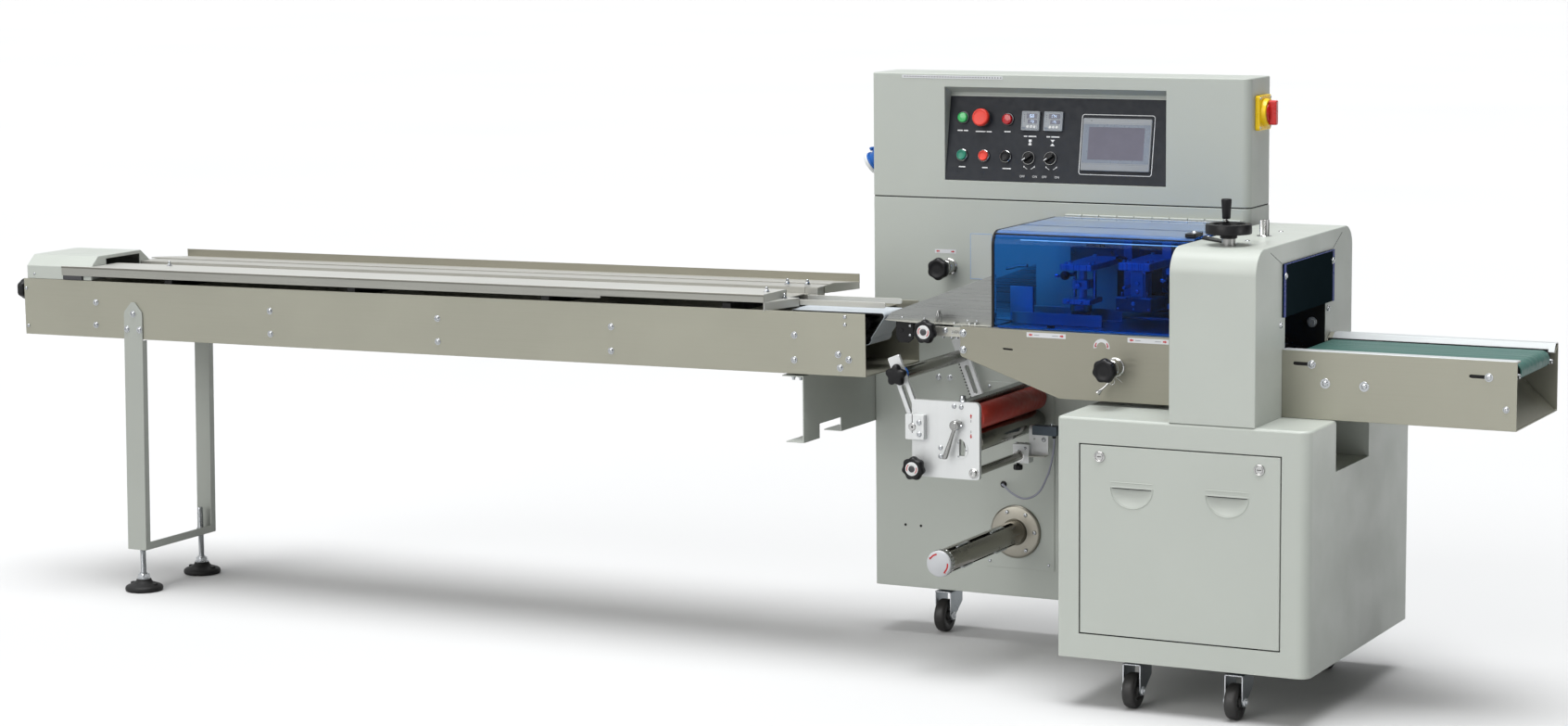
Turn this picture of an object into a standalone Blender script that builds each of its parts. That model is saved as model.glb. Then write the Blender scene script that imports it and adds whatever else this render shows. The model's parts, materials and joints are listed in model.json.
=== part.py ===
"""Horizontal flow-wrapping machine: infeed conveyor, film reel and feed rollers,
forming section under a hinged guard, rotary end-seal housing, discharge conveyor.

Lengths are metres, +Z is up, +X is the direction the product travels and -Y is
the operator side. Every sub-part is modelled in machine coordinates (floor at
z = 0, operator face of the base cabinet at y = -0.300) and hangs on one empty
that shifts the whole machine so that its origin is the middle of its footprint.
"""
import math

import bmesh
import bpy
from mathutils import Matrix, Vector

for old in list(bpy.data.objects):
    bpy.data.objects.remove(old, do_unlink=True)

# ---------------------------------------------------------------- dimensions
GAP = 0.0003                        # clearance between neighbouring solids
SHEET = 0.003                       # cabinet sheet thickness
OFFSET = (-0.2071, -0.0735, 0.0)     # machine coordinates to part coordinates

# rear cabinet and control box
TALL_X = (0.543, 1.559)
TALL_Y = (0.289, 0.436)
TALL_Z = (0.121, 1.1327)
BOX_Z = (1.133, 1.450)
WALL = TALL_Y[0]
# base cabinet
BASE_X = (1.303, 1.919)
BASE_Y = (-0.300, 0.447)
BASE_Z = (0.121, 0.693)
DOOR_X = (1.357, 1.853)
DOOR_Z = (0.179, 0.632)
# end-seal housing
ARCH_X = (1.579, 1.788)
ARCH_Y = (-0.300, 0.390)
ARCH_Z = (0.6934, 1.097)
TUNNEL_Y = (-0.100, 0.190)
TUNNEL_TOP = 1.050
JAW_X = 1.684
JAW_R = 0.066
UPPER_JAW_Z, LOWER_JAW_Z = 0.957, 0.815
# forming section
FRONT_Y = -0.120                    # operator face of panels and conveyor
BED_X = (0.972, 1.578)
BED_Z = 0.865
LID_X = (1.060, 1.565)
LID_TOP = 1.100
LID_T = 0.005
LID_HINGE = (0.274, 1.104)          # y, z
# control panel: sloping plane from its lower edge to its upper edge (y, z)
PANEL_X = (0.745, 1.342)
PANEL_LOW = (0.289, 1.181)
PANEL_HIGH = (0.327, 1.392)
# film reel and nip
REEL = (0.942, 0.290)               # x, z
REEL_R, REEL_END = 0.030, -0.186
NIP_Y = (-0.126, -0.114)
NIP_X, NIP_Z = (0.845, 1.025), (0.492, 0.681)
RUBBER, RUBBER_R = (1.000, 0.640), 0.030
STEEL, STEEL_R = (1.000, 0.5825), 0.0265
ROD = (1.008, 0.509)
LEVER = (0.968, 0.626)
ARM_PIVOT, ARM_ROLL = (0.853, 0.615), (0.805, 0.738)
# infeed conveyor, modelled level and then tilted about its middle
FEED_X = (-1.897, 0.717)
FEED_Y = (-0.120, 0.190)
FEED_Z = (0.715, 0.871)
FEED_MID = (-0.590, 0.790)          # x, z of the tilt
FEED_TILT = math.radians(-0.5)
LEG_X = (-1.5585, -1.4965)
LEG_BOTTOM = 0.118
FOOT_Y = (-0.098, 0.168)
FOOT_X = -1.5336
# discharge conveyor
OUT_X = (1.7885, 2.341)
OUT_Y = (-0.119, 0.229)
OUT_Z = (0.6936, 0.852)
# casters
WHEEL_R, WHEEL_W, TRAIL = 0.0425, 0.030, 0.028
CASTERS = {"left_rear": (0.715, 0.372), "left_front": (1.472, -0.214),
           "right_front": (1.728, -0.222), "right_rear": (1.750, 0.372)}

# ------------------------------------------------------------------- helpers
ROOT = bpy.data.objects.new("machine_origin", None)
bpy.context.scene.collection.objects.link(ROOT)
ROOT.location = OFFSET
TILTED = bpy.data.objects.new("infeed_tilt", None)
bpy.context.scene.collection.objects.link(TILTED)
TILTED.parent = ROOT
TILTED.location = (FEED_MID[0], 0.0, FEED_MID[1])
TILTED.rotation_euler = (0.0, FEED_TILT, 0.0)

PALETTE = {
    "grey_paint": ((0.60, 0.61, 0.56), 0.45, 0.0),
    "stainless": ((0.62, 0.60, 0.55), 0.32, 1.0),
    "bright_steel": ((0.72, 0.72, 0.72), 0.18, 1.0),
    "aluminium": ((0.80, 0.81, 0.80), 0.40, 0.8),
    "black_plastic": ((0.025, 0.025, 0.027), 0.42, 0.0),
    "black_panel": ((0.045, 0.046, 0.055), 0.50, 0.0),
    "blue_acrylic": ((0.02, 0.07, 0.34), 0.08, 0.0),
    "green_belt": ((0.02, 0.17, 0.13), 0.55, 0.0),
    "white_belt": ((0.82, 0.85, 0.88), 0.50, 0.0),
    "red_rubber": ((0.62, 0.10, 0.07), 0.45, 0.0),
    "red_plastic": ((0.75, 0.05, 0.04), 0.35, 0.0),
    "green_plastic": ((0.03, 0.40, 0.20), 0.35, 0.0),
    "grey_cable": ((0.60, 0.61, 0.66), 0.50, 0.0),
    "motor_grey": ((0.20, 0.24, 0.28), 0.50, 0.2),
}
made = {}


def material(name):
    if name not in made:
        colour, rough, metal = PALETTE[name]
        mat = bpy.data.materials.new(name)
        mat.use_nodes = True
        shader = mat.node_tree.nodes["Principled BSDF"]
        shader.inputs["Base Color"].default_value = (*colour, 1.0)
        shader.inputs["Roughness"].default_value = rough
        shader.inputs["Metallic"].default_value = metal
        made[name] = mat
    return made[name]


def piece(name, bm, mat, origin=(0.0, 0.0, 0.0), parent=None, smooth=None):
    """One object from a mesh drawn in machine coordinates, its origin moved to origin."""
    base = Vector(origin)
    if parent is TILTED:
        shift = Vector((FEED_MID[0], 0.0, FEED_MID[1]))
    else:
        shift = Vector((0.0, 0.0, 0.0))
    bmesh.ops.translate(bm, verts=bm.verts[:], vec=-base)
    mesh = bpy.data.meshes.new(name)
    bm.to_mesh(mesh)
    bm.free()
    obj = bpy.data.objects.new(name, mesh)
    bpy.context.scene.collection.objects.link(obj)
    obj.parent = parent or ROOT
    obj.location = base - shift
    if mat:
        mesh.materials.append(material(mat))
    if smooth:
        mesh.shade_smooth()
        mesh.set_sharp_from_angle(angle=math.radians(smooth))
    return obj


def tool(bm, parent=None, origin=(0.0, 0.0, 0.0)):
    """A guide shape for a Boolean; it is never part of the machine."""
    obj = piece("guide", bm, None, origin=origin, parent=parent)
    obj.hide_render = True
    obj.display_type = "WIRE"
    return obj


def boolean(obj, kind, shapes, parent=None):
    for bm in shapes:
        mod = obj.modifiers.new(kind.lower(), "BOOLEAN")
        mod.operation = kind
        mod.solver = "EXACT"
        mod.object = tool(bm, parent)
    return obj


def cut(obj, *shapes, parent=None):
    return boolean(obj, "DIFFERENCE", shapes, parent)


def fuse(obj, *shapes, parent=None):
    return boolean(obj, "UNION", shapes, parent)


def prism(axis, points, a, b):
    """A flat outline swept along axis. Outline axes: x -> (y, z), y -> (x, z), z -> (x, y)."""
    bm = bmesh.new()

    def at(p, t):
        u, v = p
        return {"x": (t, u, v), "y": (u, t, v), "z": (u, v, t)}[axis]

    low = [bm.verts.new(at(p, a)) for p in points]
    high = [bm.verts.new(at(p, b)) for p in points]
    bm.faces.new(low)
    bm.faces.new(high)
    n = len(points)
    for i in range(n):
        j = (i + 1) % n
        bm.faces.new((low[i], low[j], high[j], high[i]))
    bmesh.ops.recalc_face_normals(bm, faces=bm.faces[:])
    return bm


def block(x, y, z):
    return prism("z", [(x[0], y[0]), (x[1], y[0]), (x[1], y[1]), (x[0], y[1])], z[0], z[1])


def rounded(x, y, radii, steps=4):
    """Rectangle outline with its own radius at each corner: low-low, high-low, high-high, low-high."""
    corners = ((x[0], y[0], 180), (x[1], y[0], 270), (x[1], y[1], 0), (x[0], y[1], 90))
    points = []
    for (cx, cy, start), r in zip(corners, radii):
        if r <= 0:
            points.append((cx, cy))
            continue
        ox = cx + (r if start in (180, 90) else -r)
        oy = cy + (r if start in (180, 270) else -r)
        for k in range(steps + 1):
            a = math.radians(start + 90.0 * k / steps)
            points.append((ox + r * math.cos(a), oy + r * math.sin(a)))
    return points


def folded(points, t):
    """Outline of a bent sheet: the polyline and its copy offset by t to its left."""
    pts = [Vector(p) for p in points]
    side = []
    for i, p in enumerate(pts):
        d0 = (p - pts[i - 1]).normalized() if i else None
        d1 = (pts[i + 1] - p).normalized() if i + 1 < len(pts) else None
        n0 = Vector((-d0.y, d0.x)) if d0 else None
        n1 = Vector((-d1.y, d1.x)) if d1 else None
        if d0 is None:
            side.append(p + n1 * t)
        elif d1 is None:
            side.append(p + n0 * t)
        else:
            m = (n0 + n1).normalized()
            side.append(p + m * (t / max(0.2, m.dot(n1))))
    return [tuple(p) for p in pts] + [tuple(p) for p in reversed(side)]


def turned(direction, centre, profile, n=24, bored=False, lobes=0, phase=0.0):
    """A body turned about a line. profile: (radius, station) or (radius, station, lobe height)."""
    bm = bmesh.new()
    d = Vector(direction).normalized()
    e1 = d.orthogonal() if abs(d.z) > 0.9 else d.cross(Vector((0, 0, 1))).cross(d)
    e1.normalize()
    e2 = d.cross(e1)
    c = Vector(centre)
    rings = []
    for item in profile:
        r, s = item[0], item[1]
        lobe = item[2] if len(item) > 2 else 0.0
        if r < 1e-9:
            rings.append([bm.verts.new(c + d * s)])
            continue
        ring = []
        for k in range(n):
            a = 2.0 * math.pi * (k + phase) / n
            rr = r + lobe * math.cos(lobes * a)
            ring.append(bm.verts.new(c + d * s + (e1 * math.cos(a) + e2 * math.sin(a)) * rr))
        rings.append(ring)
    pairs = list(zip(rings, rings[1:]))
    if bored:
        pairs.append((rings[-1], rings[0]))
    for a, b in pairs:
        for k in range(n):
            j = (k + 1) % n
            if len(a) == 1 and len(b) == 1:
                break
            if len(a) == 1:
                bm.faces.new((a[0], b[k], b[j]))
            elif len(b) == 1:
                bm.faces.new((a[k], a[j], b[0]))
            else:
                bm.faces.new((a[k], a[j], b[j], b[k]))
    if not bored:
        for end in (rings[0], rings[-1]):
            if len(end) > 1:
                bm.faces.new(end)
    bmesh.ops.recalc_face_normals(bm, faces=bm.faces[:])
    return bm


def rod(direction, centre, r, a, b, n=16):
    return turned(direction, centre, [(r, a), (r, b)], n)


def stadium(a, b, r, steps=8):
    """Outline of a bar with round ends between two points of a plane."""
    a, b = Vector(a), Vector(b)
    d = (b - a).normalized()
    base = math.atan2(d.y, d.x)
    points = []
    for centre, start in ((b, base - math.pi / 2), (a, base + math.pi / 2)):
        for k in range(steps + 1):
            t = start + math.pi * k / steps
            points.append((centre.x + r * math.cos(t), centre.y + r * math.sin(t)))
    return points


Y = (0, 1, 0)
X = (1, 0, 0)
Z = (0, 0, 1)

# ------------------------------------------------------------- rear cabinet
NOTCH_X = BASE_X[0] - GAP           # the cabinet stops where the base cabinet starts
shell = rounded(TALL_X, (TALL_Y[0], TALL_Y[1] - SHEET - GAP), (0.006, 0.020, 0.0, 0.0))
rear = piece("rear_cabinet", prism("z", shell, *TALL_Z), "grey_paint", smooth=30)
cut(rear,
    block((NOTCH_X, 1.7), (0.2, 0.5), (0.0, BASE_Z[1] + GAP)),
    block((TALL_X[0] + SHEET, NOTCH_X - SHEET), (TALL_Y[0] + SHEET, 0.5), (TALL_Z[0] + SHEET, TALL_Z[1] - SHEET)),
    block((NOTCH_X - 0.010, TALL_X[1] - SHEET), (TALL_Y[0] + SHEET, 0.5), (BASE_Z[1] + GAP + SHEET, TALL_Z[1] - SHEET)))

inset = 0.002
piece("rear_cover", prism("y", [
    (TALL_X[0] + inset, TALL_Z[0] + inset), (NOTCH_X - inset, TALL_Z[0] + inset),
    (NOTCH_X - inset, BASE_Z[1] + inset), (TALL_X[1] - inset, BASE_Z[1] + inset),
    (TALL_X[1] - inset, TALL_Z[1] - inset), (TALL_X[0] + inset, TALL_Z[1] - inset)],
    TALL_Y[1] - SHEET, TALL_Y[1]), "grey_paint")

# ------------------------------------------- control box with sloping recess
slope = (Vector(PANEL_HIGH) - Vector(PANEL_LOW)).normalized()      # (y, z) up the panel
inward = Vector((slope.y, -slope.x))                               # into the cabinet
PANEL_L = (Vector(PANEL_HIGH) - Vector(PANEL_LOW)).length
PLATE = 0.003


def on_panel(s, depth):
    """Point (y, z) at s up the panel and depth behind its face."""
    return tuple(Vector(PANEL_LOW) + slope * s + inward * depth)


outline = rounded(TALL_X, TALL_Y, (0.006, 0.020, 0.008, 0.008))
box = piece("control_box", prism("z", outline, *BOX_Z), "grey_paint", smooth=30)
y0, y1 = TALL_Y[0] + SHEET, TALL_Y[1] - SHEET
z1 = BOX_Z[1] - SHEET
deep = PANEL_HIGH[0] + 0.0065
cut(box,
    block((TALL_X[0] + SHEET, PANEL_X[0] - SHEET + 0.0002), (y0, y1), (1.10, z1)),
    block((PANEL_X[1] + SHEET - 0.0002, TALL_X[1] - SHEET), (y0, y1), (1.10, z1)),
    prism("x", [(y0, 1.10), (y0, 1.1760), on_panel(0.0, 0.0064), on_panel(PANEL_L, 0.0064),
                (deep, 1.4050), (y0, 1.4215), (y0, z1), (y1, z1), (y1, 1.10)],
          PANEL_X[0] - SHEET, PANEL_X[1] + SHEET),
    prism("x", [(0.25, 1.1808), on_panel(0.0, PLATE + GAP), on_panel(PANEL_L, PLATE + GAP),
                (PANEL_HIGH[0] + 0.0033, 1.4015), (TALL_Y[0], 1.417), (0.25, 1.417)], *PANEL_X),
    prism("x", [on_panel(0.015, 0.0), on_panel(PANEL_L - 0.015, 0.0),
                on_panel(PANEL_L - 0.015, 0.020), on_panel(0.015, 0.020)],
          PANEL_X[0] + 0.015, PANEL_X[1] - 0.015))

facing = Vector((0.0, -inward.x, -inward.y))                       # out of the panel
FACE = tuple(facing)


def on_face(x, s):
    y, z = on_panel(s, 0.0)
    return (x, y, z)


CONTROLS = {                        # x, distance up the panel
    "estop_button": (0.8400, 0.1590), "start_button": (0.7890, 0.0640),
    "stop_button": (0.8490, 0.0635), "inch_button": (0.9090, 0.0630),
    "selector_left": (0.9720, 0.0610), "selector_right": (1.0310, 0.0615)}
panel = piece("control_panel", prism("x", [
    on_panel(0.0012, 0.0), on_panel(PANEL_L - 0.0006, 0.0),
    on_panel(PANEL_L - 0.0006, PLATE), on_panel(0.0012, PLATE)],
    PANEL_X[0] + GAP, PANEL_X[1] - GAP), "black_panel")
cut(panel, *[rod(FACE, on_face(*at), 0.0100, -0.02, 0.02, 16) for at in CONTROLS.values()])

screen = [on_panel(0.034, -GAP), on_panel(0.034, -0.0075), on_panel(0.165, -0.0075), on_panel(0.165, -GAP)]
piece("touch_screen", prism("x", screen, 1.1145, 1.2975), "aluminium")

STEM = 0.0096
for name, mat, head in (
        ("start_button", "green_plastic", [(0.0125, 0.0045), (0.0125, 0.0095), (0.0110, 0.0110)]),
        ("stop_button", "red_plastic", [(0.0125, 0.0045), (0.0125, 0.0095), (0.0110, 0.0110)]),
        ("inch_button", "black_plastic", [(0.0125, 0.0045), (0.0125, 0.0095), (0.0110, 0.0110)]),
        ("estop_button", "red_plastic", [(0.0150, 0.0080), (0.0215, 0.0130), (0.0225, 0.0180),
                                         (0.0205, 0.0235), (0.0140, 0.0262)])):
    at = on_face(*CONTROLS[name])
    piece(name, turned(FACE, at, [(STEM, -0.012), (STEM, head[0][1])] + head, 20), mat, origin=at, smooth=40)
for name in ("selector_left", "selector_right"):
    at = on_face(*CONTROLS[name])
    sel = piece(name, turned(FACE, at, [(STEM, -0.012), (STEM, 0.0005), (0.0145, 0.0005), (0.0145, 0.0075),
                                        (0.0130, 0.0090)], 20), "black_plastic", origin=at, smooth=40)
    bar = block((at[0] - 0.0125, at[0] + 0.0125), (-0.0042, 0.0042), (0.004, 0.021))
    turn = Matrix((Vector((1, 0, 0)), facing.cross(Vector((1, 0, 0))), facing)).transposed().to_4x4()
    bmesh.ops.translate(bar, verts=bar.verts[:], vec=(-at[0], 0, 0))
    bmesh.ops.rotate(bar, verts=bar.verts[:], cent=(0, 0, 0), matrix=Matrix.Rotation(math.radians(35), 3, "Z"))
    bmesh.ops.transform(bar, verts=bar.verts[:], matrix=Matrix.Translation(Vector(at)) @ turn)
    fuse(sel, bar)

SWITCH = (TALL_X[1], 0.366, 1.364)
knob = piece("switch_knob", turned(X, SWITCH, [(0.009, GAP), (0.009, 0.0135), (0.024, 0.0135), (0.024, 0.022),
                                               (0.021, 0.026)], 20), "red_plastic", origin=SWITCH, smooth=40)
fuse(knob, block((SWITCH[0] + 0.018, SWITCH[0] + 0.042), (SWITCH[1] - 0.0085, SWITCH[1] + 0.0085),
                 (SWITCH[2] - 0.030, SWITCH[2] + 0.030)))

# ------------------------------------------------------------- base cabinet
base = piece("base_cabinet", prism("z", rounded(BASE_X, BASE_Y, (0.008, 0.026, 0.012, 0.008)), *BASE_Z),
             "grey_paint", smooth=30)
SIDE_CUT = (1.800, (-0.114, 0.130), 0.573)          # pocket under the discharge conveyor
cut(base,
    block((BASE_X[0] + SHEET, SIDE_CUT[0] - SHEET), (BASE_Y[0] + SHEET, BASE_Y[1] - SHEET),
          (BASE_Z[0] + SHEET, BASE_Z[1] - SHEET)),
    block((SIDE_CUT[0] - 0.020, BASE_X[1] - SHEET), (BASE_Y[0] + 0.026, BASE_Y[1] - 0.012),
          (BASE_Z[0] + SHEET, SIDE_CUT[2] - SHEET)),
    block((SIDE_CUT[0] - 0.020, BASE_X[1] - SHEET), (BASE_Y[0] + 0.026, SIDE_CUT[1][0] - SHEET),
          (SIDE_CUT[2] - 0.020, BASE_Z[1] - SHEET)),
    block((SIDE_CUT[0] - 0.020, BASE_X[1] - SHEET), (SIDE_CUT[1][1] + SHEET, BASE_Y[1] - 0.012),
          (SIDE_CUT[2] - 0.020, BASE_Z[1] - SHEET)),
    block((SIDE_CUT[0], 2.0), SIDE_CUT[1], (SIDE_CUT[2], 0.8)),
    block(DOOR_X, (BASE_Y[0] - 0.05, BASE_Y[0] + 0.05), DOOR_Z))

door = piece("cabinet_door", block((DOOR_X[0] + 0.0015, DOOR_X[1] - 0.0015), (BASE_Y[0], BASE_Y[0] + 0.012),
                                   (DOOR_Z[0] + 0.0015, DOOR_Z[1] - 0.0015)), "grey_paint",
             origin=(sum(DOOR_X) / 2, BASE_Y[0], sum(DOOR_Z) / 2))
PULLS = ((1.4885, 0.5335), (1.7225, 0.5305))        # middle of each pull's straight upper edge
PULL_R = 0.049
for px, pz in PULLS:
    half = [(px + PULL_R * math.cos(math.radians(a)), pz + 0.92 * PULL_R * math.sin(math.radians(a)))
            for a in range(180, 361, 15)]
    cut(door, prism("y", half, BASE_Y[0] - 0.01, BASE_Y[0] + 0.008))

# main drive motor and reducer on the base floor
motor = piece("main_motor", block((1.560, 1.690), (0.120, 0.260), (BASE_Z[0] + SHEET + GAP, 0.290)), "motor_grey",
              smooth=30)
fuse(motor, turned(X, (1.560, 0.190, 0.215), [(0.062, -0.205), (0.072, -0.200), (0.072, -0.045), (0.064, -0.040),
                                              (0.064, 0.020)], 20),
     rod(X, (1.690, 0.190, 0.230), 0.014, -0.02, 0.050, 16),
     block((1.390, 1.540), (0.140, 0.240), (BASE_Z[0] + SHEET + GAP, 0.160)))

# --------------------------------------------------------- end-seal housing
R = 0.060
arch = piece("arch_housing", prism("x", rounded(ARCH_Y, ARCH_Z, (0, 0, 0.052, R), 5), *ARCH_X), "grey_paint",
             smooth=30)
w = 0.004
inner = rounded((ARCH_Y[0] + w, ARCH_Y[1] - w), (0.5, ARCH_Z[1] - w), (0, 0, 0.048, R - w), 5)
hollow = [(ARCH_Y[0] + w, 0.5), (TUNNEL_Y[0] - 0.006, 0.5), (TUNNEL_Y[0] - 0.006, TUNNEL_TOP + 0.006),
          (TUNNEL_Y[1] + 0.006, TUNNEL_TOP + 0.006), (TUNNEL_Y[1] + 0.006, 0.5)] + inner[1:]
cut(arch, prism("x", hollow, ARCH_X[0] + w, ARCH_X[1] - w),
    block((1.5, 1.9), TUNNEL_Y, (0.5, TUNNEL_TOP)))

for name, z in (("upper_jaw", UPPER_JAW_Z), ("lower_jaw", LOWER_JAW_Z)):
    jaw = piece(name, rod(Y, (JAW_X, 0, z), 0.020, TUNNEL_Y[0] + 0.0006, TUNNEL_Y[1] - 0.0006, 20), "bright_steel",
                origin=(JAW_X, 0.045, z), smooth=30)
    fuse(jaw, block((JAW_X - JAW_R, JAW_X + JAW_R), (-0.072, 0.162), (z - 0.013, z + 0.013)))

HAND = (JAW_X, -0.196, ARCH_Z[1])
wheel = piece("handwheel", turned(Z, HAND, [
    (0.009, GAP), (0.009, 0.016), (0.015, 0.018), (0.015, 0.034), (0.034, 0.034), (0.043, 0.030),
    (0.0525, 0.033), (0.0535, 0.040), (0.0525, 0.047), (0.044, 0.050), (0.036, 0.041), (0.013, 0.042),
    (0.011, 0.046)], 20), "black_plastic", origin=HAND, smooth=40)
GRIP = (HAND[0] - 0.019, HAND[1] + 0.036, HAND[2] + 0.0505)
piece("handwheel_grip", turned(Z, GRIP, [(0.0, GAP), (0.0060, GAP), (0.0072, 0.005), (0.0092, 0.010), (0.0108, 0.034),
                                         (0.0122, 0.047), (0.0112, 0.0522), (0.0, 0.0535)], 16),
      "black_plastic", origin=GRIP, smooth=50)

piece("discharge_guard", block((ARCH_X[1] + GAP, ARCH_X[1] + 0.0045), (-0.122, 0.241), (0.926, 1.050)),
      "blue_acrylic")

# --------------------------------------------------------- forming section
bed = piece("bed_panel", prism("y", [(BED_X[0], BED_Z), (BED_X[0], 0.793), (1.231, 0.7040), (BED_X[1], 0.7040),
                                     (BED_X[1], BED_Z)], FRONT_Y, FRONT_Y + SHEET), "stainless")
fuse(bed, block(BED_X, (FRONT_Y + 0.001, WALL - GAP), (BED_Z - SHEET, BED_Z)),
     block((0.862, 0.990), (FRONT_Y + 0.002, -0.094), (0.838, 0.8622)))

former = piece("film_former", block((0.752, 1.052), (-0.084, 0.160), (BED_Z + 0.0006, BED_Z + 0.0036)), "stainless")
side = [(0.756, BED_Z + 0.001), (1.052, BED_Z + 0.001), (1.052, 0.992), (0.772, 0.886)]
fuse(former, prism("y", side, -0.084, -0.081), prism("y", side, 0.157, 0.160))

fin = piece("fin_seal_unit", block((1.120, 1.558), (0.215, 0.252), (0.995, 1.032)), "bright_steel")
fuse(fin, block((1.150, 1.182), (0.245, WALL - GAP), (0.985, 1.040)),
     block((1.500, 1.532), (0.245, WALL - GAP), (0.985, 1.040)),
     block((1.178, 1.262), (0.006, 0.225), (0.998, 1.012)),
     block((1.205, 1.236), (0.030, 0.072), (0.915, 1.005)),
     block((1.184, 1.258), (0.010, 0.092), (0.906, 0.928)),
     block((1.330, 1.412), (0.006, 0.225), (1.004, 1.022)),
     block((1.352, 1.390), (0.034, 0.076), (0.935, 1.010)),
     block((1.326, 1.416), (0.004, 0.098), (0.905, 0.942)),
     block((1.452, 1.532), (0.006, 0.225), (0.998, 1.012)),
     block((1.476, 1.506), (0.030, 0.072), (0.915, 1.005)),
     block((1.456, 1.528), (0.010, 0.092), (0.906, 0.928)))

# hinged guard: one bent acrylic sheet with its hinge barrel along the rear edge
bend = 0.022
arc = [(FRONT_Y + bend - bend * math.cos(math.radians(a)), LID_TOP - bend + bend * math.sin(math.radians(a)))
       for a in range(0, 91, 15)]
lid = piece("guard_lid", prism("x", folded([(FRONT_Y, BED_Z + 0.003)] + arc + [(LID_HINGE[0] - 0.002, LID_TOP)], -LID_T),
                               *LID_X), "blue_acrylic", origin=(sum(LID_X) / 2, *LID_HINGE), smooth=30)
fuse(lid, rod(X, (0, *LID_HINGE), 0.0065, LID_X[0] + 0.02, LID_X[1] - 0.02, 12))

# ------------------------------------------------------------- reel and nip
flange = piece("reel_flange", turned(Y, (REEL[0], 0, REEL[1]), [
    (0.0155, WALL - 0.0125), (0.062, WALL - 0.0125), (0.068, WALL - 0.0095), (0.068, WALL - GAP),
    (0.0155, WALL - GAP)], 28, bored=True), "bright_steel", smooth=40)
piece("reel_shaft", turned(Y, (REEL[0], 0, REEL[1]), [
    (0.030, REEL_END), (0.0335, REEL_END + 0.004), (0.0335, REEL_END + 0.024),
    (REEL_R, REEL_END + 0.0255), (REEL_R, WALL - 0.0135), (0.0150, WALL - 0.0135), (0.0150, WALL - 0.0020)], 24), "bright_steel", origin=(REEL[0], WALL, REEL[1]), smooth=40)

nip = piece("nip_plate", prism("y", rounded(NIP_X, NIP_Z, (0.010, 0.010, 0.014, 0.006), 3), *NIP_Y), "aluminium")
fuse(nip, block((0.834, 0.884), (-0.142, NIP_Y[0] + 0.004), (0.584, 0.646)),
     block((0.962, 0.988), (NIP_Y[1] - 0.004, WALL - GAP), (0.6735, 0.6805)))
cut(nip, rod(Y, (ARM_PIVOT[0], 0, ARM_PIVOT[1]), 0.0094, -0.2, 0.0, 16))

for name, at, r, mat in (("rubber_roller", RUBBER, RUBBER_R, "red_rubber"), ("steel_roller", STEEL, STEEL_R, "bright_steel")):
    piece(name, turned(Y, (at[0], 0, at[1]), [
        (0.010, NIP_Y[1] + 0.0004), (0.010, -0.109), (r, -0.109), (r, 0.278), (0.010, 0.278),
        (0.010, WALL - 0.0005)], 24),
        mat, origin=(at[0], 0.08, at[1]), smooth=40)

lever = piece("nip_lever", turned(Y, (LEVER[0], 0, LEVER[1]), [
    (0.0, -0.152), (0.011, -0.152), (0.0125, -0.150), (0.0125, NIP_Y[0] - 0.0004), (0.0, NIP_Y[0] - 0.0004)], 20),
    "bright_steel", origin=(LEVER[0], NIP_Y[0], LEVER[1]), smooth=40)
tip = Vector((0.943 - LEVER[0], -0.008, 0.545 - LEVER[1]))
fuse(lever, turned(tip, (LEVER[0], -0.140, LEVER[1]), [
    (0.0, 0.002), (0.0048, 0.002), (0.0048, 0.050), (0.0068, 0.066), (0.0062, 0.086), (0.0, 0.088)], 12))

bracket = piece("sensor_bracket", rod(Y, (ROD[0], 0, ROD[1]), 0.0105, NIP_Y[1] + 0.0004, WALL - 0.0005, 16),
                "bright_steel", smooth=30)
fuse(bracket, block((0.992, 1.036), (0.150, 0.178), (0.492, 0.540)),
     block((1.030, 1.082), (0.164, 0.168), (0.512, 0.572)),
     block((1.030, 1.106), (0.160, 0.186), (0.5635, 0.5870)))

# signal cable from the sensor head to a grommet in the cabinet wall
ROUTE = ((1.0945, 0.1730, 0.5630), (1.0945, 0.1735, 0.5480), (1.0900, 0.1760, 0.5150), (1.0740, 0.1830, 0.4640),
         (1.0420, 0.1970, 0.4120), (0.9950, 0.2200, 0.3890), (0.9480, 0.2470, 0.3950), (0.9180, 0.2690, 0.4070),
         (0.9072, 0.2770, 0.4092), (0.9070, WALL - 0.0010, 0.4090))
CABLE_R = 0.0026
CABLE_TOP = 0.5635 - 0.0006


def smooth_route(points, count):
    """Evenly spread points of a Catmull-Rom curve through the route."""
    pts = [Vector(p) for p in points]
    pts = [pts[0] * 2 - pts[1]] + pts + [pts[-1] * 2 - pts[-2]]
    fine = []
    for i in range(1, len(pts) - 2):
        p0, p1, p2, p3 = pts[i - 1:i + 3]
        for k in range(20):
            t = k / 20.0
            fine.append(0.5 * (2 * p1 + (p2 - p0) * t + (2 * p0 - 5 * p1 + 4 * p2 - p3) * t * t
                               + (3 * p1 - p0 - 3 * p2 + p3) * t ** 3))
    fine.append(pts[-2])
    length = [0.0]
    for a, b in zip(fine, fine[1:]):
        length.append(length[-1] + (b - a).length)
    out, j = [], 0
    for i in range(count):
        want = length[-1] * i / (count - 1)
        while j + 2 < len(length) and length[j + 1] < want:
            j += 1
        f = (want - length[j]) / (length[j + 1] - length[j])
        out.append(fine[j].lerp(fine[j + 1], f))
    return out


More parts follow.
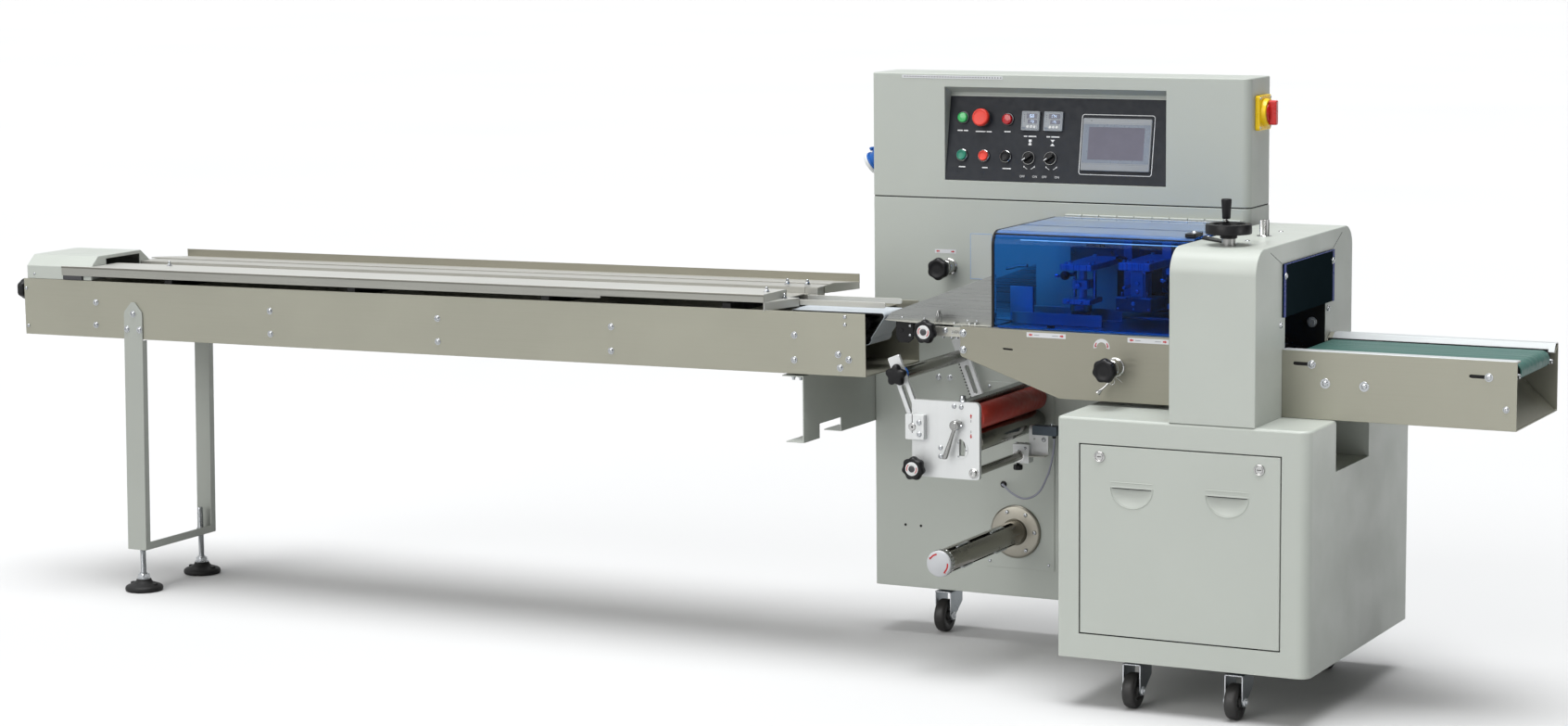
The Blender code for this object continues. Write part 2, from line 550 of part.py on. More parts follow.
line = bpy.data.curves.new("sensor_cable", "CURVE")
line.dimensions = "3D"
line.bevel_depth = CABLE_R
line.bevel_resolution = 2
line.use_fill_caps = True
spline = line.splines.new("POLY")
stations = smooth_route(((ROUTE[0][0], ROUTE[0][1], CABLE_TOP),) + ROUTE[1:], 26)
spline.points.add(len(stations) - 1)
for point, at in zip(spline.points, stations):
    point.co = (*at, 1.0)
cable = bpy.data.objects.new("sensor_cable", line)
bpy.context.scene.collection.objects.link(cable)
cable.parent = ROOT
line.materials.append(material("grey_cable"))

# film guide arm: two slotted arms, a pivot shaft and the axle of the guide roller
direction = (Vector(ARM_ROLL) - Vector(ARM_PIVOT)).normalized()
head = tuple(Vector(ARM_ROLL) + direction * 0.030)
arm_outline = stadium(ARM_PIVOT, head, 0.0165, 6)
slot = stadium(tuple(Vector(ARM_PIVOT) + direction * 0.034), tuple(Vector(ARM_PIVOT) + direction * 0.100), 0.0055, 4)
arm = piece("guide_arm", prism("y", arm_outline, -0.1130, -0.1035), "aluminium",
            origin=(ARM_PIVOT[0], 0.08, ARM_PIVOT[1]))
fuse(arm, prism("y", arm_outline, 0.2620, 0.2700),
     rod(Y, (ARM_PIVOT[0], 0, ARM_PIVOT[1]), 0.0090, -0.140, 0.266, 16),
     rod(Y, (ARM_ROLL[0], 0, ARM_ROLL[1]), 0.0060, -0.108, 0.266, 12))
cut(arm, prism("y", slot, -0.2, 0.4))
piece("guide_roller", turned(Y, (ARM_ROLL[0], 0, ARM_ROLL[1]), [
    (0.0065, -0.1005), (0.0150, -0.1005), (0.0160, -0.0995), (0.0160, 0.2575), (0.0150, 0.2585), (0.0065, 0.2585)],
    20, bored=True), "bright_steel", origin=(ARM_ROLL[0], 0.08, ARM_ROLL[1]), smooth=40)


def lobed_knob(name, at, direction, stem, r, count, start=GAP, mat="black_plastic"):
    """Hand knob: a round stem carrying a lobed head. stem: (radius, length); r: head radius."""
    sr, sl = stem
    h = r * 0.82
    prof = [(sr, start, 0), (sr, sl, 0), (r * 0.62, sl, 0), (r * 0.90, sl + h * 0.22, r * 0.06),
            (r * 0.93, sl + h * 0.78, r * 0.07), (r * 0.72, sl + h, r * 0.03)]
    return piece(name, turned(direction, at, prof, 4 * count, lobes=count), mat, origin=at, smooth=45)


OUTWARD = (0, -1, 0)
lobed_knob("star_knob", (ARM_ROLL[0], -0.1130, ARM_ROLL[1]), OUTWARD, (0.010, 0.008), 0.0265, 5)
lobed_knob("knob_former", (0.8930, FRONT_Y + 0.002, 0.8520), OUTWARD, (0.010, 0.020), 0.0300, 6)
lobed_knob("knob_nip", (0.8640, NIP_Y[0], 0.5160), OUTWARD, (0.010, 0.020), 0.0300, 6)
lobed_knob("knob_cabinet", (0.7580, WALL, 0.9610), OUTWARD, (0.0175, 0.058), 0.0290, 6)
lobed_knob("knob_front", (1.3760, FRONT_Y, 0.7880), OUTWARD, (0.0185, 0.056), 0.0300, 6)
lobed_knob("tail_knob", (FEED_X[0], -0.0920, 0.8380), (-1, 0, 0), (0.0085, 0.006), 0.0290, 6, start=0.0006)

# --------------------------------------------------------- infeed conveyor
feed = piece("infeed_frame", prism("x", folded([
    (FEED_Y[0], FEED_Z[1]), (FEED_Y[0], FEED_Z[0]), (FEED_Y[1], FEED_Z[0]), (FEED_Y[1], FEED_Z[1])], SHEET), *FEED_X),
    "stainless", parent=TILTED)
fuse(feed, block((FEED_X[0], FEED_X[0] + SHEET), (FEED_Y[0] + 0.001, FEED_Y[1] - 0.001),
                 (FEED_Z[0] + 0.001, FEED_Z[1] - 0.002)), parent=TILTED)

TABLE_X = (-1.6600, 0.4400)
table_profile = folded([(-0.1250, 0.8840), (-0.1250, 0.9100), (0.0000, 0.9100), (0.0000, 0.8880), (0.1000, 0.8880),
                        (0.1000, 0.9050), (0.1860, 0.9050)], -0.0025)
table = piece("infeed_table", prism("x", table_profile, -1.7590, 0.4780), "stainless", parent=TILTED)
cut(table, block((-1.9, TABLE_X[0]), (-0.1200, 0.3), (0.8, 1.0)),
    block((TABLE_X[1], 0.7), (-0.2, 0.1030), (0.8, 1.0)),
    block((-0.0300, 0.7), (-0.1350, -0.1150), (0.8, 0.8895)), parent=TILTED)

# rear shelf: flat on the table, then falling a little to an upturned lip; its machine end is turned down
shelf = piece("infeed_guide_rear", prism("x", folded([(0.1700, 0.9053), (0.1880, 0.9053), (0.3400, 0.8920),
                                                      (0.3400, 0.9150)], 0.0022), -1.6750, 0.4780), "stainless",
              parent=TILTED)
fuse(shelf, prism("x", [(0.1910, 0.8830), (0.3395, 0.8760), (0.3395, 0.8930), (0.1910, 0.9061)], 0.4757, 0.4778),
     parent=TILTED)

HOOD_X = (-1.8850, -1.6620)
hood_out = [(-0.1180, 0.8713), (-0.1180, 0.9075), (-0.0850, 0.9355), (0.1050, 0.9355), (0.1450, 0.9050),
            (0.1450, 0.8740), (0.1880, 0.8740), (0.1880, 0.8713)]
hood_in = [(-0.1155, 0.8), (-0.1155, 0.9064), (-0.0841, 0.9330), (0.1041, 0.9330), (0.1425, 0.9038), (0.1425, 0.8)]
hood = piece("infeed_hood", prism("x", hood_out, *HOOD_X), "grey_paint", parent=TILTED)
cut(hood, prism("x", hood_in, HOOD_X[0] + 0.0025, HOOD_X[1] - 0.0025),
    block((HOOD_X[1] - 0.02, HOOD_X[1] + 0.02), (-0.050, 0.0985), (0.8, 0.9262)), parent=TILTED)

belt_outline = [(0.4650, 0.7800), (0.6700, 0.7800)]
belt_outline += [(0.6700 + 0.016 * math.sin(math.radians(a)), 0.7960 - 0.016 * math.cos(math.radians(a)))
                 for a in range(20, 101, 20)]
belt_outline += [(0.7130 + 0.009 * math.cos(math.radians(a)), 0.8540 + 0.009 * math.sin(math.radians(a)))
                 for a in range(-30, 91, 30)]
belt_outline += [(0.4650, 0.8630)]
piece("transfer_bed", prism("y", belt_outline, -0.0200, 0.0950), "white_belt", parent=TILTED)

# leg frame: a bent strap with a stiffening flange along its right edge, its top leaning a little to the right
def leaned(bm):
    for v in bm.verts:
        v.co.x += (v.co.z - 0.400) * 0.0217
    return bm


tab = 0.809
strap_y = (FEED_Y[0] - 0.0035, FEED_Y[1] + 0.0065)
legs = [(strap_y[0], 0.776), (strap_y[0], LEG_BOTTOM), (strap_y[1], LEG_BOTTOM), (strap_y[1], 0.776)]
leg = piece("infeed_leg", leaned(prism("x", folded(legs, SHEET), *LEG_X)), "grey_paint")
mid = sum(LEG_X) / 2
point = [(LEG_X[0] + 0.001, 0.770), (LEG_X[1] - 0.001, 0.770), (LEG_X[1] - 0.001, 0.782), (mid + 0.006, tab),
         (mid - 0.006, tab), (LEG_X[0] + 0.001, 0.782)]
edge = [(strap_y[0] + 0.0005, 0.7035), (strap_y[0] + 0.0005, LEG_BOTTOM + 0.0005), (strap_y[1] - 0.0005, LEG_BOTTOM + 0.0005),
        (strap_y[1] - 0.0005, 0.7035)]
fuse(leg, leaned(prism("y", point, strap_y[0] + 0.0002, strap_y[0] + 0.0028)),
     leaned(prism("y", point, strap_y[1] - 0.0028, strap_y[1] - 0.0002)),
     leaned(prism("x", folded(edge, 0.020), LEG_X[1] - 0.0032, LEG_X[1] - 0.0002)))
cut(leg, *[rod(Z, (FOOT_X, fy, 0), 0.0085, 0.05, 0.16, 16) for fy in FOOT_Y])

for name, fy in (("foot_front", FOOT_Y[0]), ("foot_rear", FOOT_Y[1])):
    piece(name, turned(Z, (FOOT_X, fy, 0), [
        (0.050, 0.0), (0.052, 0.010), (0.046, 0.018), (0.022, 0.024), (0.017, 0.034),
        (0.017, 0.048), (0.0080, 0.049), (0.0080, 0.190)], 20),
        "black_plastic", origin=(FOOT_X, fy, LEG_BOTTOM), smooth=40)

# bracket on the cabinet's side that carries the machine end of the infeed
plate = [(-0.115, 0.7190), (-0.115, 0.5505), (-0.027, 0.5505), (-0.027, 0.5870), (0.094, 0.5870), (0.094, 0.5505),
         (0.420, 0.5505), (0.420, 0.7190)]
carry = piece("support_bracket", prism("x", plate, TALL_X[0] - 0.0035, TALL_X[0] - GAP), "grey_paint")
fuse(carry, block((TALL_X[0] - 0.050, TALL_X[0] - 0.001), (-0.115, -0.027), (0.5505, 0.5535)),
     block((TALL_X[0] - 0.050, TALL_X[0] - 0.001), (0.094, 0.180), (0.5505, 0.5535)),
     block((TALL_X[0] - 0.060, TALL_X[0] - 0.001), (-0.115, 0.185), (0.7160, 0.7190)))

# ------------------------------------------------------ discharge conveyor
piece("discharge_frame", prism("x", folded([
    (OUT_Y[0] + 0.028, OUT_Z[1] - 0.001), (OUT_Y[0], OUT_Z[1] - 0.001), (OUT_Y[0], OUT_Z[0]), (OUT_Y[1], OUT_Z[0]),
    (OUT_Y[1], OUT_Z[1]), (OUT_Y[1] - 0.031, OUT_Z[1] - 0.018)], SHEET), *OUT_X), "stainless")
piece("discharge_belt", prism("y", stadium((1.8160, 0.8220), (2.3170, 0.8220), 0.0200, 8), -0.0700, 0.1700), "green_belt",
      smooth=40)

# ----------------------------------------------------------------- casters
for place, (cx, cy) in CASTERS.items():
    ay = cy - TRAIL
    cheek = [(ay - 0.0120, WHEEL_R - 0.0120), (ay + 0.0120, WHEEL_R - 0.0120), (cy + 0.0330, 0.0730),
             (cy + 0.0330, 0.1060), (ay - 0.0120, 0.1060)]
    fork = piece("caster_fork_" + place, block((cx - 0.0222, cx + 0.0222), (ay - 0.0115, cy + 0.0325), (0.1020, 0.1058)),
                 "bright_steel", origin=(cx, cy, BASE_Z[0]), smooth=30)
    fuse(fork, prism("x", cheek, cx - 0.0224, cx - 0.0194), prism("x", cheek, cx + 0.0194, cx + 0.0224),
         rod(X, (cx, ay, WHEEL_R), 0.0060, -0.0210, 0.0210, 12),
         rod(Z, (cx, cy, 0), 0.0190, 0.1045, BASE_Z[0] - GAP, 20))
    h = WHEEL_W / 2
    tread = WHEEL_R / math.cos(math.pi / 20)        # a flat of the tread lies on the floor
    piece("caster_wheel_" + place, turned(X, (cx, ay, WHEEL_R), [
        (0.0064, -0.0172), (0.0140, -0.0172), (0.0160, -h), (0.0370, -h), (tread, -h + 0.0070),
        (tread, h - 0.0070), (0.0370, h), (0.0160, h), (0.0140, 0.0172), (0.0064, 0.0172)],
        20, bored=True, phase=0.5), "black_plastic", origin=(cx, ay, WHEEL_R), smooth=50)
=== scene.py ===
"""Looks of the horizontal flow-wrapping machine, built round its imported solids.

Shapes are drawn in machine coordinates (floor at z = 0, operator face of the base
cabinet at y = -0.300) and shifted by OFF into the frame of the part.
"""
import json
import math

import bmesh
import bpy
from mathutils import Matrix, Vector

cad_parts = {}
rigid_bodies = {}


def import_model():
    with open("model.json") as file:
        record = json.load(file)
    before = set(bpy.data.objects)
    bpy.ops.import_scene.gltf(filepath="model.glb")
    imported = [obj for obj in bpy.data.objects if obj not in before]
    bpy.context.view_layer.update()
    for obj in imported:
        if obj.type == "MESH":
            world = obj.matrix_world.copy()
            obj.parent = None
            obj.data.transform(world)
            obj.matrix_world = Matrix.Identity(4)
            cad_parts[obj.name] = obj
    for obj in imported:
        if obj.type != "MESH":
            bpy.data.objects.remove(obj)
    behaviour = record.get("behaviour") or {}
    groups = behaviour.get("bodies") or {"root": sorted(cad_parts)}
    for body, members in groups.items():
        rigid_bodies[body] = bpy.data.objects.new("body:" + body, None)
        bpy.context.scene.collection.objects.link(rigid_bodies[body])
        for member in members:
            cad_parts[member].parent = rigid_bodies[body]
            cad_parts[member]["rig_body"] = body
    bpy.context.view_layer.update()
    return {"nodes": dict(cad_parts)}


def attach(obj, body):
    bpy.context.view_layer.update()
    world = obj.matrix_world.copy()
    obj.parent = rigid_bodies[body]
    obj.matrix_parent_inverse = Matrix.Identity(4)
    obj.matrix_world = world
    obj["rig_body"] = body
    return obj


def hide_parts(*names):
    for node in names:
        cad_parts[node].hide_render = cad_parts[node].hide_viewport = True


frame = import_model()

OFF = Vector((-0.2071, -0.0735, 0.0))
FEED_MID = Vector((-0.590, 0.0, 0.790))
TILT = (Matrix.Translation(FEED_MID) @ Matrix.Rotation(math.radians(-0.5), 4, "Y")
        @ Matrix.Translation(-FEED_MID))
WALL = 0.289
FRONT = -0.120
OUTWARD = (0, -1, 0)


# ---------------------------------------------------------------- materials
def srgb(r, g, b):
    out = []
    for c in (r, g, b):
        c = c / 255.0
        out.append(c / 12.92 if c <= 0.04045 else ((c + 0.055) / 1.055) ** 2.4)
    return tuple(out)


class Tree:
    """A node material under construction."""

    def __init__(self, name):
        self.mat = bpy.data.materials.new(name)
        self.mat.use_nodes = True
        self.nt = self.mat.node_tree
        self.shader = self.nt.nodes["Principled BSDF"]
        self.coord = None

    def new(self, kind, **values):
        node = self.nt.nodes.new(kind)
        for key, value in values.items():
            if key in node.inputs:
                node.inputs[key].default_value = value
            else:
                setattr(node, key, value)
        return node

    def link(self, a, b):
        self.nt.links.new(a, b)

    def at(self, scale=(1.0, 1.0, 1.0)):
        if self.coord is None:
            self.coord = self.new("ShaderNodeTexCoord")
        m = self.new("ShaderNodeMapping")
        m.inputs["Scale"].default_value = scale
        self.link(self.coord.outputs["Object"], m.inputs["Vector"])
        return m.outputs["Vector"]

    def noise(self, scale, stretch=(1.0, 1.0, 1.0), detail=3.0, rough=0.5):
        n = self.new("ShaderNodeTexNoise", Scale=scale, Detail=detail, Roughness=rough)
        self.link(self.at(stretch), n.inputs["Vector"])
        return n.outputs["Fac"]

    def span(self, value, low, high, a=0.35, b=0.65):
        m = self.new("ShaderNodeMapRange")
        m.inputs["From Min"].default_value = a
        m.inputs["From Max"].default_value = b
        m.inputs["To Min"].default_value = low
        m.inputs["To Max"].default_value = high
        self.link(value, m.inputs["Value"])
        return m.outputs["Result"]

    def shades(self, value, stops):
        r = self.new("ShaderNodeValToRGB")
        e = r.color_ramp.elements
        while len(e) < len(stops):
            e.new(0.5)
        for el, (pos, col) in zip(e, stops):
            el.position = pos
            el.color = (*col, 1.0)
        self.link(value, r.inputs["Fac"])
        return r.outputs["Color"]

    def mix(self, fac, a, b):
        m = self.new("ShaderNodeMix", data_type="RGBA")
        self.link(fac, m.inputs["Factor"])
        for sock, v in ((m.inputs[6], a), (m.inputs[7], b)):
            if isinstance(v, tuple):
                sock.default_value = (*v, 1.0)
            else:
                self.link(v, sock)
        return m.outputs[2]

    def bump(self, height, strength, distance):
        b = self.new("ShaderNodeBump", Strength=strength, Distance=distance)
        self.link(height, b.inputs["Height"])
        self.link(b.outputs["Normal"], self.shader.inputs["Normal"])

    def set(self, **values):
        for key, value in values.items():
            name = {"color": "Base Color", "rough": "Roughness", "metal": "Metallic", "ior": "IOR",
                    "coat": "Coat Weight", "coat_rough": "Coat Roughness", "trans": "Transmission Weight",
                    "aniso": "Anisotropic", "spec": "Specular IOR Level", "emit": "Emission Strength",
                    "emit_color": "Emission Color", "alpha": "Alpha"}[key]
            sock = self.shader.inputs[name]
            if hasattr(value, "is_linked"):
                self.link(value, sock)
            elif isinstance(value, tuple) and len(value) == 3:
                sock.default_value = (*value, 1.0)
            else:
                sock.default_value = value
        return self.mat


def scaled(col, k):
    return tuple(min(1.0, c * k) for c in col)


DIM = 0.77      # all surface colours together, against the strength of the lights


def paint(name, col, rough=0.40, var=0.03, peel=0.10):
    """Powder coat: fine orange peel, faint cloudiness, a little handling haze."""
    t = Tree(name)
    col = scaled(col, DIM)
    cloud = t.noise(2.3, detail=4.0)
    base = t.shades(cloud, [(0.30, scaled(col, 1 - var)), (0.70, scaled(col, 1 + var))])
    speck = t.noise(1500.0, detail=1.0)
    base = t.mix(t.span(speck, 0.0, 0.10, 0.45, 0.75), base, scaled(col, 0.82))
    t.bump(t.noise(620.0, detail=2.0), peel, 0.0006)
    return t.set(color=base, rough=t.span(t.noise(9.0, detail=5.0), rough - 0.06, rough + 0.08))


def brushed(name, col, rough=0.30, along=0, var=0.07, scratch=0.05, metal=1.0):
    """Brushed sheet: long fine lines along one axis, soft blotches across the sheet."""
    t = Tree(name)
    col = scaled(col, DIM)
    stretch = [420.0, 420.0, 420.0]
    stretch[along] = 3.0
    lines = t.noise(1.0, tuple(stretch), detail=4.0, rough=0.65)
    soft = t.noise(3.2, detail=3.0)
    base = t.shades(lines, [(0.25, scaled(col, 1 - var)), (0.75, scaled(col, 1 + var))])
    base = t.mix(t.span(soft, 0.0, 0.35), base, scaled(col, 0.86))
    t.bump(lines, scratch, 0.0002)
    return t.set(color=base, metal=metal, rough=t.span(lines, rough - 0.07, rough + 0.10))


def polished(name, col, rough=0.16, var=0.05):
    """Plated or ground steel with hairline scratches and faint smears."""
    t = Tree(name)
    col = scaled(col, DIM)
    hair = t.noise(1.0, (900.0, 60.0, 900.0), detail=3.0)
    smear = t.noise(14.0, detail=4.0)
    base = t.shades(smear, [(0.30, scaled(col, 1 - var)), (0.70, scaled(col, 1 + var))])
    t.bump(hair, 0.03, 0.0001)
    return t.set(color=base, metal=1.0, rough=t.span(smear, rough - 0.05, rough + 0.09))


def moulded(name, col, rough=0.38, grain=0.12, scale=1100.0, var=0.10, coat=0.0, spec=0.38):
    """Moulded plastic: fine spark-eroded grain and slight shade changes."""
    t = Tree(name)
    col = scaled(col, DIM)
    cloud = t.noise(30.0, detail=3.0)
    base = t.shades(cloud, [(0.30, scaled(col, 1 - var)), (0.70, scaled(col, 1 + var))])
    t.bump(t.noise(scale, detail=2.0), grain, 0.0004)
    return t.set(color=base, rough=t.span(t.noise(60.0, detail=3.0), rough - 0.06, rough + 0.08), coat=coat, spec=spec)


def belting(name, col, rough=0.55, var=0.10, weave=900.0):
    """Conveyor belting: a fine fabric print under a matte face, worn along the run."""
    t = Tree(name)
    col = scaled(col, DIM)
    run = t.noise(1.0, (2.0, 60.0, 60.0), detail=3.0)
    base = t.shades(run, [(0.30, scaled(col, 1 - var)), (0.70, scaled(col, 1 + var))])
    w = t.new("ShaderNodeTexWave", Scale=weave / 6.28, Distortion=0.4)
    t.link(t.at(), w.inputs["Vector"])
    w2 = t.new("ShaderNodeTexWave", Scale=weave / 6.28, Distortion=0.4, bands_direction="Y")
    t.link(t.at(), w2.inputs["Vector"])
    both = t.new("ShaderNodeMath", operation="MULTIPLY")
    t.link(w.outputs["Fac"], both.inputs[0])
    t.link(w2.outputs["Fac"], both.inputs[1])
    t.bump(both.outputs[0], 0.25, 0.0004)
    return t.set(color=base, rough=t.span(run, rough - 0.08, rough + 0.08))


def acrylic(name, col, rough=0.03):
    """Tinted clear sheet with a little surface dust; the pale film on its upward faces is partly dust and partly a
    painted sky reflection.
    """
    t = Tree(name)
    dust = t.noise(240.0, detail=3.0)
    wave = t.noise(5.0, detail=2.0)
    base = t.shades(wave, [(0.30, scaled(col, 0.96)), (0.70, scaled(col, 1.04))])
    # a pale film lies on the faces that look up: partly dust, partly a painted reflection of the sky
    split = t.new("ShaderNodeSeparateXYZ")
    t.link(t.coord.outputs["Normal"], split.inputs["Vector"])
    dust_and_sky_sheen = t.new("ShaderNodeMath", operation="MULTIPLY")
    t.link(t.span(split.outputs["Z"], 0.0, 1.0, 0.55, 0.98), dust_and_sky_sheen.inputs[0])
    t.link(t.span(t.noise(7.0, detail=5.0), 0.44, 0.58), dust_and_sky_sheen.inputs[1])
    base = t.mix(dust_and_sky_sheen.outputs[0], base, scaled(srgb(184, 176, 112), DIM))
    clear = t.new("ShaderNodeMath", operation="SUBTRACT")
    clear.inputs[0].default_value = 1.0
    t.link(dust_and_sky_sheen.outputs[0], clear.inputs[1])
    t.bump(wave, 0.02, 0.002)
    return t.set(color=base, rough=t.span(dust, rough, rough + 0.05, 0.45, 0.75), trans=clear.outputs[0], ior=1.18)


def glow(name, col, strength, base=(0.02, 0.02, 0.02)):
    t = Tree(name)
    n = t.noise(400.0, detail=1.0)
    c = t.shades(n, [(0.3, scaled(col, 0.92)), (0.7, col)])
    return t.set(color=c, rough=0.3, emit_color=col, emit=strength)


PAINT = paint("grey_powder_coat", srgb(181, 186, 179))
PAINT_LEG = paint("grey_powder_coat_leg", srgb(166, 170, 163))
PAINT_IN = paint("grey_powder_coat_inner", srgb(150, 154, 146), rough=0.5)
STEEL_X = brushed("stainless_brushed_long", srgb(170, 169, 155), 0.46, along=0, var=0.05, scratch=0.03, metal=0.80)
# darker copy of the long stainless: painted shade on the bed front panel under the guard and housing
STEEL_BED_SHADED = brushed("stainless_brushed_panel_shaded", srgb(155, 153, 139), 0.46, along=0, var=0.05, scratch=0.03, metal=0.80)
STEEL_TABLE = brushed("stainless_brushed_table", srgb(192, 191, 182), 0.36, along=0, var=0.05, scratch=0.04, metal=0.9)
STEEL_FORM = brushed("stainless_former", srgb(154, 156, 154), 0.30, along=0)
CHROME = polished("chrome_plate", (0.62, 0.62, 0.61), 0.12)
SHAFT = polished("ground_shaft", (0.34, 0.33, 0.29), 0.18)
REEL_STEEL = polished("reel_shaft_steel", (0.35, 0.325, 0.275), 0.22)
FLANGE_STEEL = polished("flange_steel", (0.40, 0.38, 0.325), 0.36)
LEVER_STEEL = polished("satin_nickel", (0.42, 0.42, 0.41), 0.24)
STEEL_SHELF = brushed("stainless_brushed_shelf", srgb(206, 206, 200), 0.40, along=0, var=0.04, scratch=0.03, metal=0.50)
STEEL_REAR = brushed("stainless_brushed_rear", srgb(190, 189, 182), 0.40, along=0, var=0.05, scratch=0.03, metal=0.55)
# lighter copy of the stainless for the discharge wall edges: painted highlight
STEEL_RAIL_LIT = brushed("stainless_brushed_rail_lit", srgb(204, 208, 209), 0.40, along=0, var=0.03, scratch=0.02, metal=0.35)
# dark copy of the stainless for the ledge fold: painted shade line
STEEL_FOLD_SHADED = brushed("stainless_fold_shaded", srgb(122, 121, 114), 0.34, along=0, var=0.06, scratch=0.03, metal=0.85)
# lighter copy of the grey powder coat: painted light on the hood's end face
PAINT_END_LIT = paint("grey_powder_coat_end_lit", srgb(222, 227, 220))
# lighter than the black tyre rubber: painted highlight on the caster treads
TYRE_HIGHLIT = moulded("caster_tyre_highlit", (0.028, 0.027, 0.026), 0.44, spec=0.34, grain=0.25, scale=380.0, var=0.25)
# zinc lighter than plated zinc: painted highlight on caster axles, fork edges and tunnel bolts
ZINC_HIGHLIGHT = brushed("zinc_painted_highlight", (0.80, 0.83, 0.86), 0.26, along=2, var=0.05, scratch=0.02, metal=0.45)
# lightened stainless for the parts under the guard: painted light inside it
STEEL_INSIDE_LIT = brushed("stainless_heads_lit", srgb(206, 208, 208), 0.30, along=2, var=0.05, scratch=0.03, metal=0.60)
# darker copy of the stainless for the rear shelf lip: painted shade on its front face
STEEL_LIP_SHADED = brushed("stainless_brushed_lip_shaded", srgb(156, 153, 139), 0.46, along=0, var=0.05, scratch=0.03, metal=0.80)
STEEL_LEDGE = brushed("stainless_brushed_ledge", srgb(166, 166, 159), 0.38, along=0, var=0.06, scratch=0.04, metal=0.85)
CAP_GREY = moulded("cap_grey", (0.50, 0.51, 0.53), 0.40, grain=0.04, var=0.03)
PLATE_FILM = paint("blank_film", srgb(186, 191, 186), 0.36)
NAVY = moulded("dark_blue_sheet", (0.0085, 0.0150, 0.0185), 0.30, grain=0.0, var=0.05, spec=0.0)
NAVY_EDGE = moulded("blue_sheet_edge", srgb(16, 44, 124), 0.30, grain=0.02, spec=0.08)
ZINC = polished("zinc_plate", (0.60, 0.62, 0.64), 0.24)
FORK = polished("zinc_pressed", (0.33, 0.36, 0.38), 0.30)
ALU = brushed("aluminium_satin", (0.76, 0.775, 0.775), 0.42, along=2, var=0.04, scratch=0.02, metal=0.55)
DARK_STEEL = polished("blackened_steel", (0.10, 0.10, 0.105), 0.30)
BLACK = moulded("black_moulding", (0.0085, 0.0085, 0.0095), 0.38, spec=0.22)
BLACK_GLOSS = moulded("black_gloss_moulding", (0.008, 0.008, 0.009), 0.20, grain=0.03, coat=0.2)
DARK = moulded("shadow_gap", (0.006, 0.006, 0.006), 0.7)
PANEL = moulded("panel_film", srgb(38, 41, 47), 0.48, spec=0.20, grain=0.05, scale=700.0, var=0.06)
WHITE_PRINT = moulded("white_print", (0.80, 0.81, 0.82), 0.5, grain=0.02, var=0.03)
WHITE = moulded("white_moulding", (0.72, 0.73, 0.73), 0.4, grain=0.05, var=0.03)
LABEL = moulded("label_film", (0.66, 0.67, 0.69), 0.35, grain=0.02, var=0.02)
RED = moulded("red_moulding", srgb(206, 34, 30), 0.30, grain=0.04, coat=0.2)
RED_SOFT = moulded("red_button", srgb(224, 62, 48), 0.36, grain=0.05)
RED_PRINT = moulded("red_print", srgb(188, 26, 30), 0.45, grain=0.02, var=0.04)
RED_LAMP = moulded("red_lens", srgb(178, 8, 22), 0.16, grain=0.02, coat=0.5)
GREEN = moulded("green_button", srgb(34, 128, 104), 0.34, grain=0.05)
GREEN_LAMP = moulded("green_lens", srgb(64, 190, 104), 0.16, grain=0.02, coat=0.5)
YELLOW = moulded("yellow_moulding", srgb(248, 206, 8), 0.32, grain=0.04, var=0.04)
BLUE_PLASTIC = moulded("blue_moulding", srgb(24, 92, 172), 0.34, grain=0.04)
SCREEN_CASE = moulded("screen_case", srgb(150, 154, 158), 0.40, grain=0.06, var=0.03)
SCREEN_BAR = moulded("screen_border", srgb(112, 122, 136), 0.30, grain=0.02, var=0.03)
SCREEN_GLASS = moulded("screen_glass", srgb(112, 110, 122), 0.34, grain=0.0, var=0.05, spec=0.10)
METER_FACE = moulded("meter_face", srgb(150, 155, 160), 0.40, grain=0.04, var=0.03)
METER_GLASS = moulded("meter_window", srgb(30, 36, 72), 0.16, grain=0.0, coat=0.5)
DIGIT = glow("meter_digit", (0.55, 0.72, 1.0), 0.6)
RUBBER_RED = moulded("red_roller_rubber", srgb(188, 62, 50), 0.42, grain=0.10, scale=500.0, var=0.06)
RUBBER_BLACK = moulded("tyre_rubber", (0.016, 0.016, 0.016), 0.55, spec=0.24, grain=0.25, scale=380.0, var=0.25)
WHEEL_CORE = moulded("wheel_core", (0.055, 0.054, 0.052), 0.40, grain=0.10)
BELT_GREEN = belting("green_belting", srgb(52, 96, 88), 0.50)
BELT_WHITE = belting("white_belting", srgb(192, 199, 205), 0.46, var=0.04)
CABLE = moulded("cable_sheath", srgb(150, 152, 166), 0.42, grain=0.05, var=0.05)
MOTOR = paint("motor_enamel", (0.055, 0.080, 0.105), 0.45)
LID = acrylic("blue_acrylic", (0.022, 0.215, 0.73))
LIGHT_BLUE = moulded("acrylic_bright_edge", srgb(86, 158, 236), 0.22, grain=0.02, coat=0.4)
EDGE_BLUE = moulded("acrylic_edge", srgb(40, 74, 190), 0.20, grain=0.02, coat=0.4)
GREEN_BLOCK = paint("green_block", srgb(36, 96, 84), 0.4)


# ------------------------------------------------------------------- shapes
def prism(axis, points, a, b):
    """A flat outline swept along axis. Outline axes: x -> (y, z), y -> (x, z), z -> (x, y)."""
    bm = bmesh.new()

    def at(p, t):
        u, v = p
        return {"x": (t, u, v), "y": (u, t, v), "z": (u, v, t)}[axis]

    low = [bm.verts.new(at(p, a)) for p in points]
    high = [bm.verts.new(at(p, b)) for p in points]
    bm.faces.new(low)
    bm.faces.new(high)
    n = len(points)
    for i in range(n):
        j = (i + 1) % n
        bm.faces.new((low[i], low[j], high[j], high[i]))
    bmesh.ops.recalc_face_normals(bm, faces=bm.faces[:])
    return bm


def block(x, y, z):
    return prism("z", [(x[0], y[0]), (x[1], y[0]), (x[1], y[1]), (x[0], y[1])], z[0], z[1])


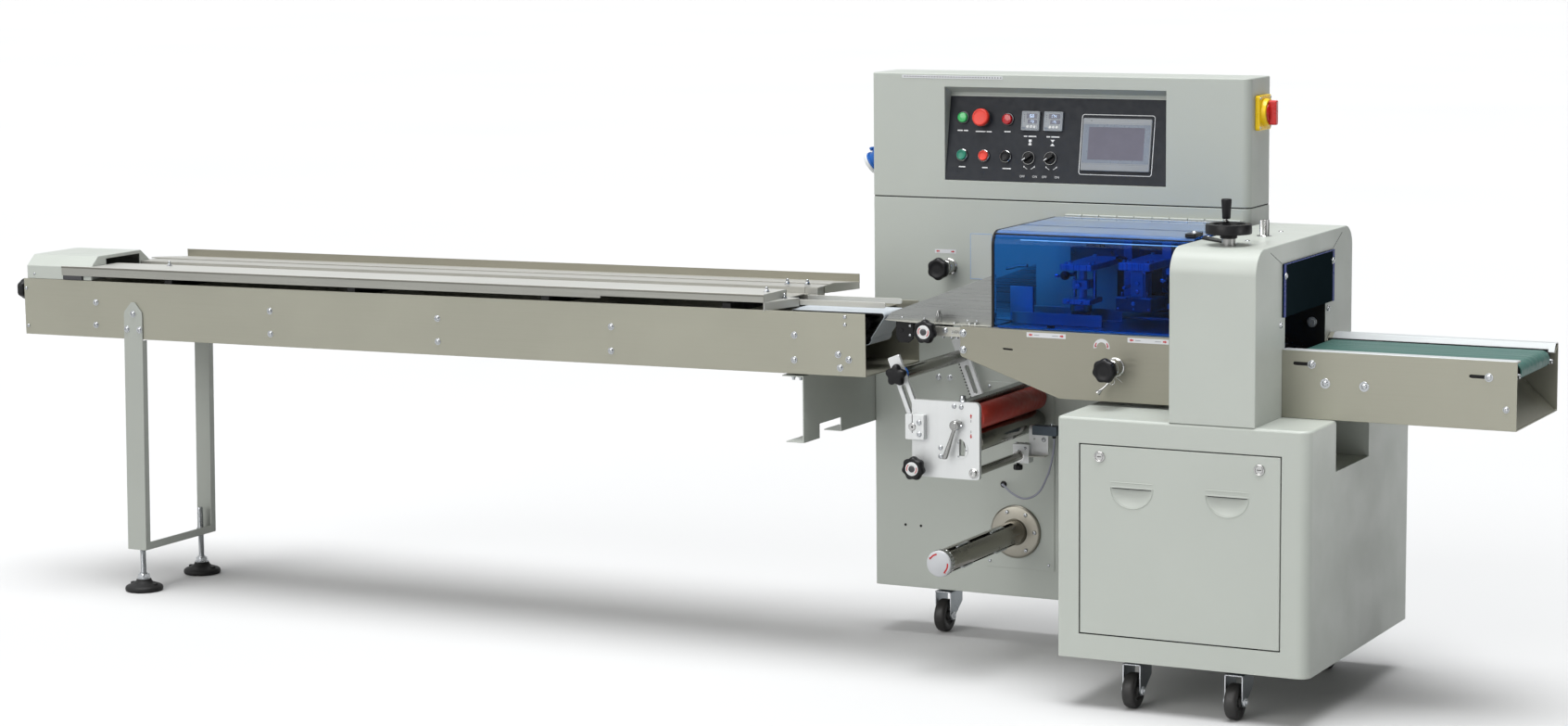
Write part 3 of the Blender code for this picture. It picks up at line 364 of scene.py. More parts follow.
def rounded(x, y, radii, steps=8):
    """Rectangle outline with a radius at each corner: low-low, high-low, high-high, low-high."""
    if not hasattr(radii, "__len__"):
        radii = (radii,) * 4
    corners = ((x[0], y[0], 180), (x[1], y[0], 270), (x[1], y[1], 0), (x[0], y[1], 90))
    points = []
    for (cx, cy, start), r in zip(corners, radii):
        if r <= 0:
            points.append((cx, cy))
            continue
        ox = cx + (r if start in (180, 90) else -r)
        oy = cy + (r if start in (180, 270) else -r)
        for k in range(steps + 1):
            a = math.radians(start + 90.0 * k / steps)
            points.append((ox + r * math.cos(a), oy + r * math.sin(a)))
    return points


def folded(points, t):
    """Outline of a bent sheet: the polyline and its copy offset by t to its left."""
    pts = [Vector(p) for p in points]
    side = []
    for i, p in enumerate(pts):
        d0 = (p - pts[i - 1]).normalized() if i else None
        d1 = (pts[i + 1] - p).normalized() if i + 1 < len(pts) else None
        n0 = Vector((-d0.y, d0.x)) if d0 else None
        n1 = Vector((-d1.y, d1.x)) if d1 else None
        if d0 is None:
            side.append(p + n1 * t)
        elif d1 is None:
            side.append(p + n0 * t)
        else:
            m = (n0 + n1).normalized()
            side.append(p + m * (t / max(0.2, m.dot(n1))))
    return [tuple(p) for p in pts] + [tuple(p) for p in reversed(side)]


def turned(direction, centre, profile, n=40, bored=False, phase=0.0):
    """A body turned about a line. profile: (radius, station) or (radius, station, shape), shape(angle) scaling the radius."""
    bm = bmesh.new()
    d = Vector(direction).normalized()
    e1 = Vector((1, 0, 0)) if abs(d.z) > 0.9 else d.cross(Vector((0, 0, 1))).cross(d)
    e1.normalize()
    e2 = d.cross(e1)
    c = Vector(centre)
    rings = []
    for item in profile:
        r, s = item[0], item[1]
        shape = item[2] if len(item) > 2 else None
        if r < 1e-9:
            rings.append([bm.verts.new(c + d * s)])
            continue
        ring = []
        for k in range(n):
            a = 2.0 * math.pi * (k + phase) / n
            rr = r * shape(a) if shape else r
            ring.append(bm.verts.new(c + d * s + (e1 * math.cos(a) + e2 * math.sin(a)) * rr))
        rings.append(ring)
    pairs = list(zip(rings, rings[1:]))
    if bored:
        pairs.append((rings[-1], rings[0]))
    for a, b in pairs:
        for k in range(n):
            j = (k + 1) % n
            if len(a) == 1 and len(b) == 1:
                break
            if len(a) == 1:
                bm.faces.new((a[0], b[k], b[j]))
            elif len(b) == 1:
                bm.faces.new((a[k], a[j], b[0]))
            else:
                bm.faces.new((a[k], a[j], b[j], b[k]))
    if not bored:
        for end in (rings[0], rings[-1]):
            if len(end) > 1:
                bm.faces.new(end)
    bmesh.ops.recalc_face_normals(bm, faces=bm.faces[:])
    return bm


def rod(direction, centre, r, a, b, n=32, edge=0.0):
    """A round bar from station a to b, with its rims broken by edge."""
    if edge <= 0:
        return turned(direction, centre, [(r, a), (r, b)], n)
    return turned(direction, centre, [(r - edge, a), (r, a + edge), (r, b - edge), (r - edge, b)], n)


def stadium(a, b, r, steps=10):
    """Outline of a bar with round ends between two points of a plane."""
    a, b = Vector(a), Vector(b)
    d = (b - a).normalized()
    base = math.atan2(d.y, d.x)
    points = []
    for centre, start in ((b, base - math.pi / 2), (a, base + math.pi / 2)):
        for k in range(steps + 1):
            t = start + math.pi * k / steps
            points.append((centre.x + r * math.cos(t), centre.y + r * math.sin(t)))
    return points


def tube(points, r, n=12, taper=None):
    """A round bar along a line of points."""
    pts = [Vector(p) for p in points]
    bm = bmesh.new()
    t0 = (pts[1] - pts[0]).normalized()
    side = t0.orthogonal().normalized()
    rings = []
    for i, p in enumerate(pts):
        if i == 0:
            t = t0
        elif i == len(pts) - 1:
            t = (p - pts[i - 1]).normalized()
        else:
            t = ((p - pts[i - 1]).normalized() + (pts[i + 1] - p).normalized()).normalized()
        side = (side - t * side.dot(t)).normalized()
        up = t.cross(side)
        rr = r if taper is None else r * taper(i / (len(pts) - 1))
        rings.append([bm.verts.new(p + (side * math.cos(2 * math.pi * k / n) + up * math.sin(2 * math.pi * k / n)) * rr)
                      for k in range(n)])
    for a, b in zip(rings, rings[1:]):
        for k in range(n):
            j = (k + 1) % n
            bm.faces.new((a[k], a[j], b[j], b[k]))
    bm.faces.new(rings[0])
    bm.faces.new(rings[-1])
    bmesh.ops.recalc_face_normals(bm, faces=bm.faces[:])
    return bm


def bends(points, radius, steps=6):
    """The polyline with its inner corners rounded."""
    pts = [Vector(p) for p in points]
    out = [pts[0]]
    for i in range(1, len(pts) - 1):
        a, b, c = pts[i - 1], pts[i], pts[i + 1]
        u, v = (a - b).normalized(), (c - b).normalized()
        cut = min(radius, (a - b).length * 0.49, (c - b).length * 0.49)
        p, q = b + u * cut, b + v * cut
        for k in range(steps + 1):
            f = k / steps
            out.append(p.lerp(b, f).lerp(b.lerp(q, f), f))
    out.append(pts[-1])
    return out


def together(*meshes):
    """Several shapes in one mesh."""
    out = bmesh.new()
    for bm in meshes:
        me = bpy.data.meshes.new("join")
        bm.to_mesh(me)
        bm.free()
        out.from_mesh(me)
        bpy.data.meshes.remove(me)
    return out


def _temp(bm):
    me = bpy.data.meshes.new("shape")
    bm.to_mesh(me)
    bm.free()
    ob = bpy.data.objects.new("shape", me)
    bpy.context.scene.collection.objects.link(ob)
    return ob


def carve(bm, *cutters, op="DIFFERENCE"):
    """The shape with the cutters taken out of it, or joined to it."""
    ob = _temp(bm)
    tools = [_temp(c) for c in cutters]
    for tl in tools:
        mod = ob.modifiers.new("cut", "BOOLEAN")
        mod.operation = op
        mod.solver = "EXACT"
        mod.object = tl
    bpy.context.view_layer.update()
    dg = bpy.context.evaluated_depsgraph_get()
    me = bpy.data.meshes.new_from_object(ob.evaluated_get(dg))
    out = bmesh.new()
    out.from_mesh(me)
    bpy.data.meshes.remove(me)
    for o in [ob] + tools:
        data = o.data
        bpy.data.objects.remove(o, do_unlink=True)
        bpy.data.meshes.remove(data)
    bmesh.ops.remove_doubles(out, verts=out.verts[:], dist=1e-6)
    bmesh.ops.dissolve_limit(out, angle_limit=math.radians(0.4), verts=out.verts[:], edges=out.edges[:])
    return out


def put(name, bm, mat, body="frame", tilt=False, bevel=0.0, seg=2, angle=30.0, smooth=35.0, xf=None, replaces=()):
    """A finished piece: shifted into the part's frame, its edges broken, riding on a body."""
    if xf is not None:
        bm.transform(xf)
    if tilt:
        bm.transform(TILT)
    bm.transform(Matrix.Translation(OFF))
    me = bpy.data.meshes.new(name)
    bm.to_mesh(me)
    bm.free()
    ob = bpy.data.objects.new(name, me)
    bpy.context.scene.collection.objects.link(ob)
    me.materials.append(mat)
    me.shade_smooth()
    me.set_sharp_from_angle(angle=math.radians(smooth))
    if bevel > 0:
        mod = ob.modifiers.new("edges", "BEVEL")
        mod.width = bevel
        mod.segments = seg
        mod.limit_method = "ANGLE"
        mod.angle_limit = math.radians(angle)
        mod.use_clamp_overlap = True
        even = ob.modifiers.new("shading", "WEIGHTED_NORMAL")
        even.mode = "FACE_AREA"
        even.weight = 50
        even.keep_sharp = True
    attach(ob, body)
    if replaces:
        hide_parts(*([replaces] if isinstance(replaces, str) else replaces))
    return ob


def refine(node, mat, bevel=0.0010, seg=2, angle=30.0):
    """A CAD solid's own shape with its edges broken so that they catch the light."""
    src = frame["nodes"][node]
    bm = bmesh.new()
    bm.from_mesh(src.data)
    bmesh.ops.remove_doubles(bm, verts=bm.verts[:], dist=2e-5)
    bmesh.ops.dissolve_limit(bm, angle_limit=math.radians(0.4), verts=bm.verts[:], edges=bm.edges[:])
    bm.transform(Matrix.Translation(-OFF))
    return put(node + "_skin", bm, mat, src["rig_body"], bevel=bevel, seg=seg, angle=angle, replaces=node)


def hexed(a):
    return math.cos(math.pi / 6) / math.cos((a % (math.pi / 3)) - math.pi / 6)


def crossed(a):
    b = a % (math.pi / 2)
    b = min(b, math.pi / 2 - b)
    return 1.0 if b < 0.22 else max(0.30, 0.22 / math.sin(b))


def screw(at, d, r, kind="cross", washer=0.0, tall=0.55):
    """A screw head on a face: domed, with a driver recess, and a washer if given its radius."""
    w = 0.0012 if washer else 0.0
    h = r * tall
    parts = []
    if washer:
        parts.append(turned(d, at, [(washer, -0.0006), (washer, w - 0.0003), (washer - 0.0003, w), (0.0, w)], 28))
    if kind == "hexhead":
        parts.append(turned(d, at, [(r, w - 0.0006, hexed), (r, w + h * 1.1, hexed), (r * 0.86, w + h * 1.3), (0.0, w + h * 1.3)], 24))
    elif kind == "cap":
        parts.append(turned(d, at, [(r, w - 0.0006), (r, w + r * 0.85), (r * 0.9, w + r), (r * 0.56, w + r, hexed),
                                    (r * 0.56, w + r * 0.45, hexed), (0.0, w + r * 0.45)], 24))
    else:
        shape, rec = (crossed, 0.60) if kind == "cross" else (hexed, 0.50)
        parts.append(turned(d, at, [(r, w - 0.0006), (r, w + h * 0.25), (r * 0.93, w + h * 0.62), (r * 0.78, w + h * 0.90),
                                    (r * 0.66, w + h), (r * rec, w + h, shape), (r * rec * 0.86, w + h * 0.42, shape),
                                    (0.0, w + h * 0.36)], 32))
    return together(*parts)


def screws(name, items, mat=None, body="frame", tilt=False):
    return put(name, together(*[screw(*i[:3], **(i[3] if len(i) > 3 else {})) for i in items]), mat or ZINC, body,
               tilt=tilt, smooth=32)


def lobed(count, depth, sharp=1.0):
    """Radius factor of a lobed grip."""
    def shape(a):
        c = 0.5 + 0.5 * math.cos(count * a)
        return 1.0 - depth * (1.0 - c ** sharp)
    return shape


X, Y, Z = (1, 0, 0), (0, 1, 0), (0, 0, 1)


def plane(origin, u, v):
    """Matrix that lays a drawing (u, v, outward) on a plane of the machine."""
    u, v = Vector(u), Vector(v)
    m = Matrix((u, v, u.cross(v))).transposed().to_4x4()
    m.translation = Vector(origin)
    return m


def on_front(y):
    return plane((0, y, 0), X, Z)


def on_right(x):
    return plane((x, 0, 0), Y, Z)


def on_back(y):
    return plane((0, y, 0), (-1, 0, 0), Z)


PANEL_UP = (0.0, 0.17724, 0.98417)
PANEL_OUT = (0.0, -0.98417, 0.17724)
ON_PANEL = plane((0.0, 0.289, 1.181), X, PANEL_UP)


def flat(points, t, base=0.0):
    return prism("z", points, base, base + t)


def circle(c, r, n=32):
    return [(c[0] + r * math.cos(2 * math.pi * k / n), c[1] + r * math.sin(2 * math.pi * k / n)) for k in range(n)]


def bar(a, b, w):
    """Outline of a straight bar of width w between two points."""
    a, b = Vector(a), Vector(b)
    d = (b - a).normalized()
    n = Vector((-d.y, d.x)) * (w / 2)
    return [tuple(a + n), tuple(a - n), tuple(b - n), tuple(b + n)]


def band(outer, inner, t, base=0.0):
    """Flat ring between two outlines with the same number of points."""
    bm = bmesh.new()
    o0, i0, o1, i1 = [[bm.verts.new((p[0], p[1], z)) for p in line] for z in (base, base + t) for line in (outer, inner)]
    n = len(outer)
    for k in range(n):
        j = (k + 1) % n
        for face in ((o1[k], o1[j], i1[j], i1[k]), (i0[k], i0[j], o0[j], o0[k]), (o0[k], o0[j], o1[j], o1[k]),
                     (i1[k], i1[j], i0[j], i0[k])):
            bm.faces.new(face)
    bmesh.ops.recalc_face_normals(bm, faces=bm.faces[:])
    return bm


def sector(c, r0, r1, a0, a1, steps=18):
    """Outline of an arc band, angles in degrees."""
    out = []
    for r, order in ((r1, range(steps + 1)), (r0, range(steps, -1, -1))):
        for k in order:
            a = math.radians(a0 + (a1 - a0) * k / steps)
            out.append((c[0] + r * math.cos(a), c[1] + r * math.sin(a)))
    return out


def arrow(tip, angle, length=0.012, head=0.006, wide=0.007, shaft=0.003):
    """Outline of an arrow that ends at tip and points at angle degrees."""
    shape = ((0, 0), (-head, wide / 2), (-head, shaft / 2), (-length, shaft / 2), (-length, -shaft / 2),
             (-head, -shaft / 2), (-head, -wide / 2))
    c, s = math.cos(math.radians(angle)), math.sin(math.radians(angle))
    return [(tip[0] + x * c - y * s, tip[1] + x * s + y * c) for x, y in shape]


def inset(points, t):
    """A closed outline (counter-clockwise) moved inward by t, which may be a function of the point's number."""
    out = []
    n = len(points)
    for i in range(n):
        p0, p1, p2 = Vector(points[i - 1]), Vector(points[i]), Vector(points[(i + 1) % n])
        d0, d1 = (p1 - p0).normalized(), (p2 - p1).normalized()
        n0, n1 = Vector((-d0.y, d0.x)), Vector((-d1.y, d1.x))
        m = (n0 + n1).normalized()
        out.append(tuple(p1 + m * ((t(i) if callable(t) else t) / max(0.4, m.dot(n1)))))
    return out


def resampled(points, step):
    """A closed outline with points about a step apart."""
    out = []
    for i in range(len(points)):
        a, b = Vector(points[i]), Vector(points[(i + 1) % len(points)])
        k = max(1, round((b - a).length / step))
        out += [tuple(a.lerp(b, j / k)) for j in range(k)]
    return out


def soften(bm, pick, width, seg=4):
    """Rounds the edges whose middle and direction pick accepts."""
    edges = []
    for e in bm.edges:
        a, b = e.verts[0].co, e.verts[1].co
        if len(e.link_faces) == 2 and e.calc_face_angle(0.0) > 0.4 and pick((a + b) / 2, (b - a).normalized()):
            edges.append(e)
    bmesh.ops.bevel(bm, geom=edges, offset=width, offset_type="OFFSET", segments=seg, profile=0.5, affect="EDGES",
                    clamp_overlap=True)
    return bm


def threaded(direction, centre, r, a, b, pitch=0.0020, n=18):
    """A screw thread drawn as closely stacked ridges."""
    profile, s = [(r * 0.90, a)], a
    while s < b - pitch:
        profile += [(r, s + pitch * 0.30), (r, s + pitch * 0.55), (r * 0.89, s + pitch * 0.95)]
        s += pitch
    profile.append((r * 0.88, b))
    return turned(direction, centre, profile, n)


def nut(direction, centre, r, a, b, bore):
    """A hexagon nut with chamfered corners round a rod."""
    e = min(0.0012, (b - a) * 0.2)
    return turned(direction, centre, [(bore, a), (r * 0.90, a), (r, a + e, hexed), (r, b - e, hexed), (r * 0.90, b), (bore, b)],
                  36, bored=True)


def lettering(text, size, t):
    """Plain raised letters or figures, centred, as a mesh drawn in (u, v)."""
    cu = bpy.data.curves.new("letters", "FONT")
    cu.body = text
    cu.size = size
    cu.align_x = "CENTER"
    cu.align_y = "CENTER"
    cu.extrude = t / 2
    cu.resolution_u = 3
    ob = bpy.data.objects.new("letters", cu)
    bpy.context.scene.collection.objects.link(ob)
    bpy.context.view_layer.update()
    me = bpy.data.meshes.new_from_object(ob.evaluated_get(bpy.context.evaluated_depsgraph_get()))
    bm = bmesh.new()
    bm.from_mesh(me)
    bpy.data.objects.remove(ob, do_unlink=True)
    bpy.data.meshes.remove(me)
    bpy.data.curves.remove(cu)
    bmesh.ops.remove_doubles(bm, verts=bm.verts[:], dist=1e-7)
    return bm


SEGMENTS = {"0": "abcdef", "1": "bc", "2": "abged", "3": "abgcd", "4": "fgbc", "5": "afgcd", "6": "afgedc", "7": "abc",
            "8": "abcdefg", "9": "abcdfg"}


def figures(text, at, height, t):
    """Seven-segment figures, drawn in (u, v)."""
    w, gap, bold = height * 0.52, height * 0.24, height * 0.13
    parts = []
    for k, digit in enumerate(text):
        x0, z0, h = at[0] + k * (w + gap), at[1], height / 2
        lines = {"a": ((x0, z0 + 2 * h), (x0 + w, z0 + 2 * h)), "g": ((x0, z0 + h), (x0 + w, z0 + h)),
                 "d": ((x0, z0), (x0 + w, z0)), "f": ((x0, z0 + h), (x0, z0 + 2 * h)), "e": ((x0, z0), (x0, z0 + h)),
                 "b": ((x0 + w, z0 + h), (x0 + w, z0 + 2 * h)), "c": ((x0 + w, z0), (x0 + w, z0 + h))}
        for s in SEGMENTS[digit]:
            a, b = Vector(lines[s][0]), Vector(lines[s][1])
            d = (b - a).normalized() * bold * 0.6
            parts.append(flat(bar(a + d, b - d, bold), t))
    return together(*parts)


def moved(bm, *offset):
    bm.transform(Matrix.Translation(Vector(offset)))
    return bm


def hand_knob(node, at, d, start, r, count, depth=0.10, sharp=1.0, phase=0.0, mat=None):
    """The lobed head of a hand knob, its underside at start along d."""
    h = r * 0.82
    full, half = lobed(count, depth, sharp), lobed(count, depth * 0.5, sharp)
    prof = [(r * 0.38, start - 0.0015), (r * 0.58, start), (r * 0.84, start + h * 0.05, half), (r * 0.955, start + h * 0.15, full),
            (r, start + h * 0.36, full), (r, start + h * 0.60, full), (r * 0.97, start + h * 0.78, full),
            (r * 0.90, start + h * 0.92, full), (r * 0.80, start + h * 0.99, half), (r * 0.70, start + h),
            (r * 0.63, start + h * 0.985), (r * 0.59, start + h * 0.935), (r * 0.30, start + h * 0.94), (0.0, start + h * 0.945)]
    return put(node + "_head", turned(d, at, prof, count * 18, phase=phase), mat or BLACK, node, smooth=48, replaces=node)


# ------------------------------------------------- camera, floor and light
def camera():
    yaw, pitch, roll = math.radians(27.422), math.radians(7.851), math.radians(-0.591)
    back = Vector((math.sin(yaw) * math.cos(pitch), -math.cos(yaw) * math.cos(pitch), math.sin(pitch)))
    right = (-back).cross(Vector((0, 0, 1))).normalized()
    up = right.cross(-back)
    r2 = right * math.cos(roll) + up * math.sin(roll)
    u2 = -right * math.sin(roll) + up * math.cos(roll)
    data = bpy.data.cameras.new("camera")
    data.sensor_fit = "HORIZONTAL"
    data.sensor_width = 36.0
    data.lens = 3761.52 * 36.0 / 1692.0
    data.clip_end = 300.0
    cam = bpy.data.objects.new("camera", data)
    bpy.context.scene.collection.objects.link(cam)
    m = Matrix((r2, u2, back)).transposed().to_4x4()
    m.translation = Vector((4.443, -7.736, 1.933)) + OFF
    cam.matrix_world = m
    bpy.context.scene.camera = cam


def sun(name, toward, strength, angle, colour):
    data = bpy.data.lights.new(name, "SUN")
    data.energy = strength
    data.angle = math.radians(angle)
    data.color = colour
    ob = bpy.data.objects.new(name, data)
    bpy.context.scene.collection.objects.link(ob)
    ob.rotation_euler = (-Vector(toward)).to_track_quat("-Z", "Y").to_euler()


def studio():
    bm = bmesh.new()
    bmesh.ops.create_grid(bm, x_segments=8, y_segments=8, size=120.0)
    me = bpy.data.meshes.new("floor")
    bm.to_mesh(me)
    bm.free()
    ob = bpy.data.objects.new("floor", me)
    ob.location = (0, 0, -0.0006)
    bpy.context.scene.collection.objects.link(ob)
    t = Tree("studio_floor")
    cloud = t.noise(0.35, detail=2.0)
    col = t.shades(cloud, [(0.3, (0.50, 0.50, 0.50)), (0.7, (0.515, 0.515, 0.515))])
    me.materials.append(t.set(color=col, rough=0.75, spec=0.2))
    world = bpy.data.worlds.new("studio")
    bpy.context.scene.world = world
    world.use_nodes = True
    tree = world.node_tree
    ground = tree.nodes["Background"]
    coord = tree.nodes.new("ShaderNodeTexCoord")
    split = tree.nodes.new("ShaderNodeSeparateXYZ")
    tree.links.new(coord.outputs["Generated"], split.inputs["Vector"])
    fade = tree.nodes.new("ShaderNodeMapRange")
    fade.interpolation_type = "SMOOTHSTEP"
    for key, value in (("From Min", -0.35), ("From Max", 0.75), ("To Min", 0.75), ("To Max", 0.08)):
        fade.inputs[key].default_value = value
    tree.links.new(split.outputs["X"], fade.inputs["Value"])
    tree.links.new(fade.outputs["Result"], ground.inputs["Strength"])
    ground.inputs["Color"].default_value = (0.98, 0.99, 1.0, 1.0)
    sun("key", (-0.28, -0.85, 0.45), 1.25, 40.0, (1.0, 0.99, 0.97))
    sun("top", (0.02, -0.12, 0.99), 4.25, 40.0, (0.98, 0.99, 1.0))
    sun("fill", (0.25, -0.95, 0.20), 0.20, 60.0, (1.0, 1.0, 1.0))
    accent = bpy.data.lights.new("accent", "SPOT")
    accent.energy = 70.0
    accent.spot_size = math.radians(26.0)
    accent.spot_blend = 1.0
    accent.shadow_soft_size = 0.30
    lamp = bpy.data.objects.new("accent", accent)
    bpy.context.scene.collection.objects.link(lamp)
    at, to = Vector((3.70, -0.55, 1.45)), Vector((1.79, -0.17, 0.92))
    lamp.location = at + OFF
    lamp.rotation_euler = (to - at).to_track_quat("-Z", "Y").to_euler()
    view = bpy.context.scene.view_settings
    view.view_transform = "Standard"
    view.look = "None"


camera()
studio()

# ------------------------------------------------------------ sensor cable
ROUTE = ((1.0945, 0.1730, 0.5629), (1.0945, 0.1735, 0.5480), (1.0900, 0.1760, 0.5150), (1.0740, 0.1830, 0.4640),
         (1.0420, 0.1970, 0.4120), (0.9950, 0.2200, 0.3890), (0.9480, 0.2470, 0.3950), (0.9180, 0.2690, 0.4070),
         (0.9072, 0.2770, 0.4092), (0.9070, 0.2880, 0.4090))


def smooth_route(points, count):
    """Evenly spread points of a Catmull-Rom curve through the route."""
    pts = [Vector(p) for p in points]
    pts = [pts[0] * 2 - pts[1]] + pts + [pts[-1] * 2 - pts[-2]]
    fine = []
    for i in range(1, len(pts) - 2):
        p0, p1, p2, p3 = pts[i - 1:i + 3]
        for k in range(20):
            t = k / 20.0
            fine.append(0.5 * (2 * p1 + (p2 - p0) * t + (2 * p0 - 5 * p1 + 4 * p2 - p3) * t * t
                               + (3 * p1 - p0 - 3 * p2 + p3) * t ** 3))
    fine.append(pts[-2])
    length = [0.0]
    for a, b in zip(fine, fine[1:]):
        length.append(length[-1] + (b - a).length)
    out, j = [], 0
    for i in range(count):
        want = length[-1] * i / (count - 1)
        while j + 2 < len(length) and length[j + 1] < want:
            j += 1
        f = (want - length[j]) / (length[j + 1] - length[j])
        out.append(fine[j].lerp(fine[j + 1], f))
    return out


stations = [p + OFF for p in smooth_route(ROUTE, 36)]
line = bpy.data.curves.new("sensor_lead", "CURVE")
line.dimensions = "3D"
line.bevel_depth = 0.0026
line.bevel_resolution = 3
line.use_fill_caps = True
spline = line.splines.new("POLY")
spline.points.add(len(stations) - 1)
for point, at in zip(spline.points, stations):
    point.co = (*at, 1.0)
lead = bpy.data.objects.new("sensor_lead", line)
bpy.context.scene.collection.objects.link(lead)
line.materials.append(CABLE)
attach(lead, "frame")
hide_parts("sensor_cable")

# ------------------------------------------------------- infeed conveyor
refine("infeed_frame", STEEL_X, 0.0006)
refine("infeed_hood", PAINT, 0.0016, seg=3)
refine("infeed_leg", PAINT_LEG, 0.0009)
refine("support_bracket", PAINT, 0.0008)

FEED_SCREWS = ((-1.648, 0.803), (-1.650, 0.740), (-1.063, 0.806), (-1.063, 0.744), (-0.529, 0.812), (-0.529, 0.751),
               (-0.004, 0.816), (-0.005, 0.754), (0.521, 0.821), (0.520, 0.759), (0.642, 0.779), (0.671, 0.767),
               (0.647, 0.746))
SMALL_SCREWS = ((-1.890, 0.832), (-1.887, 0.727), (0.661, 0.873), (0.661, 0.854))
TAB_SCREWS = ((-1.5193, 0.7765), (-1.5415, 0.7340), (-1.4990, 0.7335))
for side, y, d, strap in (("front", -0.1200, OUTWARD, -0.1235), ("rear", 0.1900, Y, 0.1965)):
    screws("infeed_screws_" + side,
           [((x, y, z), d, 0.0064, dict(washer=0.0090)) for x, z in FEED_SCREWS]
           + [((x, y, z), d, 0.0050) for x, z in SMALL_SCREWS])
    screws("leg_screws_" + side, [((x, strap, z), d, 0.0066, dict(washer=0.0094)) for x, z in TAB_SCREWS])
screws("hood_screws", [((x, y, 0.884), d, 0.0034) for x in (-1.860, -1.715) for y, d in ((-0.1180, OUTWARD), (0.1450, Y))],
       tilt=True)
screws("tail_plate_screws", [((-1.897, y, z), (-1, 0, 0), 0.0050) for y in (-0.030, 0.120) for z in (0.735, 0.845)], tilt=True)

# hexagon bolts that hold the table and the belt rails
bolts = []
for x, y, z in ((-1.460, -0.029, 0.9100), (0.4200, -0.0700, 0.9100), (0.4470, -0.0260, 0.8895), (0.3850, 0.1115, 0.9100),
                (0.4420, 0.1115, 0.9100)):
    bolts.append(turned(Z, (x, y, z), [(0.0085, -0.0005), (0.0085, 0.0010), (0.0062, 0.0012, hexed), (0.0062, 0.0056, hexed),
                                       (0.0052, 0.0064), (0.0036, 0.0066), (0.0036, 0.0125), (0.0030, 0.0132), (0.0, 0.0132)], 24))
put("table_bolts", together(*bolts), ZINC, tilt=True, smooth=32)

# closing strip at the tail of the ledge, dark as painted shade of the recess under it, and the bearers of the table
put("infeed_ledge_end_shade", together(block((-1.7570, -1.690), (-0.1222, -0.1182), (0.8722, 0.8848)),
                                 block((-1.692, -1.690), (-0.1222, -0.060), (0.8722, 0.8848))), DARK_STEEL, tilt=True, bevel=0.0003)
put("infeed_table_bearers", together(*[block((x - 0.012, x + 0.012), (-0.1165, 0.1865), (0.8580, 0.8836))
                                       for x in (-1.40, -0.80, -0.20, 0.33)]), DARK, tilt=True, bevel=0.0008)

# covers and closing plates at the machine end
put("infeed_deck", together(block((0.300, 0.655), (-0.1165, -0.0230), (0.8560, 0.8585)),
                            block((0.440, 0.655), (0.0990, 0.1865), (0.8560, 0.8585))), STEEL_TABLE, tilt=True, bevel=0.0004)
put("infeed_end_plate", together(
    prism("z", [(0.4380, -0.1240), (0.4402, -0.1248), (0.4758, -0.0012), (0.4736, -0.0004)], 0.8690, 0.8893),
    prism("z", [(0.4382, -0.1236), (0.4748, 0.0010), (0.4382, 0.0010)], 0.8880, 0.8897)), STEEL_SHELF, tilt=True, bevel=0.0004)
# rounded fold along the upper edge of the ledge, in a darker stainless: a painted shade line along the edge
put("infeed_ledge_fold", prism("x", [(-0.1256, 0.9046), (-0.1256, 0.9080), (-0.1249, 0.9094), (-0.1240, 0.9094), (-0.1240, 0.9046)], -1.7588, 0.4398), STEEL_FOLD_SHADED, tilt=True,
    bevel=0.0003)
# powder-coated end sheet of the hood, around its opening, in a lighter copy of the grey: painted light on the face
# turned to +X
end = prism("x", [(-0.1165, 0.8725), (-0.1165, 0.9068), (-0.0844, 0.9340), (0.1044, 0.9340), (0.1435, 0.9042), (0.1435, 0.8725)], -1.6621, -1.6614)
put("hood_end_sheet", carve(end, block((-1.70, -1.60), (-0.0505, 0.0990), (0.8, 0.9264))), PAINT_END_LIT, tilt=True)
# table: a front ledge, the two strips with the channel between them, and the shelf behind
put("infeed_ledge_face", together(block((-1.7590, -0.0300), (-0.1250, -0.1226), (0.8840, 0.9088)), block((-0.0302, 0.4400), (-0.1250, -0.1226), (0.8895, 0.9088))),
    STEEL_LEDGE, tilt=True, bevel=0.0004)
put("infeed_ledge_top", together(block((-1.7590, -1.6598), (-0.1250, -0.1201), (0.9076, 0.9100)), block((-1.6602, 0.4400), (-0.1250, -0.0020), (0.9076, 0.9100))),
    STEEL_SHELF, tilt=True, bevel=0.0005, replaces="infeed_table")
strips = folded([(-0.0020, 0.9098), (0.0000, 0.9090), (0.0000, 0.8880), (0.1000, 0.8880), (0.1000, 0.9050), (0.1860, 0.9050)], -0.0025)
put("infeed_table_strips", together(prism("x", strips, -1.6600, 0.4400), block((0.4398, 0.4780), (0.1030, 0.1860), (0.9026, 0.9050)),
                                    block((0.4398, 0.4757), (0.1012, 0.1410), (0.8790, 0.9028))), STEEL_REAR, tilt=True, bevel=0.0004)
put("infeed_table_end", block((0.4384, 0.4400), (-0.1226, -0.0010), (0.8886, 0.9080)), STEEL_SHELF, tilt=True, bevel=0.0003)
put("rear_shelf_floor", prism("x", folded([(0.1700, 0.9053), (0.1880, 0.9053), (0.3392, 0.8920)], 0.0022), -1.6750, 0.4780), STEEL_REAR, tilt=True, bevel=0.0004,
    replaces="infeed_guide_rear")
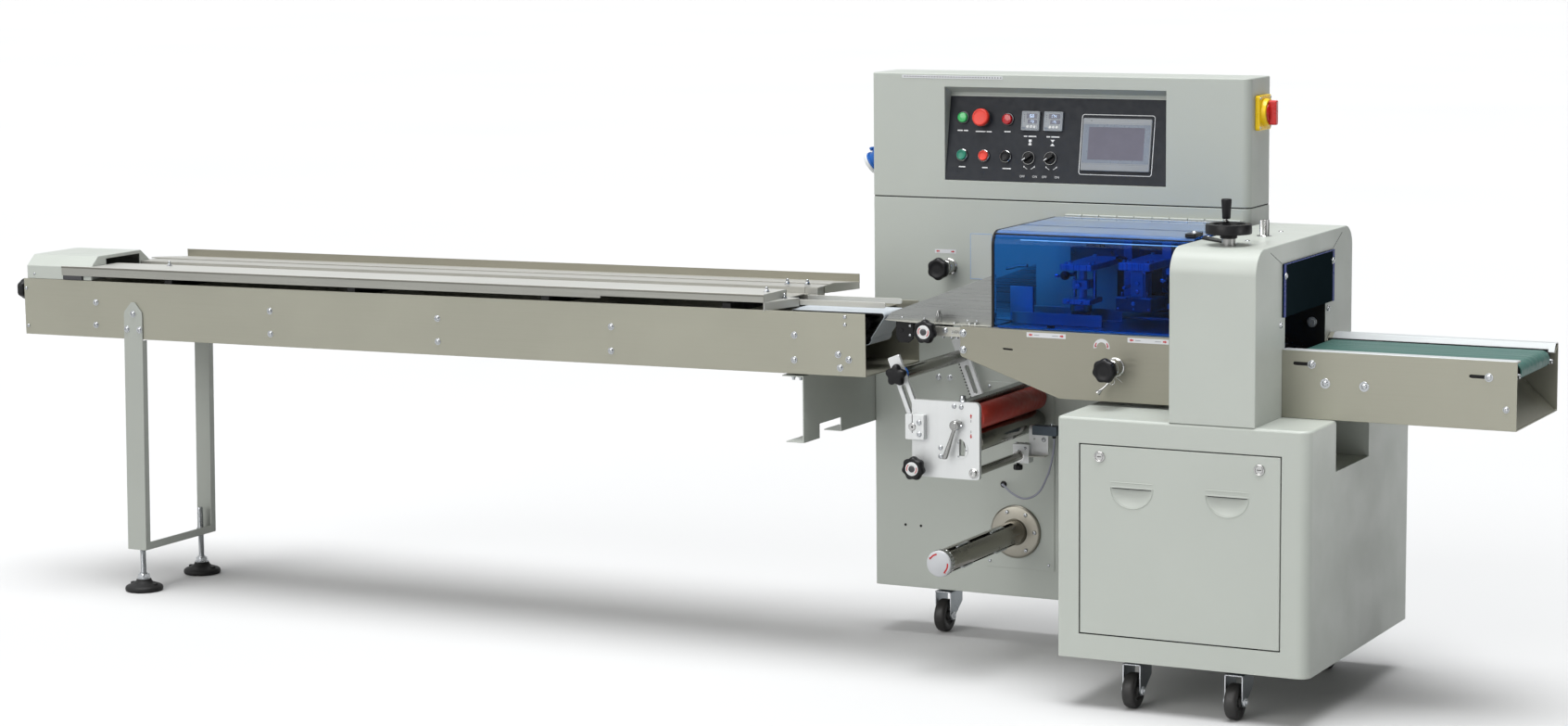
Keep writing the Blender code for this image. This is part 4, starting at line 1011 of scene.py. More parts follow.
# the lip takes the darker stainless copy: painted shade
put("rear_shelf_lip", prism("x", folded([(0.3380, 0.8919), (0.3400, 0.8935), (0.3400, 0.9150)], 0.0022), -1.6750, 0.4780), STEEL_LIP_SHADED, tilt=True, bevel=0.0004)
put("rear_shelf_flange", prism("x", [(0.1910, 0.8830), (0.3395, 0.8760), (0.3395, 0.8930), (0.1910, 0.9061)], 0.4757, 0.4778), STEEL_TABLE, tilt=True,
    bevel=0.0003)
put("infeed_shelf_end", prism("x", [(0.1380, 0.8860), (0.1915, 0.8832), (0.1915, 0.9060), (0.1380, 0.9060)], 0.4758, 0.4778), STEEL_TABLE, tilt=True,
    bevel=0.0003)
rail = [(0.4405, 0.8715)] + [(0.7076 + 0.0072 * math.cos(math.radians(a)), 0.8786 + 0.0071 * math.sin(math.radians(a)))
                             for a in range(-90, 91, 15)] + [(0.4405, 0.8857)]
put("belt_rail_front", prism("y", rail, 0.0020, 0.0045), STEEL_SHELF, tilt=True, bevel=0.0005)
put("belt_rail_rear", prism("y", rail, 0.0975, 0.1000), STEEL_SHELF, tilt=True, bevel=0.0005)
# the rails hang from the table's end on two short straps
put("belt_rail_straps", together(*[block((0.4260, 0.4500), (y - 0.0040, y + 0.0012), (0.8720, 0.8878)) for y in (0.0045, 0.1000)]), STEEL_TABLE, tilt=True,
    bevel=0.0006)

# white transfer belt: a thin loop with a toothed underside over a black nose roller
loop = [(0.4650, 0.7800), (0.6700, 0.7800)]
loop += [(0.6700 + 0.016 * math.sin(math.radians(a)), 0.7960 - 0.016 * math.cos(math.radians(a))) for a in range(10, 101, 10)]
loop += [(0.7130 + 0.009 * math.cos(math.radians(a)), 0.8540 + 0.009 * math.sin(math.radians(a))) for a in range(-30, 91, 10)]
loop += [(0.4650, 0.8630)]
loop = resampled(loop, 0.0025)
put("transfer_belt", band(loop, inset(loop, 0.0018), 0.115, -0.095), BELT_WHITE, tilt=True, xf=on_front(0.0), smooth=40,
    replaces="transfer_bed")
under = inset(loop, 0.0019)
put("transfer_belt_teeth", band(under, inset(loop, lambda i: 0.0062 if i % 2 else 0.0036), 0.1146, -0.0948), BLACK, tilt=True,
    xf=on_front(0.0), smooth=40)
# dark block inside the belt loop: painted shade
put("transfer_belt_core", block((0.4720, 0.6480), (-0.0150, 0.0900), (0.7900, 0.8540)), DARK, tilt=True, bevel=0.002)
for name, (cx, cz), r in (("belt_nose_roller", (0.6660, 0.8330), 0.0155), ("belt_end_roller", (0.4960, 0.8210), 0.0300),
                          ("belt_return_roller", (0.6695, 0.7965), 0.0095)):
    put(name, together(turned(Y, (cx, 0, cz), [(0.004, -0.0185), (r * 0.55, -0.0185), (r * 0.60, -0.0165), (r * 0.86, -0.0165),
                                               (r * 0.90, -0.0185), (r * 0.97, -0.0185), (r, -0.0165), (r, 0.0915), (r * 0.97, 0.0935),
                                               (0.004, 0.0935)], 40),
                       rod(Y, (cx, 0, cz), 0.0042, -0.024, 0.100, 24, 0.0006)), BLACK, tilt=True, smooth=32)

# bolts under the channel and the joint plate on the bracket
put("bracket_bolts", together(*[turned((0, 0, -1), (x, y, 0.7160), [(0.0085, -0.0004), (0.0085, 0.0012), (0.0065, 0.0014, hexed),
                                                                    (0.0065, 0.0066, hexed), (0.0040, 0.0068), (0.0040, 0.0120),
                                                                    (0.0, 0.0124)], 24)
                                for x, y in ((0.500, -0.085), (0.520, -0.085), (0.510, 0.140))]), ZINC, smooth=32)

# levelling feet: rubber pad with two lugs, ball socket, hexagon and threaded rod
for node, fy in (("foot_front", -0.098), ("foot_rear", 0.168)):
    c = (-1.5336, fy, 0.0)
    put(node + "_pad", turned(Z, c, [(0.0470, 0.0), (0.0505, 0.0010), (0.0520, 0.0040), (0.0520, 0.0085), (0.0505, 0.0120),
                                     (0.0465, 0.0150), (0.0380, 0.0180), (0.0300, 0.0208), (0.0245, 0.0240), (0.0215, 0.0280),
                                     (0.0200, 0.0320), (0.0, 0.0325)], 56), RUBBER_BLACK, node, smooth=30, replaces=node)
    put(node + "_lugs", together(*[block((c[0] + s * 0.036 - 0.0065, c[0] + s * 0.036 + 0.0065), (fy - 0.0065, fy + 0.0065), (0.0160, 0.0215))
                                   for s in (-1, 1)]), RUBBER_BLACK, node, bevel=0.0015, seg=3)
    put(node + "_socket", turned(Z, c, [(0.0185, 0.0318), (0.0190, 0.0326), (0.0190, 0.0352), (0.0178, 0.0360), (0.0172, 0.0362, hexed),
                                        (0.0172, 0.0452, hexed), (0.0150, 0.0466), (0.0110, 0.0470), (0.0105, 0.0500), (0.0072, 0.0512)], 36), ZINC, node,
        smooth=32)
    put(node + "_rod", threaded(Z, c, 0.0080, 0.0500, 0.1900), ZINC, node, smooth=60)
    put(node + "_nuts", together(nut(Z, c, 0.0135, 0.1213, 0.1300, 0.0083)), ZINC, smooth=32)

# adjusting knob on the tail plate
hand_knob("tail_knob", tuple(TILT @ Vector((-1.897, -0.092, 0.838))), (-1, 0, -0.0087), 0.006, 0.029, 6)
put("tail_knob_stem", turned((-1, 0, -0.0087), tuple(TILT @ Vector((-1.897, -0.092, 0.838))),
                             [(0.0085, 0.0006), (0.0085, 0.0065), (0.006, 0.0070)], 28), ZINC, "tail_knob")

# ------------------------------------------- tall cabinet and control box
TALL_X, TALL_Y = (0.543, 1.559), (0.289, 0.436)
shell = prism("z", rounded(TALL_X, (0.289, 0.4327), (0.006, 0.020, 0.0, 0.0), 12), 0.121, 1.1327)
put("rear_cabinet_shell", carve(shell, block((1.3027, 1.7), (0.2, 0.5), (0.0, 0.6933))), PAINT, bevel=0.0014,
    replaces="rear_cabinet")
refine("rear_cover", PAINT, 0.0008)


def on_slope(s, depth):
    """Point (y, z) at s up the control panel and depth behind its face."""
    return (0.289 + PANEL_UP[1] * s - PANEL_OUT[1] * depth, 1.181 + PANEL_UP[2] * s - PANEL_OUT[2] * depth)


PANEL_L = 0.2144
box = prism("z", rounded(TALL_X, TALL_Y, (0.006, 0.020, 0.008, 0.008), 12), 1.1356, 1.450)
soften(box, lambda m, d: m.z > 1.449, 0.0035, 4)
box = carve(box,
            prism("x", [(0.25, 1.1808), on_slope(0.0, 0.0034), on_slope(PANEL_L, 0.0034), (0.3303, 1.4015), (0.289, 1.417),
                        (0.25, 1.417)], 0.745, 1.342),
            prism("x", [on_slope(0.015, 0.0), on_slope(PANEL_L - 0.015, 0.0), on_slope(PANEL_L - 0.015, 0.020),
                        on_slope(0.015, 0.020)], 0.760, 1.327))
put("control_box_shell", box, PAINT, bevel=0.0012, replaces="control_box")
put("control_box_joint", prism("z", rounded((0.5446, 1.5574), (0.2906, 0.4320), (0.005, 0.019, 0.002, 0.002), 12), 1.1324, 1.1360), DARK)
# folded lip round the recess
put("recess_lip", prism("x", [on_slope(PANEL_L - 0.0004, 0.0030), on_slope(PANEL_L - 0.0004, -0.0012),
                              on_slope(PANEL_L + 0.0030, -0.0012), on_slope(PANEL_L + 0.0030, 0.0030)], 0.7455, 1.3415),
    PAINT, bevel=0.0004)

# perforated strip along the top edge
put("vent_strip", flat(rounded((0.626, 0.905), (1.4370, 1.4448), 0.0012, 3), 0.0008), LABEL, xf=on_front(0.289), bevel=0.0002)
# holes drawn as dark discs: painted shade in the perforations
put("vent_holes", together(*[flat(circle((0.634 + 0.0076 * k, 1.4412), 0.0015, 10), 0.0003) for k in range(36)]), DARK,
    xf=on_front(0.2882))

# --------------------------------------------------------- control panel
CONTROLS = {"estop_button": (0.8400, 0.1590), "start_button": (0.7890, 0.0640), "stop_button": (0.8490, 0.0635),
            "inch_button": (0.9090, 0.0630), "selector_left": (0.9720, 0.0610), "selector_right": (1.0310, 0.0615)}


def over_panel(x, s, out=0.0):
    return (x, 0.289 + PANEL_UP[1] * s + PANEL_OUT[1] * out, 1.181 + PANEL_UP[2] * s + PANEL_OUT[2] * out)


plate = flat(rounded((0.7453, 1.3417), (0.0012, PANEL_L - 0.0006), 0.0008, 2), 0.0030, -0.0030)
plate = carve(plate, *[flat(circle(at, 0.0130 if n.startswith("st") or n.startswith("in") else 0.0102, 36), 0.02, -0.01)
                       for n, at in CONTROLS.items()])
put("control_panel_plate", plate, PANEL, xf=ON_PANEL, bevel=0.0003, seg=1, replaces="control_panel")

# printed lines under the controls: plain bars, no lettering
marks = []
for x, s, widths in ((0.785, 0.1265, (0.014, 0.012)), (0.843, 0.1250, (0.027, 0.014)), (0.908, 0.1262, (0.017,)),
                     (0.971, 0.1158, (0.009, 0.022)), (1.033, 0.1158, (0.010, 0.022)), (0.790, 0.0345, (0.018,)),
                     (0.853, 0.0338, (0.015,)), (0.913, 0.0332, (0.023,))):
    total = sum(widths) + 0.003 * (len(widths) - 1)
    u = x - total / 2
    for w in widths:
        marks.append(flat(rounded((u, u + w), (s - 0.0015, s + 0.0015), 0.0006, 2), 0.00022))
        u += w + 0.003
# pictograms of the two seals: a strip with a gap, and two facing wedges
marks += [flat([(0.9680, 0.0935), (0.9760, 0.0935), (0.9760, 0.0985), (0.9680, 0.0985)], 0.00022),
          flat([(0.9680, 0.1020), (0.9760, 0.1020), (0.9760, 0.1080), (0.9680, 0.1080)], 0.00022),
          flat([(0.9700, 0.0992), (0.9740, 0.0992), (0.9740, 0.1013), (0.9700, 0.1013)], 0.00022),
          flat([(1.0270, 0.0930), (1.0390, 0.0930), (1.0330, 0.0995)], 0.00022),
          flat([(1.0270, 0.1085), (1.0330, 0.1020), (1.0390, 0.1085)], 0.00022)]
# arcs under the selectors
for x in (0.974, 1.034):
    marks += [flat(sector((x, 0.0485), 0.0150, 0.0164, 212, 252), 0.00022), flat(sector((x, 0.0485), 0.0150, 0.0164, 288, 328), 0.00022),
              flat(arrow((x - 0.0152, 0.0422), 112, 0.0050, 0.0045, 0.0046, 0.0012), 0.00022),
              flat(arrow((x + 0.0152, 0.0422), 68, 0.0050, 0.0045, 0.0046, 0.0012), 0.00022)]
put("panel_marks", together(*marks), WHITE_PRINT, xf=ON_PANEL)
words = [moved(lettering(word, 0.0078, 0.0003), x, 0.0145, 0.0002) for x, word in
         ((0.957, "OFF"), (0.991, "ON"), (1.017, "OFF"), (1.051, "ON"))]
put("selector_letters", together(*words), WHITE_PRINT, xf=ON_PANEL)

# lamps
for name, (x, s), r, lens in (("print_lamp", (0.785, 0.159), 0.0150, GREEN_LAMP), ("power_lamp", (0.908, 0.157), 0.0155, RED_LAMP)):
    at = over_panel(x, s)
    put(name + "_ring", turned(PANEL_OUT, at, [(r * 0.86, 0.0), (r * 1.07, 0.0), (r * 1.07, 0.0022), (r * 1.02, 0.0036),
                                               (r * 0.90, 0.0040), (r * 0.86, 0.0036)], 48, bored=True), DARK_STEEL, smooth=40)
    put(name + "_lens", turned(PANEL_OUT, at, [(r * 0.85, 0.0), (r * 0.88, 0.0055), (r * 0.86, 0.0095), (r * 0.80, 0.0115),
                                               (r * 0.72, 0.0120), (r * 0.70, 0.0112), (r * 0.40, 0.0122), (0.0, 0.0126)], 48), lens,
        smooth=50)

# push buttons with metal rings
for node, cap in (("start_button", GREEN), ("stop_button", RED_SOFT), ("inch_button", BLACK)):
    at = over_panel(*CONTROLS[node])
    put(node + "_ring", turned(PANEL_OUT, at, [(0.0130, 0.0), (0.0160, 0.0), (0.0160, 0.0045), (0.0152, 0.0062), (0.0140, 0.0068),
                                               (0.0131, 0.0062)], 48, bored=True), CHROME, smooth=40)
    put(node + "_cap", turned(PANEL_OUT, at, [(0.0126, -0.0030), (0.0127, 0.0082), (0.0122, 0.0098), (0.0112, 0.0106), (0.0104, 0.0106),
                                              (0.0098, 0.0098), (0.0050, 0.0094), (0.0, 0.0093)], 48), cap, node, smooth=50,
        replaces=node)

at = over_panel(*CONTROLS["estop_button"])
put("estop_collar", turned(PANEL_OUT, at, [(0.0102, 0.0), (0.0195, 0.0), (0.0195, 0.0009), (0.0185, 0.0014), (0.0102, 0.0014)], 48,
                           bored=True), DARK_STEEL, smooth=40)
put("estop_mushroom", turned(PANEL_OUT, at, [(0.0096, -0.0110), (0.0098, 0.0086), (0.0150, 0.0082), (0.0205, 0.0108), (0.0222, 0.0140),
                                             (0.0226, 0.0175), (0.0222, 0.0210), (0.0208, 0.0238), (0.0188, 0.0250), (0.0176, 0.0250),
                                             (0.0166, 0.0242), (0.0150, 0.0238), (0.0, 0.0256)], 64), RED_SOFT, "estop_button", smooth=50,
    replaces="estop_button")

# selector switches: ring, round body, grip bar with a white line
for node in ("selector_left", "selector_right"):
    at = Vector(over_panel(*CONTROLS[node]))
    put(node + "_ring", turned(PANEL_OUT, at, [(0.0150, 0.0), (0.0172, 0.0), (0.0172, 0.0036), (0.0164, 0.0052), (0.0154, 0.0056),
                                               (0.0149, 0.0050)], 48, bored=True), CHROME, smooth=40)
    put(node + "_body", turned(PANEL_OUT, at, [(0.0096, -0.0110), (0.0096, 0.0005), (0.0145, 0.0006), (0.0145, 0.0070), (0.0138, 0.0084),
                                               (0.0126, 0.0090), (0.0, 0.0092)], 48), BLACK, node, smooth=45, replaces=node)
    turn = ON_PANEL.copy()
    turn.translation = at
    turn = turn @ Matrix.Rotation(math.radians(35), 4, "Z")
    grip = prism("z", rounded((-0.0128, 0.0128), (-0.0042, 0.0042), 0.0020, 5), 0.0060, 0.0210)
    put(node + "_grip", grip, BLACK, node, xf=turn, bevel=0.0011, seg=3)
    put(node + "_pointer", flat(rounded((-0.0122, -0.0030), (-0.0011, 0.0011), 0.0005, 3), 0.0004, 0.0209), WHITE_PRINT, node, xf=turn)
    put(node + "_pointer_end", flat([(-0.0011, 0.0120), (0.0011, 0.0120), (0.0011, 0.0205), (-0.0011, 0.0205)], 0.0003), WHITE_PRINT, node,
        xf=turn @ plane((-0.0128, 0, 0), (0, -1, 0), (0, 0, 1)))

# two temperature controllers
for k, (x0, x1) in enumerate(((0.9470, 0.9960), (1.0075, 1.0587))):
    tag = "temperature_controller_%d" % (k + 1)
    w = x1 - x0
    body = prism("z", rounded((x0, x1), (0.1300, 0.1790), 0.0025, 5), -0.0002, 0.0070)
    put(tag, body, METER_FACE, xf=ON_PANEL, bevel=0.0012, seg=3)
    put(tag + "_frame", band(rounded((x0 + 0.0030, x1 - 0.0030), (0.1330, 0.1760), 0.0015, 4),
                             rounded((x0 + 0.0038, x1 - 0.0038), (0.1338, 0.1752), 0.0012, 4), 0.0003, 0.0069), SCREEN_BAR, xf=ON_PANEL)
    put(tag + "_window_upper", flat(rounded((x0 + 0.0140, x1 - 0.0065), (0.1605, 0.1725), 0.0008, 3), 0.0004, 0.0069), METER_GLASS,
        xf=ON_PANEL)
    put(tag + "_window_lower", flat(rounded((x0 + 0.0180, x1 - 0.0065), (0.1475, 0.1575), 0.0008, 3), 0.0004, 0.0069), METER_GLASS,
        xf=ON_PANEL)
    put(tag + "_value", moved(figures("168" if k == 0 else "174", (x0 + 0.0185, 0.1628), 0.0074, 0.00025), 0, 0, 0.0073), DIGIT, xf=ON_PANEL)
    put(tag + "_setting", moved(figures("170" if k == 0 else "175", (x0 + 0.0225, 0.1497), 0.0056, 0.00025), 0, 0, 0.0073), DIGIT, xf=ON_PANEL)
    put(tag + "_lights", together(*[flat(circle((x0 + 0.0078, 0.1690 - 0.0052 * i), 0.0011, 14), 0.0004, 0.0069) for i in range(4)]),
        METER_GLASS, xf=ON_PANEL)
    put(tag + "_keys", together(*[turned(Z, (x0 + 0.0185 + 0.0092 * i, 0.1395, 0.0069), [(0.0036, 0.0), (0.0036, 0.0006), (0.0030, 0.0011),
                                                                                         (0.0022, 0.0009), (0.0, 0.0009)], 24)
                                  for i in range(3)]), WHITE, xf=ON_PANEL, smooth=40)
    put(tag + "_foot", flat(rounded((x0 + 0.0030, x0 + 0.0125), (0.1345, 0.1385), 0.0008, 3), 0.0003, 0.0069), SCREEN_BAR, xf=ON_PANEL)

# touch screen in a printed outline
line_out = rounded((1.1080, 1.3030), (0.0235, 0.1750), 0.0075, 8)
put("screen_outline", band(line_out, inset(line_out, 0.0017), 0.00025), WHITE_PRINT, xf=ON_PANEL)
case = prism("z", rounded((1.1145, 1.2975), (0.0340, 0.1650), 0.0030, 6), 0.0003, 0.0072)
soften(case, lambda m, d: m.z > 0.0071, 0.0016, 3)
put("touch_screen_case", case, SCREEN_CASE, xf=ON_PANEL, smooth=40, replaces="touch_screen")
put("touch_screen_border", flat(rounded((1.1170, 1.2950), (0.0530, 0.1500), 0.0010, 3), 0.00030, 0.0071), SCREEN_BAR, xf=ON_PANEL)
put("touch_screen_glass", flat(rounded((1.1320, 1.2800), (0.0615, 0.1425), 0.0008, 3), 0.00025, 0.0073), SCREEN_GLASS, xf=ON_PANEL)
put("touch_screen_edges", together(*[flat([(1.1165, s - 0.00025), (1.2955, s - 0.00025), (1.2955, s + 0.00025), (1.1165, s + 0.00025)],
                                          0.0002, 0.0071) for s in (0.0500, 0.1525)]), SCREEN_BAR, xf=ON_PANEL)
put("touch_screen_light", turned(Z, (1.1370, 0.1585, 0.0071), [(0.0012, 0.0), (0.0011, 0.0004), (0.0, 0.0006)], 16), DARK, xf=ON_PANEL)

# main switch on the right side
base = prism("z", rounded((0.3235, 0.4085), (1.3215, 1.4065), 0.0060, 6), 0.0, 0.0120)
put("main_switch_plate", base, YELLOW, xf=on_right(1.559), bevel=0.0020, seg=3)
put("main_switch_boss", turned(X, (1.559, 0.366, 1.364), [(0.0095, 0.0118), (0.0345, 0.0118), (0.0345, 0.0145), (0.0325, 0.0225),
                                                          (0.0305, 0.0235), (0.0270, 0.0235), (0.0258, 0.0225), (0.0255, 0.0130), (0.0095, 0.0130)], 56, bored=True),
    YELLOW, smooth=40)
put("main_switch_screws", together(*[screw((1.571, y, z), X, 0.0034) for y in (0.3305, 0.4015) for z in (1.3285, 1.3995)]), ZINC, smooth=32)
put("main_switch_knob", turned(X, (1.559, 0.366, 1.364), [(0.0090, 0.0003), (0.0090, 0.0140), (0.0240, 0.0142), (0.0240, 0.0230), (0.0228, 0.0255),
                                                          (0.0205, 0.0265), (0.0, 0.0270)], 48), RED, "switch_knob", smooth=45,
    replaces="switch_knob")
grip = prism("x", rounded((0.366 - 0.0085, 0.366 + 0.0085), (1.334, 1.394), 0.0050, 6), 1.559 + 0.020, 1.559 + 0.042)
put("main_switch_grip", grip, RED, "switch_knob", bevel=0.0022, seg=4)
put("main_switch_line", flat(rounded((0.366 - 0.0009, 0.366 + 0.0009), (1.370, 1.390), 0.0006, 3), 0.0004, 0.0), WHITE_PRINT, "switch_knob",
    xf=on_right(1.559 + 0.0419))

# power inlet on the left side: grey flange, blue angled housing and cap
put("power_inlet_flange", prism("x", rounded((0.322, 0.398), (1.186, 1.272), 0.0080, 6), 0.5380, 0.5432), WHITE, bevel=0.0012, seg=3)
lean = Vector((-0.82, 0.0, -0.57)).normalized()
put("power_inlet_body", turned(lean, (0.5420, 0.360, 1.2330), [(0.0310, -0.004), (0.0305, 0.010), (0.0275, 0.016), (0.0270, 0.030), (0.0300, 0.031),
                                                               (0.0305, 0.036), (0.0255, 0.0365), (0.0245, 0.028), (0.0, 0.028)], 40), BLUE_PLASTIC, smooth=40)
put("power_inlet_cap", turned(lean, (0.5420, 0.360, 1.2330), [(0.0, 0.0368), (0.0300, 0.0368), (0.0318, 0.0385), (0.0318, 0.0430), (0.0295, 0.0462),
                                                              (0.0200, 0.0480), (0.0, 0.0486)], 40), WHITE, smooth=40)
put("power_inlet_hinge", together(block((0.5060, 0.5180), (0.348, 0.372), (1.2440, 1.2530)),
                                  rod(Y, (0.5090, 0.0, 1.2500), 0.0040, 0.344, 0.376, 20, 0.0008)), BLUE_PLASTIC, bevel=0.0008)
screws("power_inlet_screws", [((0.5380, y, z), (-1, 0, 0), 0.0036) for y in (0.328, 0.392) for z in (1.193, 1.265)])

# things on the operator side of the tall cabinet
put("wall_plate", prism("y", rounded((0.857, 1.047), (0.194, 0.672), 0.0020, 3), 0.2868, 0.2890), PAINT, bevel=0.0005)
screws("wall_plate_screws", [((1.031, 0.2868, z), OUTWARD, 0.0042) for z in (0.209, 0.444)]
       + [((0.868, 0.2868, z), OUTWARD, 0.0042) for z in (0.209, 0.660)])
screws("wall_screws", [((x, 0.2890, 0.6745), OUTWARD, 0.0058, dict(washer=0.0080)) for x in (0.725, 0.756)])
# two holes drawn as dark discs: painted shade
put("wall_holes", together(*[rod(Y, (x, 0, 0.2835), 0.0036, 0.2886, 0.2894, 20) for x in (0.629, 0.673)]), DARK)
put("wall_grommet", turned(OUTWARD, (0.907, 0.289, 0.409), [(0.0030, 0.0), (0.0095, 0.0), (0.0095, 0.0016), (0.0080, 0.0034), (0.0045, 0.0048), (0.0030, 0.0044)],
                           32, bored=True), BLACK, smooth=40)
put("wall_blank_plate", flat(rounded((0.814, 0.876), (0.930, 1.048), 0.0015, 3), 0.0006), PLATE_FILM, xf=on_front(0.289), bevel=0.0002)
put("wall_blank_border", band(rounded((0.8152, 0.8748), (0.9312, 1.0468), 0.0012, 3), rounded((0.8160, 0.8740), (0.9320, 1.0460), 0.0010, 3), 0.0003, 0.0), LIGHT_BLUE,
    xf=on_front(0.2884))

# rear cover fasteners
screws("rear_cover_screws", [((x, 0.4360, z), Y, 0.0050, dict(washer=0.0070)) for x in (0.565, 0.920, 1.280) for z in (0.145, 1.110)]
       + [((0.565, 0.4360, 0.62), Y, 0.0050, dict(washer=0.0070)), ((1.535, 0.4360, 0.715), Y, 0.0050, dict(washer=0.0070)),
          ((1.535, 0.4360, 1.110), Y, 0.0050, dict(washer=0.0070))])
screws("control_box_back_screws", [((x, 0.4360, z), Y, 0.0046) for x in (0.575, 1.050, 1.525) for z in (1.160, 1.425)])

# knob on the cabinet wall with its steel collar, and the turning marks above it
put("knob_cabinet_collar", turned(OUTWARD, (0.758, 0.289, 0.961), [(0.0195, 0.0003), (0.0205, 0.0012), (0.0205, 0.0040), (0.0182, 0.0050), (0.0178, 0.0300),
                                                                   (0.0165, 0.0315), (0.0165, 0.0460), (0.0140, 0.0475), (0.0140, 0.0580)], 48), CHROME,
    "knob_cabinet", smooth=40)
hand_knob("knob_cabinet", (0.758, 0.289, 0.961), OUTWARD, 0.058, 0.029, 6)
put("knob_cabinet_label", flat(rounded((0.716, 0.775), (0.9935, 1.0035), 0.0008, 3), 0.0004), LABEL, xf=on_front(0.289))
put("knob_cabinet_arrows", together(flat(arrow((0.7195, 0.9985), 180, 0.0100, 0.0050, 0.0058, 0.0030), 0.0002),
                                    flat(arrow((0.7715, 0.9985), 0, 0.0100, 0.0050, 0.0058, 0.0030), 0.0002)), RED_PRINT, xf=on_front(0.2886))

# ------------------------------------------------------ film reel and nip
REEL = (0.942, 0.290)
put("reel_flange_disc", turned(Y, (REEL[0], 0, REEL[1]), [(0.0155, 0.2765), (0.0330, 0.2765), (0.0345, 0.2755), (0.0400, 0.2758),
                                                          (0.0615, 0.2770), (0.0660, 0.2785), (0.0680, 0.2810), (0.0680, 0.2887),
                                                          (0.0155, 0.2887)], 72, bored=True), FLANGE_STEEL, smooth=35, replaces="reel_flange")
screws("reel_flange_screws", [((REEL[0] + 0.0545 * math.cos(math.radians(a)), 0.2768, REEL[1] + 0.0545 * math.sin(math.radians(a))),
                               OUTWARD, 0.0052, dict(kind="hex", tall=0.7)) for a in (2, 57, 113, 180, 236, -56)])
# shaft tube with three slots for its expanding blades
tubes = turned(Y, (REEL[0], 0, REEL[1]), [(0.0290, -0.1610), (0.0300, -0.1600), (0.0300, 0.2755), (0.0150, 0.2755), (0.0150, 0.2870)], 64)
slots = []
for a in (72, 192, 312):
    c, s = math.cos(math.radians(a)), math.sin(math.radians(a))
    for y0, y1 in ((-0.146, 0.240),):
        m = plane((REEL[0], 0, REEL[1]), (c, 0, s), (0, 1, 0))
        cutter = block((0.0180, 0.0400), (y0, y1), (-0.0050, 0.0050))
        cutter.transform(m)
        slots.append(cutter)
put("reel_shaft_tube", carve(tubes, *slots), REEL_STEEL, "reel_shaft", bevel=0.0004, seg=1, replaces="reel_shaft")
blades = []
for a in (72, 192, 312):
    c, s = math.cos(math.radians(a)), math.sin(math.radians(a))
    for y0, y1 in ((-0.095, -0.020), (0.105, 0.190)):
        m = plane((REEL[0], 0, REEL[1]), (c, 0, s), (0, 1, 0))
        # drawn as (radius, along the shaft): a long blade with sloping ends
        b = prism("z", [(0.0175, y0), (0.0175, y1), (0.0285, y1), (0.0330, y1 - 0.016), (0.0330, y0 + 0.016), (0.0285, y0)], -0.0032, 0.0032)
        b.transform(m)
        blades.append(b)
put("reel_blades", together(*blades), ZINC, "reel_shaft", bevel=0.0006)
# dark sheets in the slots, behind the blades: painted shade inside the tube
linings = []
for a in (72, 192, 312):
    c, s = math.cos(math.radians(a)), math.sin(math.radians(a))
    lining = block((0.0178, 0.0195), (-0.1455, 0.2395), (-0.0049, 0.0049))
    lining.transform(plane((REEL[0], 0, REEL[1]), (c, 0, s), (0, 1, 0)))
    linings.append(lining)
put("reel_slot_linings", together(*linings), DARK, "reel_shaft")
knurl = lambda a: 1.0 - 0.085 * (0.5 + 0.5 * math.cos(20 * a))
put("reel_cap_rim", turned(Y, (REEL[0], 0, REEL[1]), [(0.0280, -0.1600), (0.0325, -0.1602), (0.0335, -0.1615, knurl), (0.0335, -0.1770, knurl),
                                                      (0.0325, -0.1785), (0.0300, -0.1790)], 96), CHROME, "reel_shaft", smooth=50)
put("reel_cap_face", turned(OUTWARD, (REEL[0], 0, REEL[1]), [(0.0305, 0.1780), (0.0322, 0.1795), (0.0325, 0.1815), (0.0312, 0.1845), (0.0290, 0.1856),
                                                             (0.0, 0.1858)], 64), CAP_GREY, "reel_shaft", smooth=45)
put("reel_cap_arcs", together(flat(sector(REEL, 0.0225, 0.0262, 100, 150), 0.00025), flat(sector(REEL, 0.0225, 0.0262, -48, 8), 0.00025),
                              flat(arrow((REEL[0] - 0.0238, REEL[1] + 0.0092), 247, 0.0060, 0.0055, 0.0072, 0.0020), 0.00025),
                              flat(arrow((REEL[0] + 0.0132, REEL[1] - 0.0213), 210, 0.0060, 0.0055, 0.0072, 0.0020), 0.00025)),
    RED_PRINT, "reel_shaft", xf=on_front(-0.1857))

# nip plate with its clamp block, window and tie bar
nip = prism("y", rounded((0.845, 1.025), (0.492, 0.681), (0.0100, 0.0080, 0.0120, 0.0050), 8), -0.126, -0.114)
window = [(0.9715, 0.5490), (0.9860, 0.5490)] + [(0.9715 + 0.0175 * math.cos(math.radians(a)), 0.5680 + 0.0230 * math.sin(math.radians(a)))
                                                 for a in range(0, 91, 10)]
put("nip_plate_face", carve(nip, rod(Y, (0.853, 0, 0.615), 0.0094, -0.2, 0.0, 32), prism("y", window, -0.2, 0.0)), ALU, bevel=0.0012, seg=3,
    replaces="nip_plate")
clamp = prism("y", rounded((0.834, 0.884), (0.584, 0.646), 0.0030, 4), -0.142, -0.1262)
put("nip_clamp_block", carve(clamp, rod(Y, (0.853, 0, 0.615), 0.0094, -0.2, 0.0, 32), block((0.8522, 0.8538), (-0.2, 0.0), (0.615, 0.66)),
                             block((0.8522, 0.8538), (-0.2, 0.0), (0.600, 0.615))), ALU, bevel=0.0009)
screws("nip_clamp_screws", [((0.8715, -0.142, z), OUTWARD, 0.0066, dict(kind="hex", tall=0.5)) for z in (0.627, 0.598)])
put("nip_tie_bar", block((0.962, 0.988), (-0.1143, 0.2887), (0.6735, 0.6805)), STEEL_FORM, bevel=0.0008)
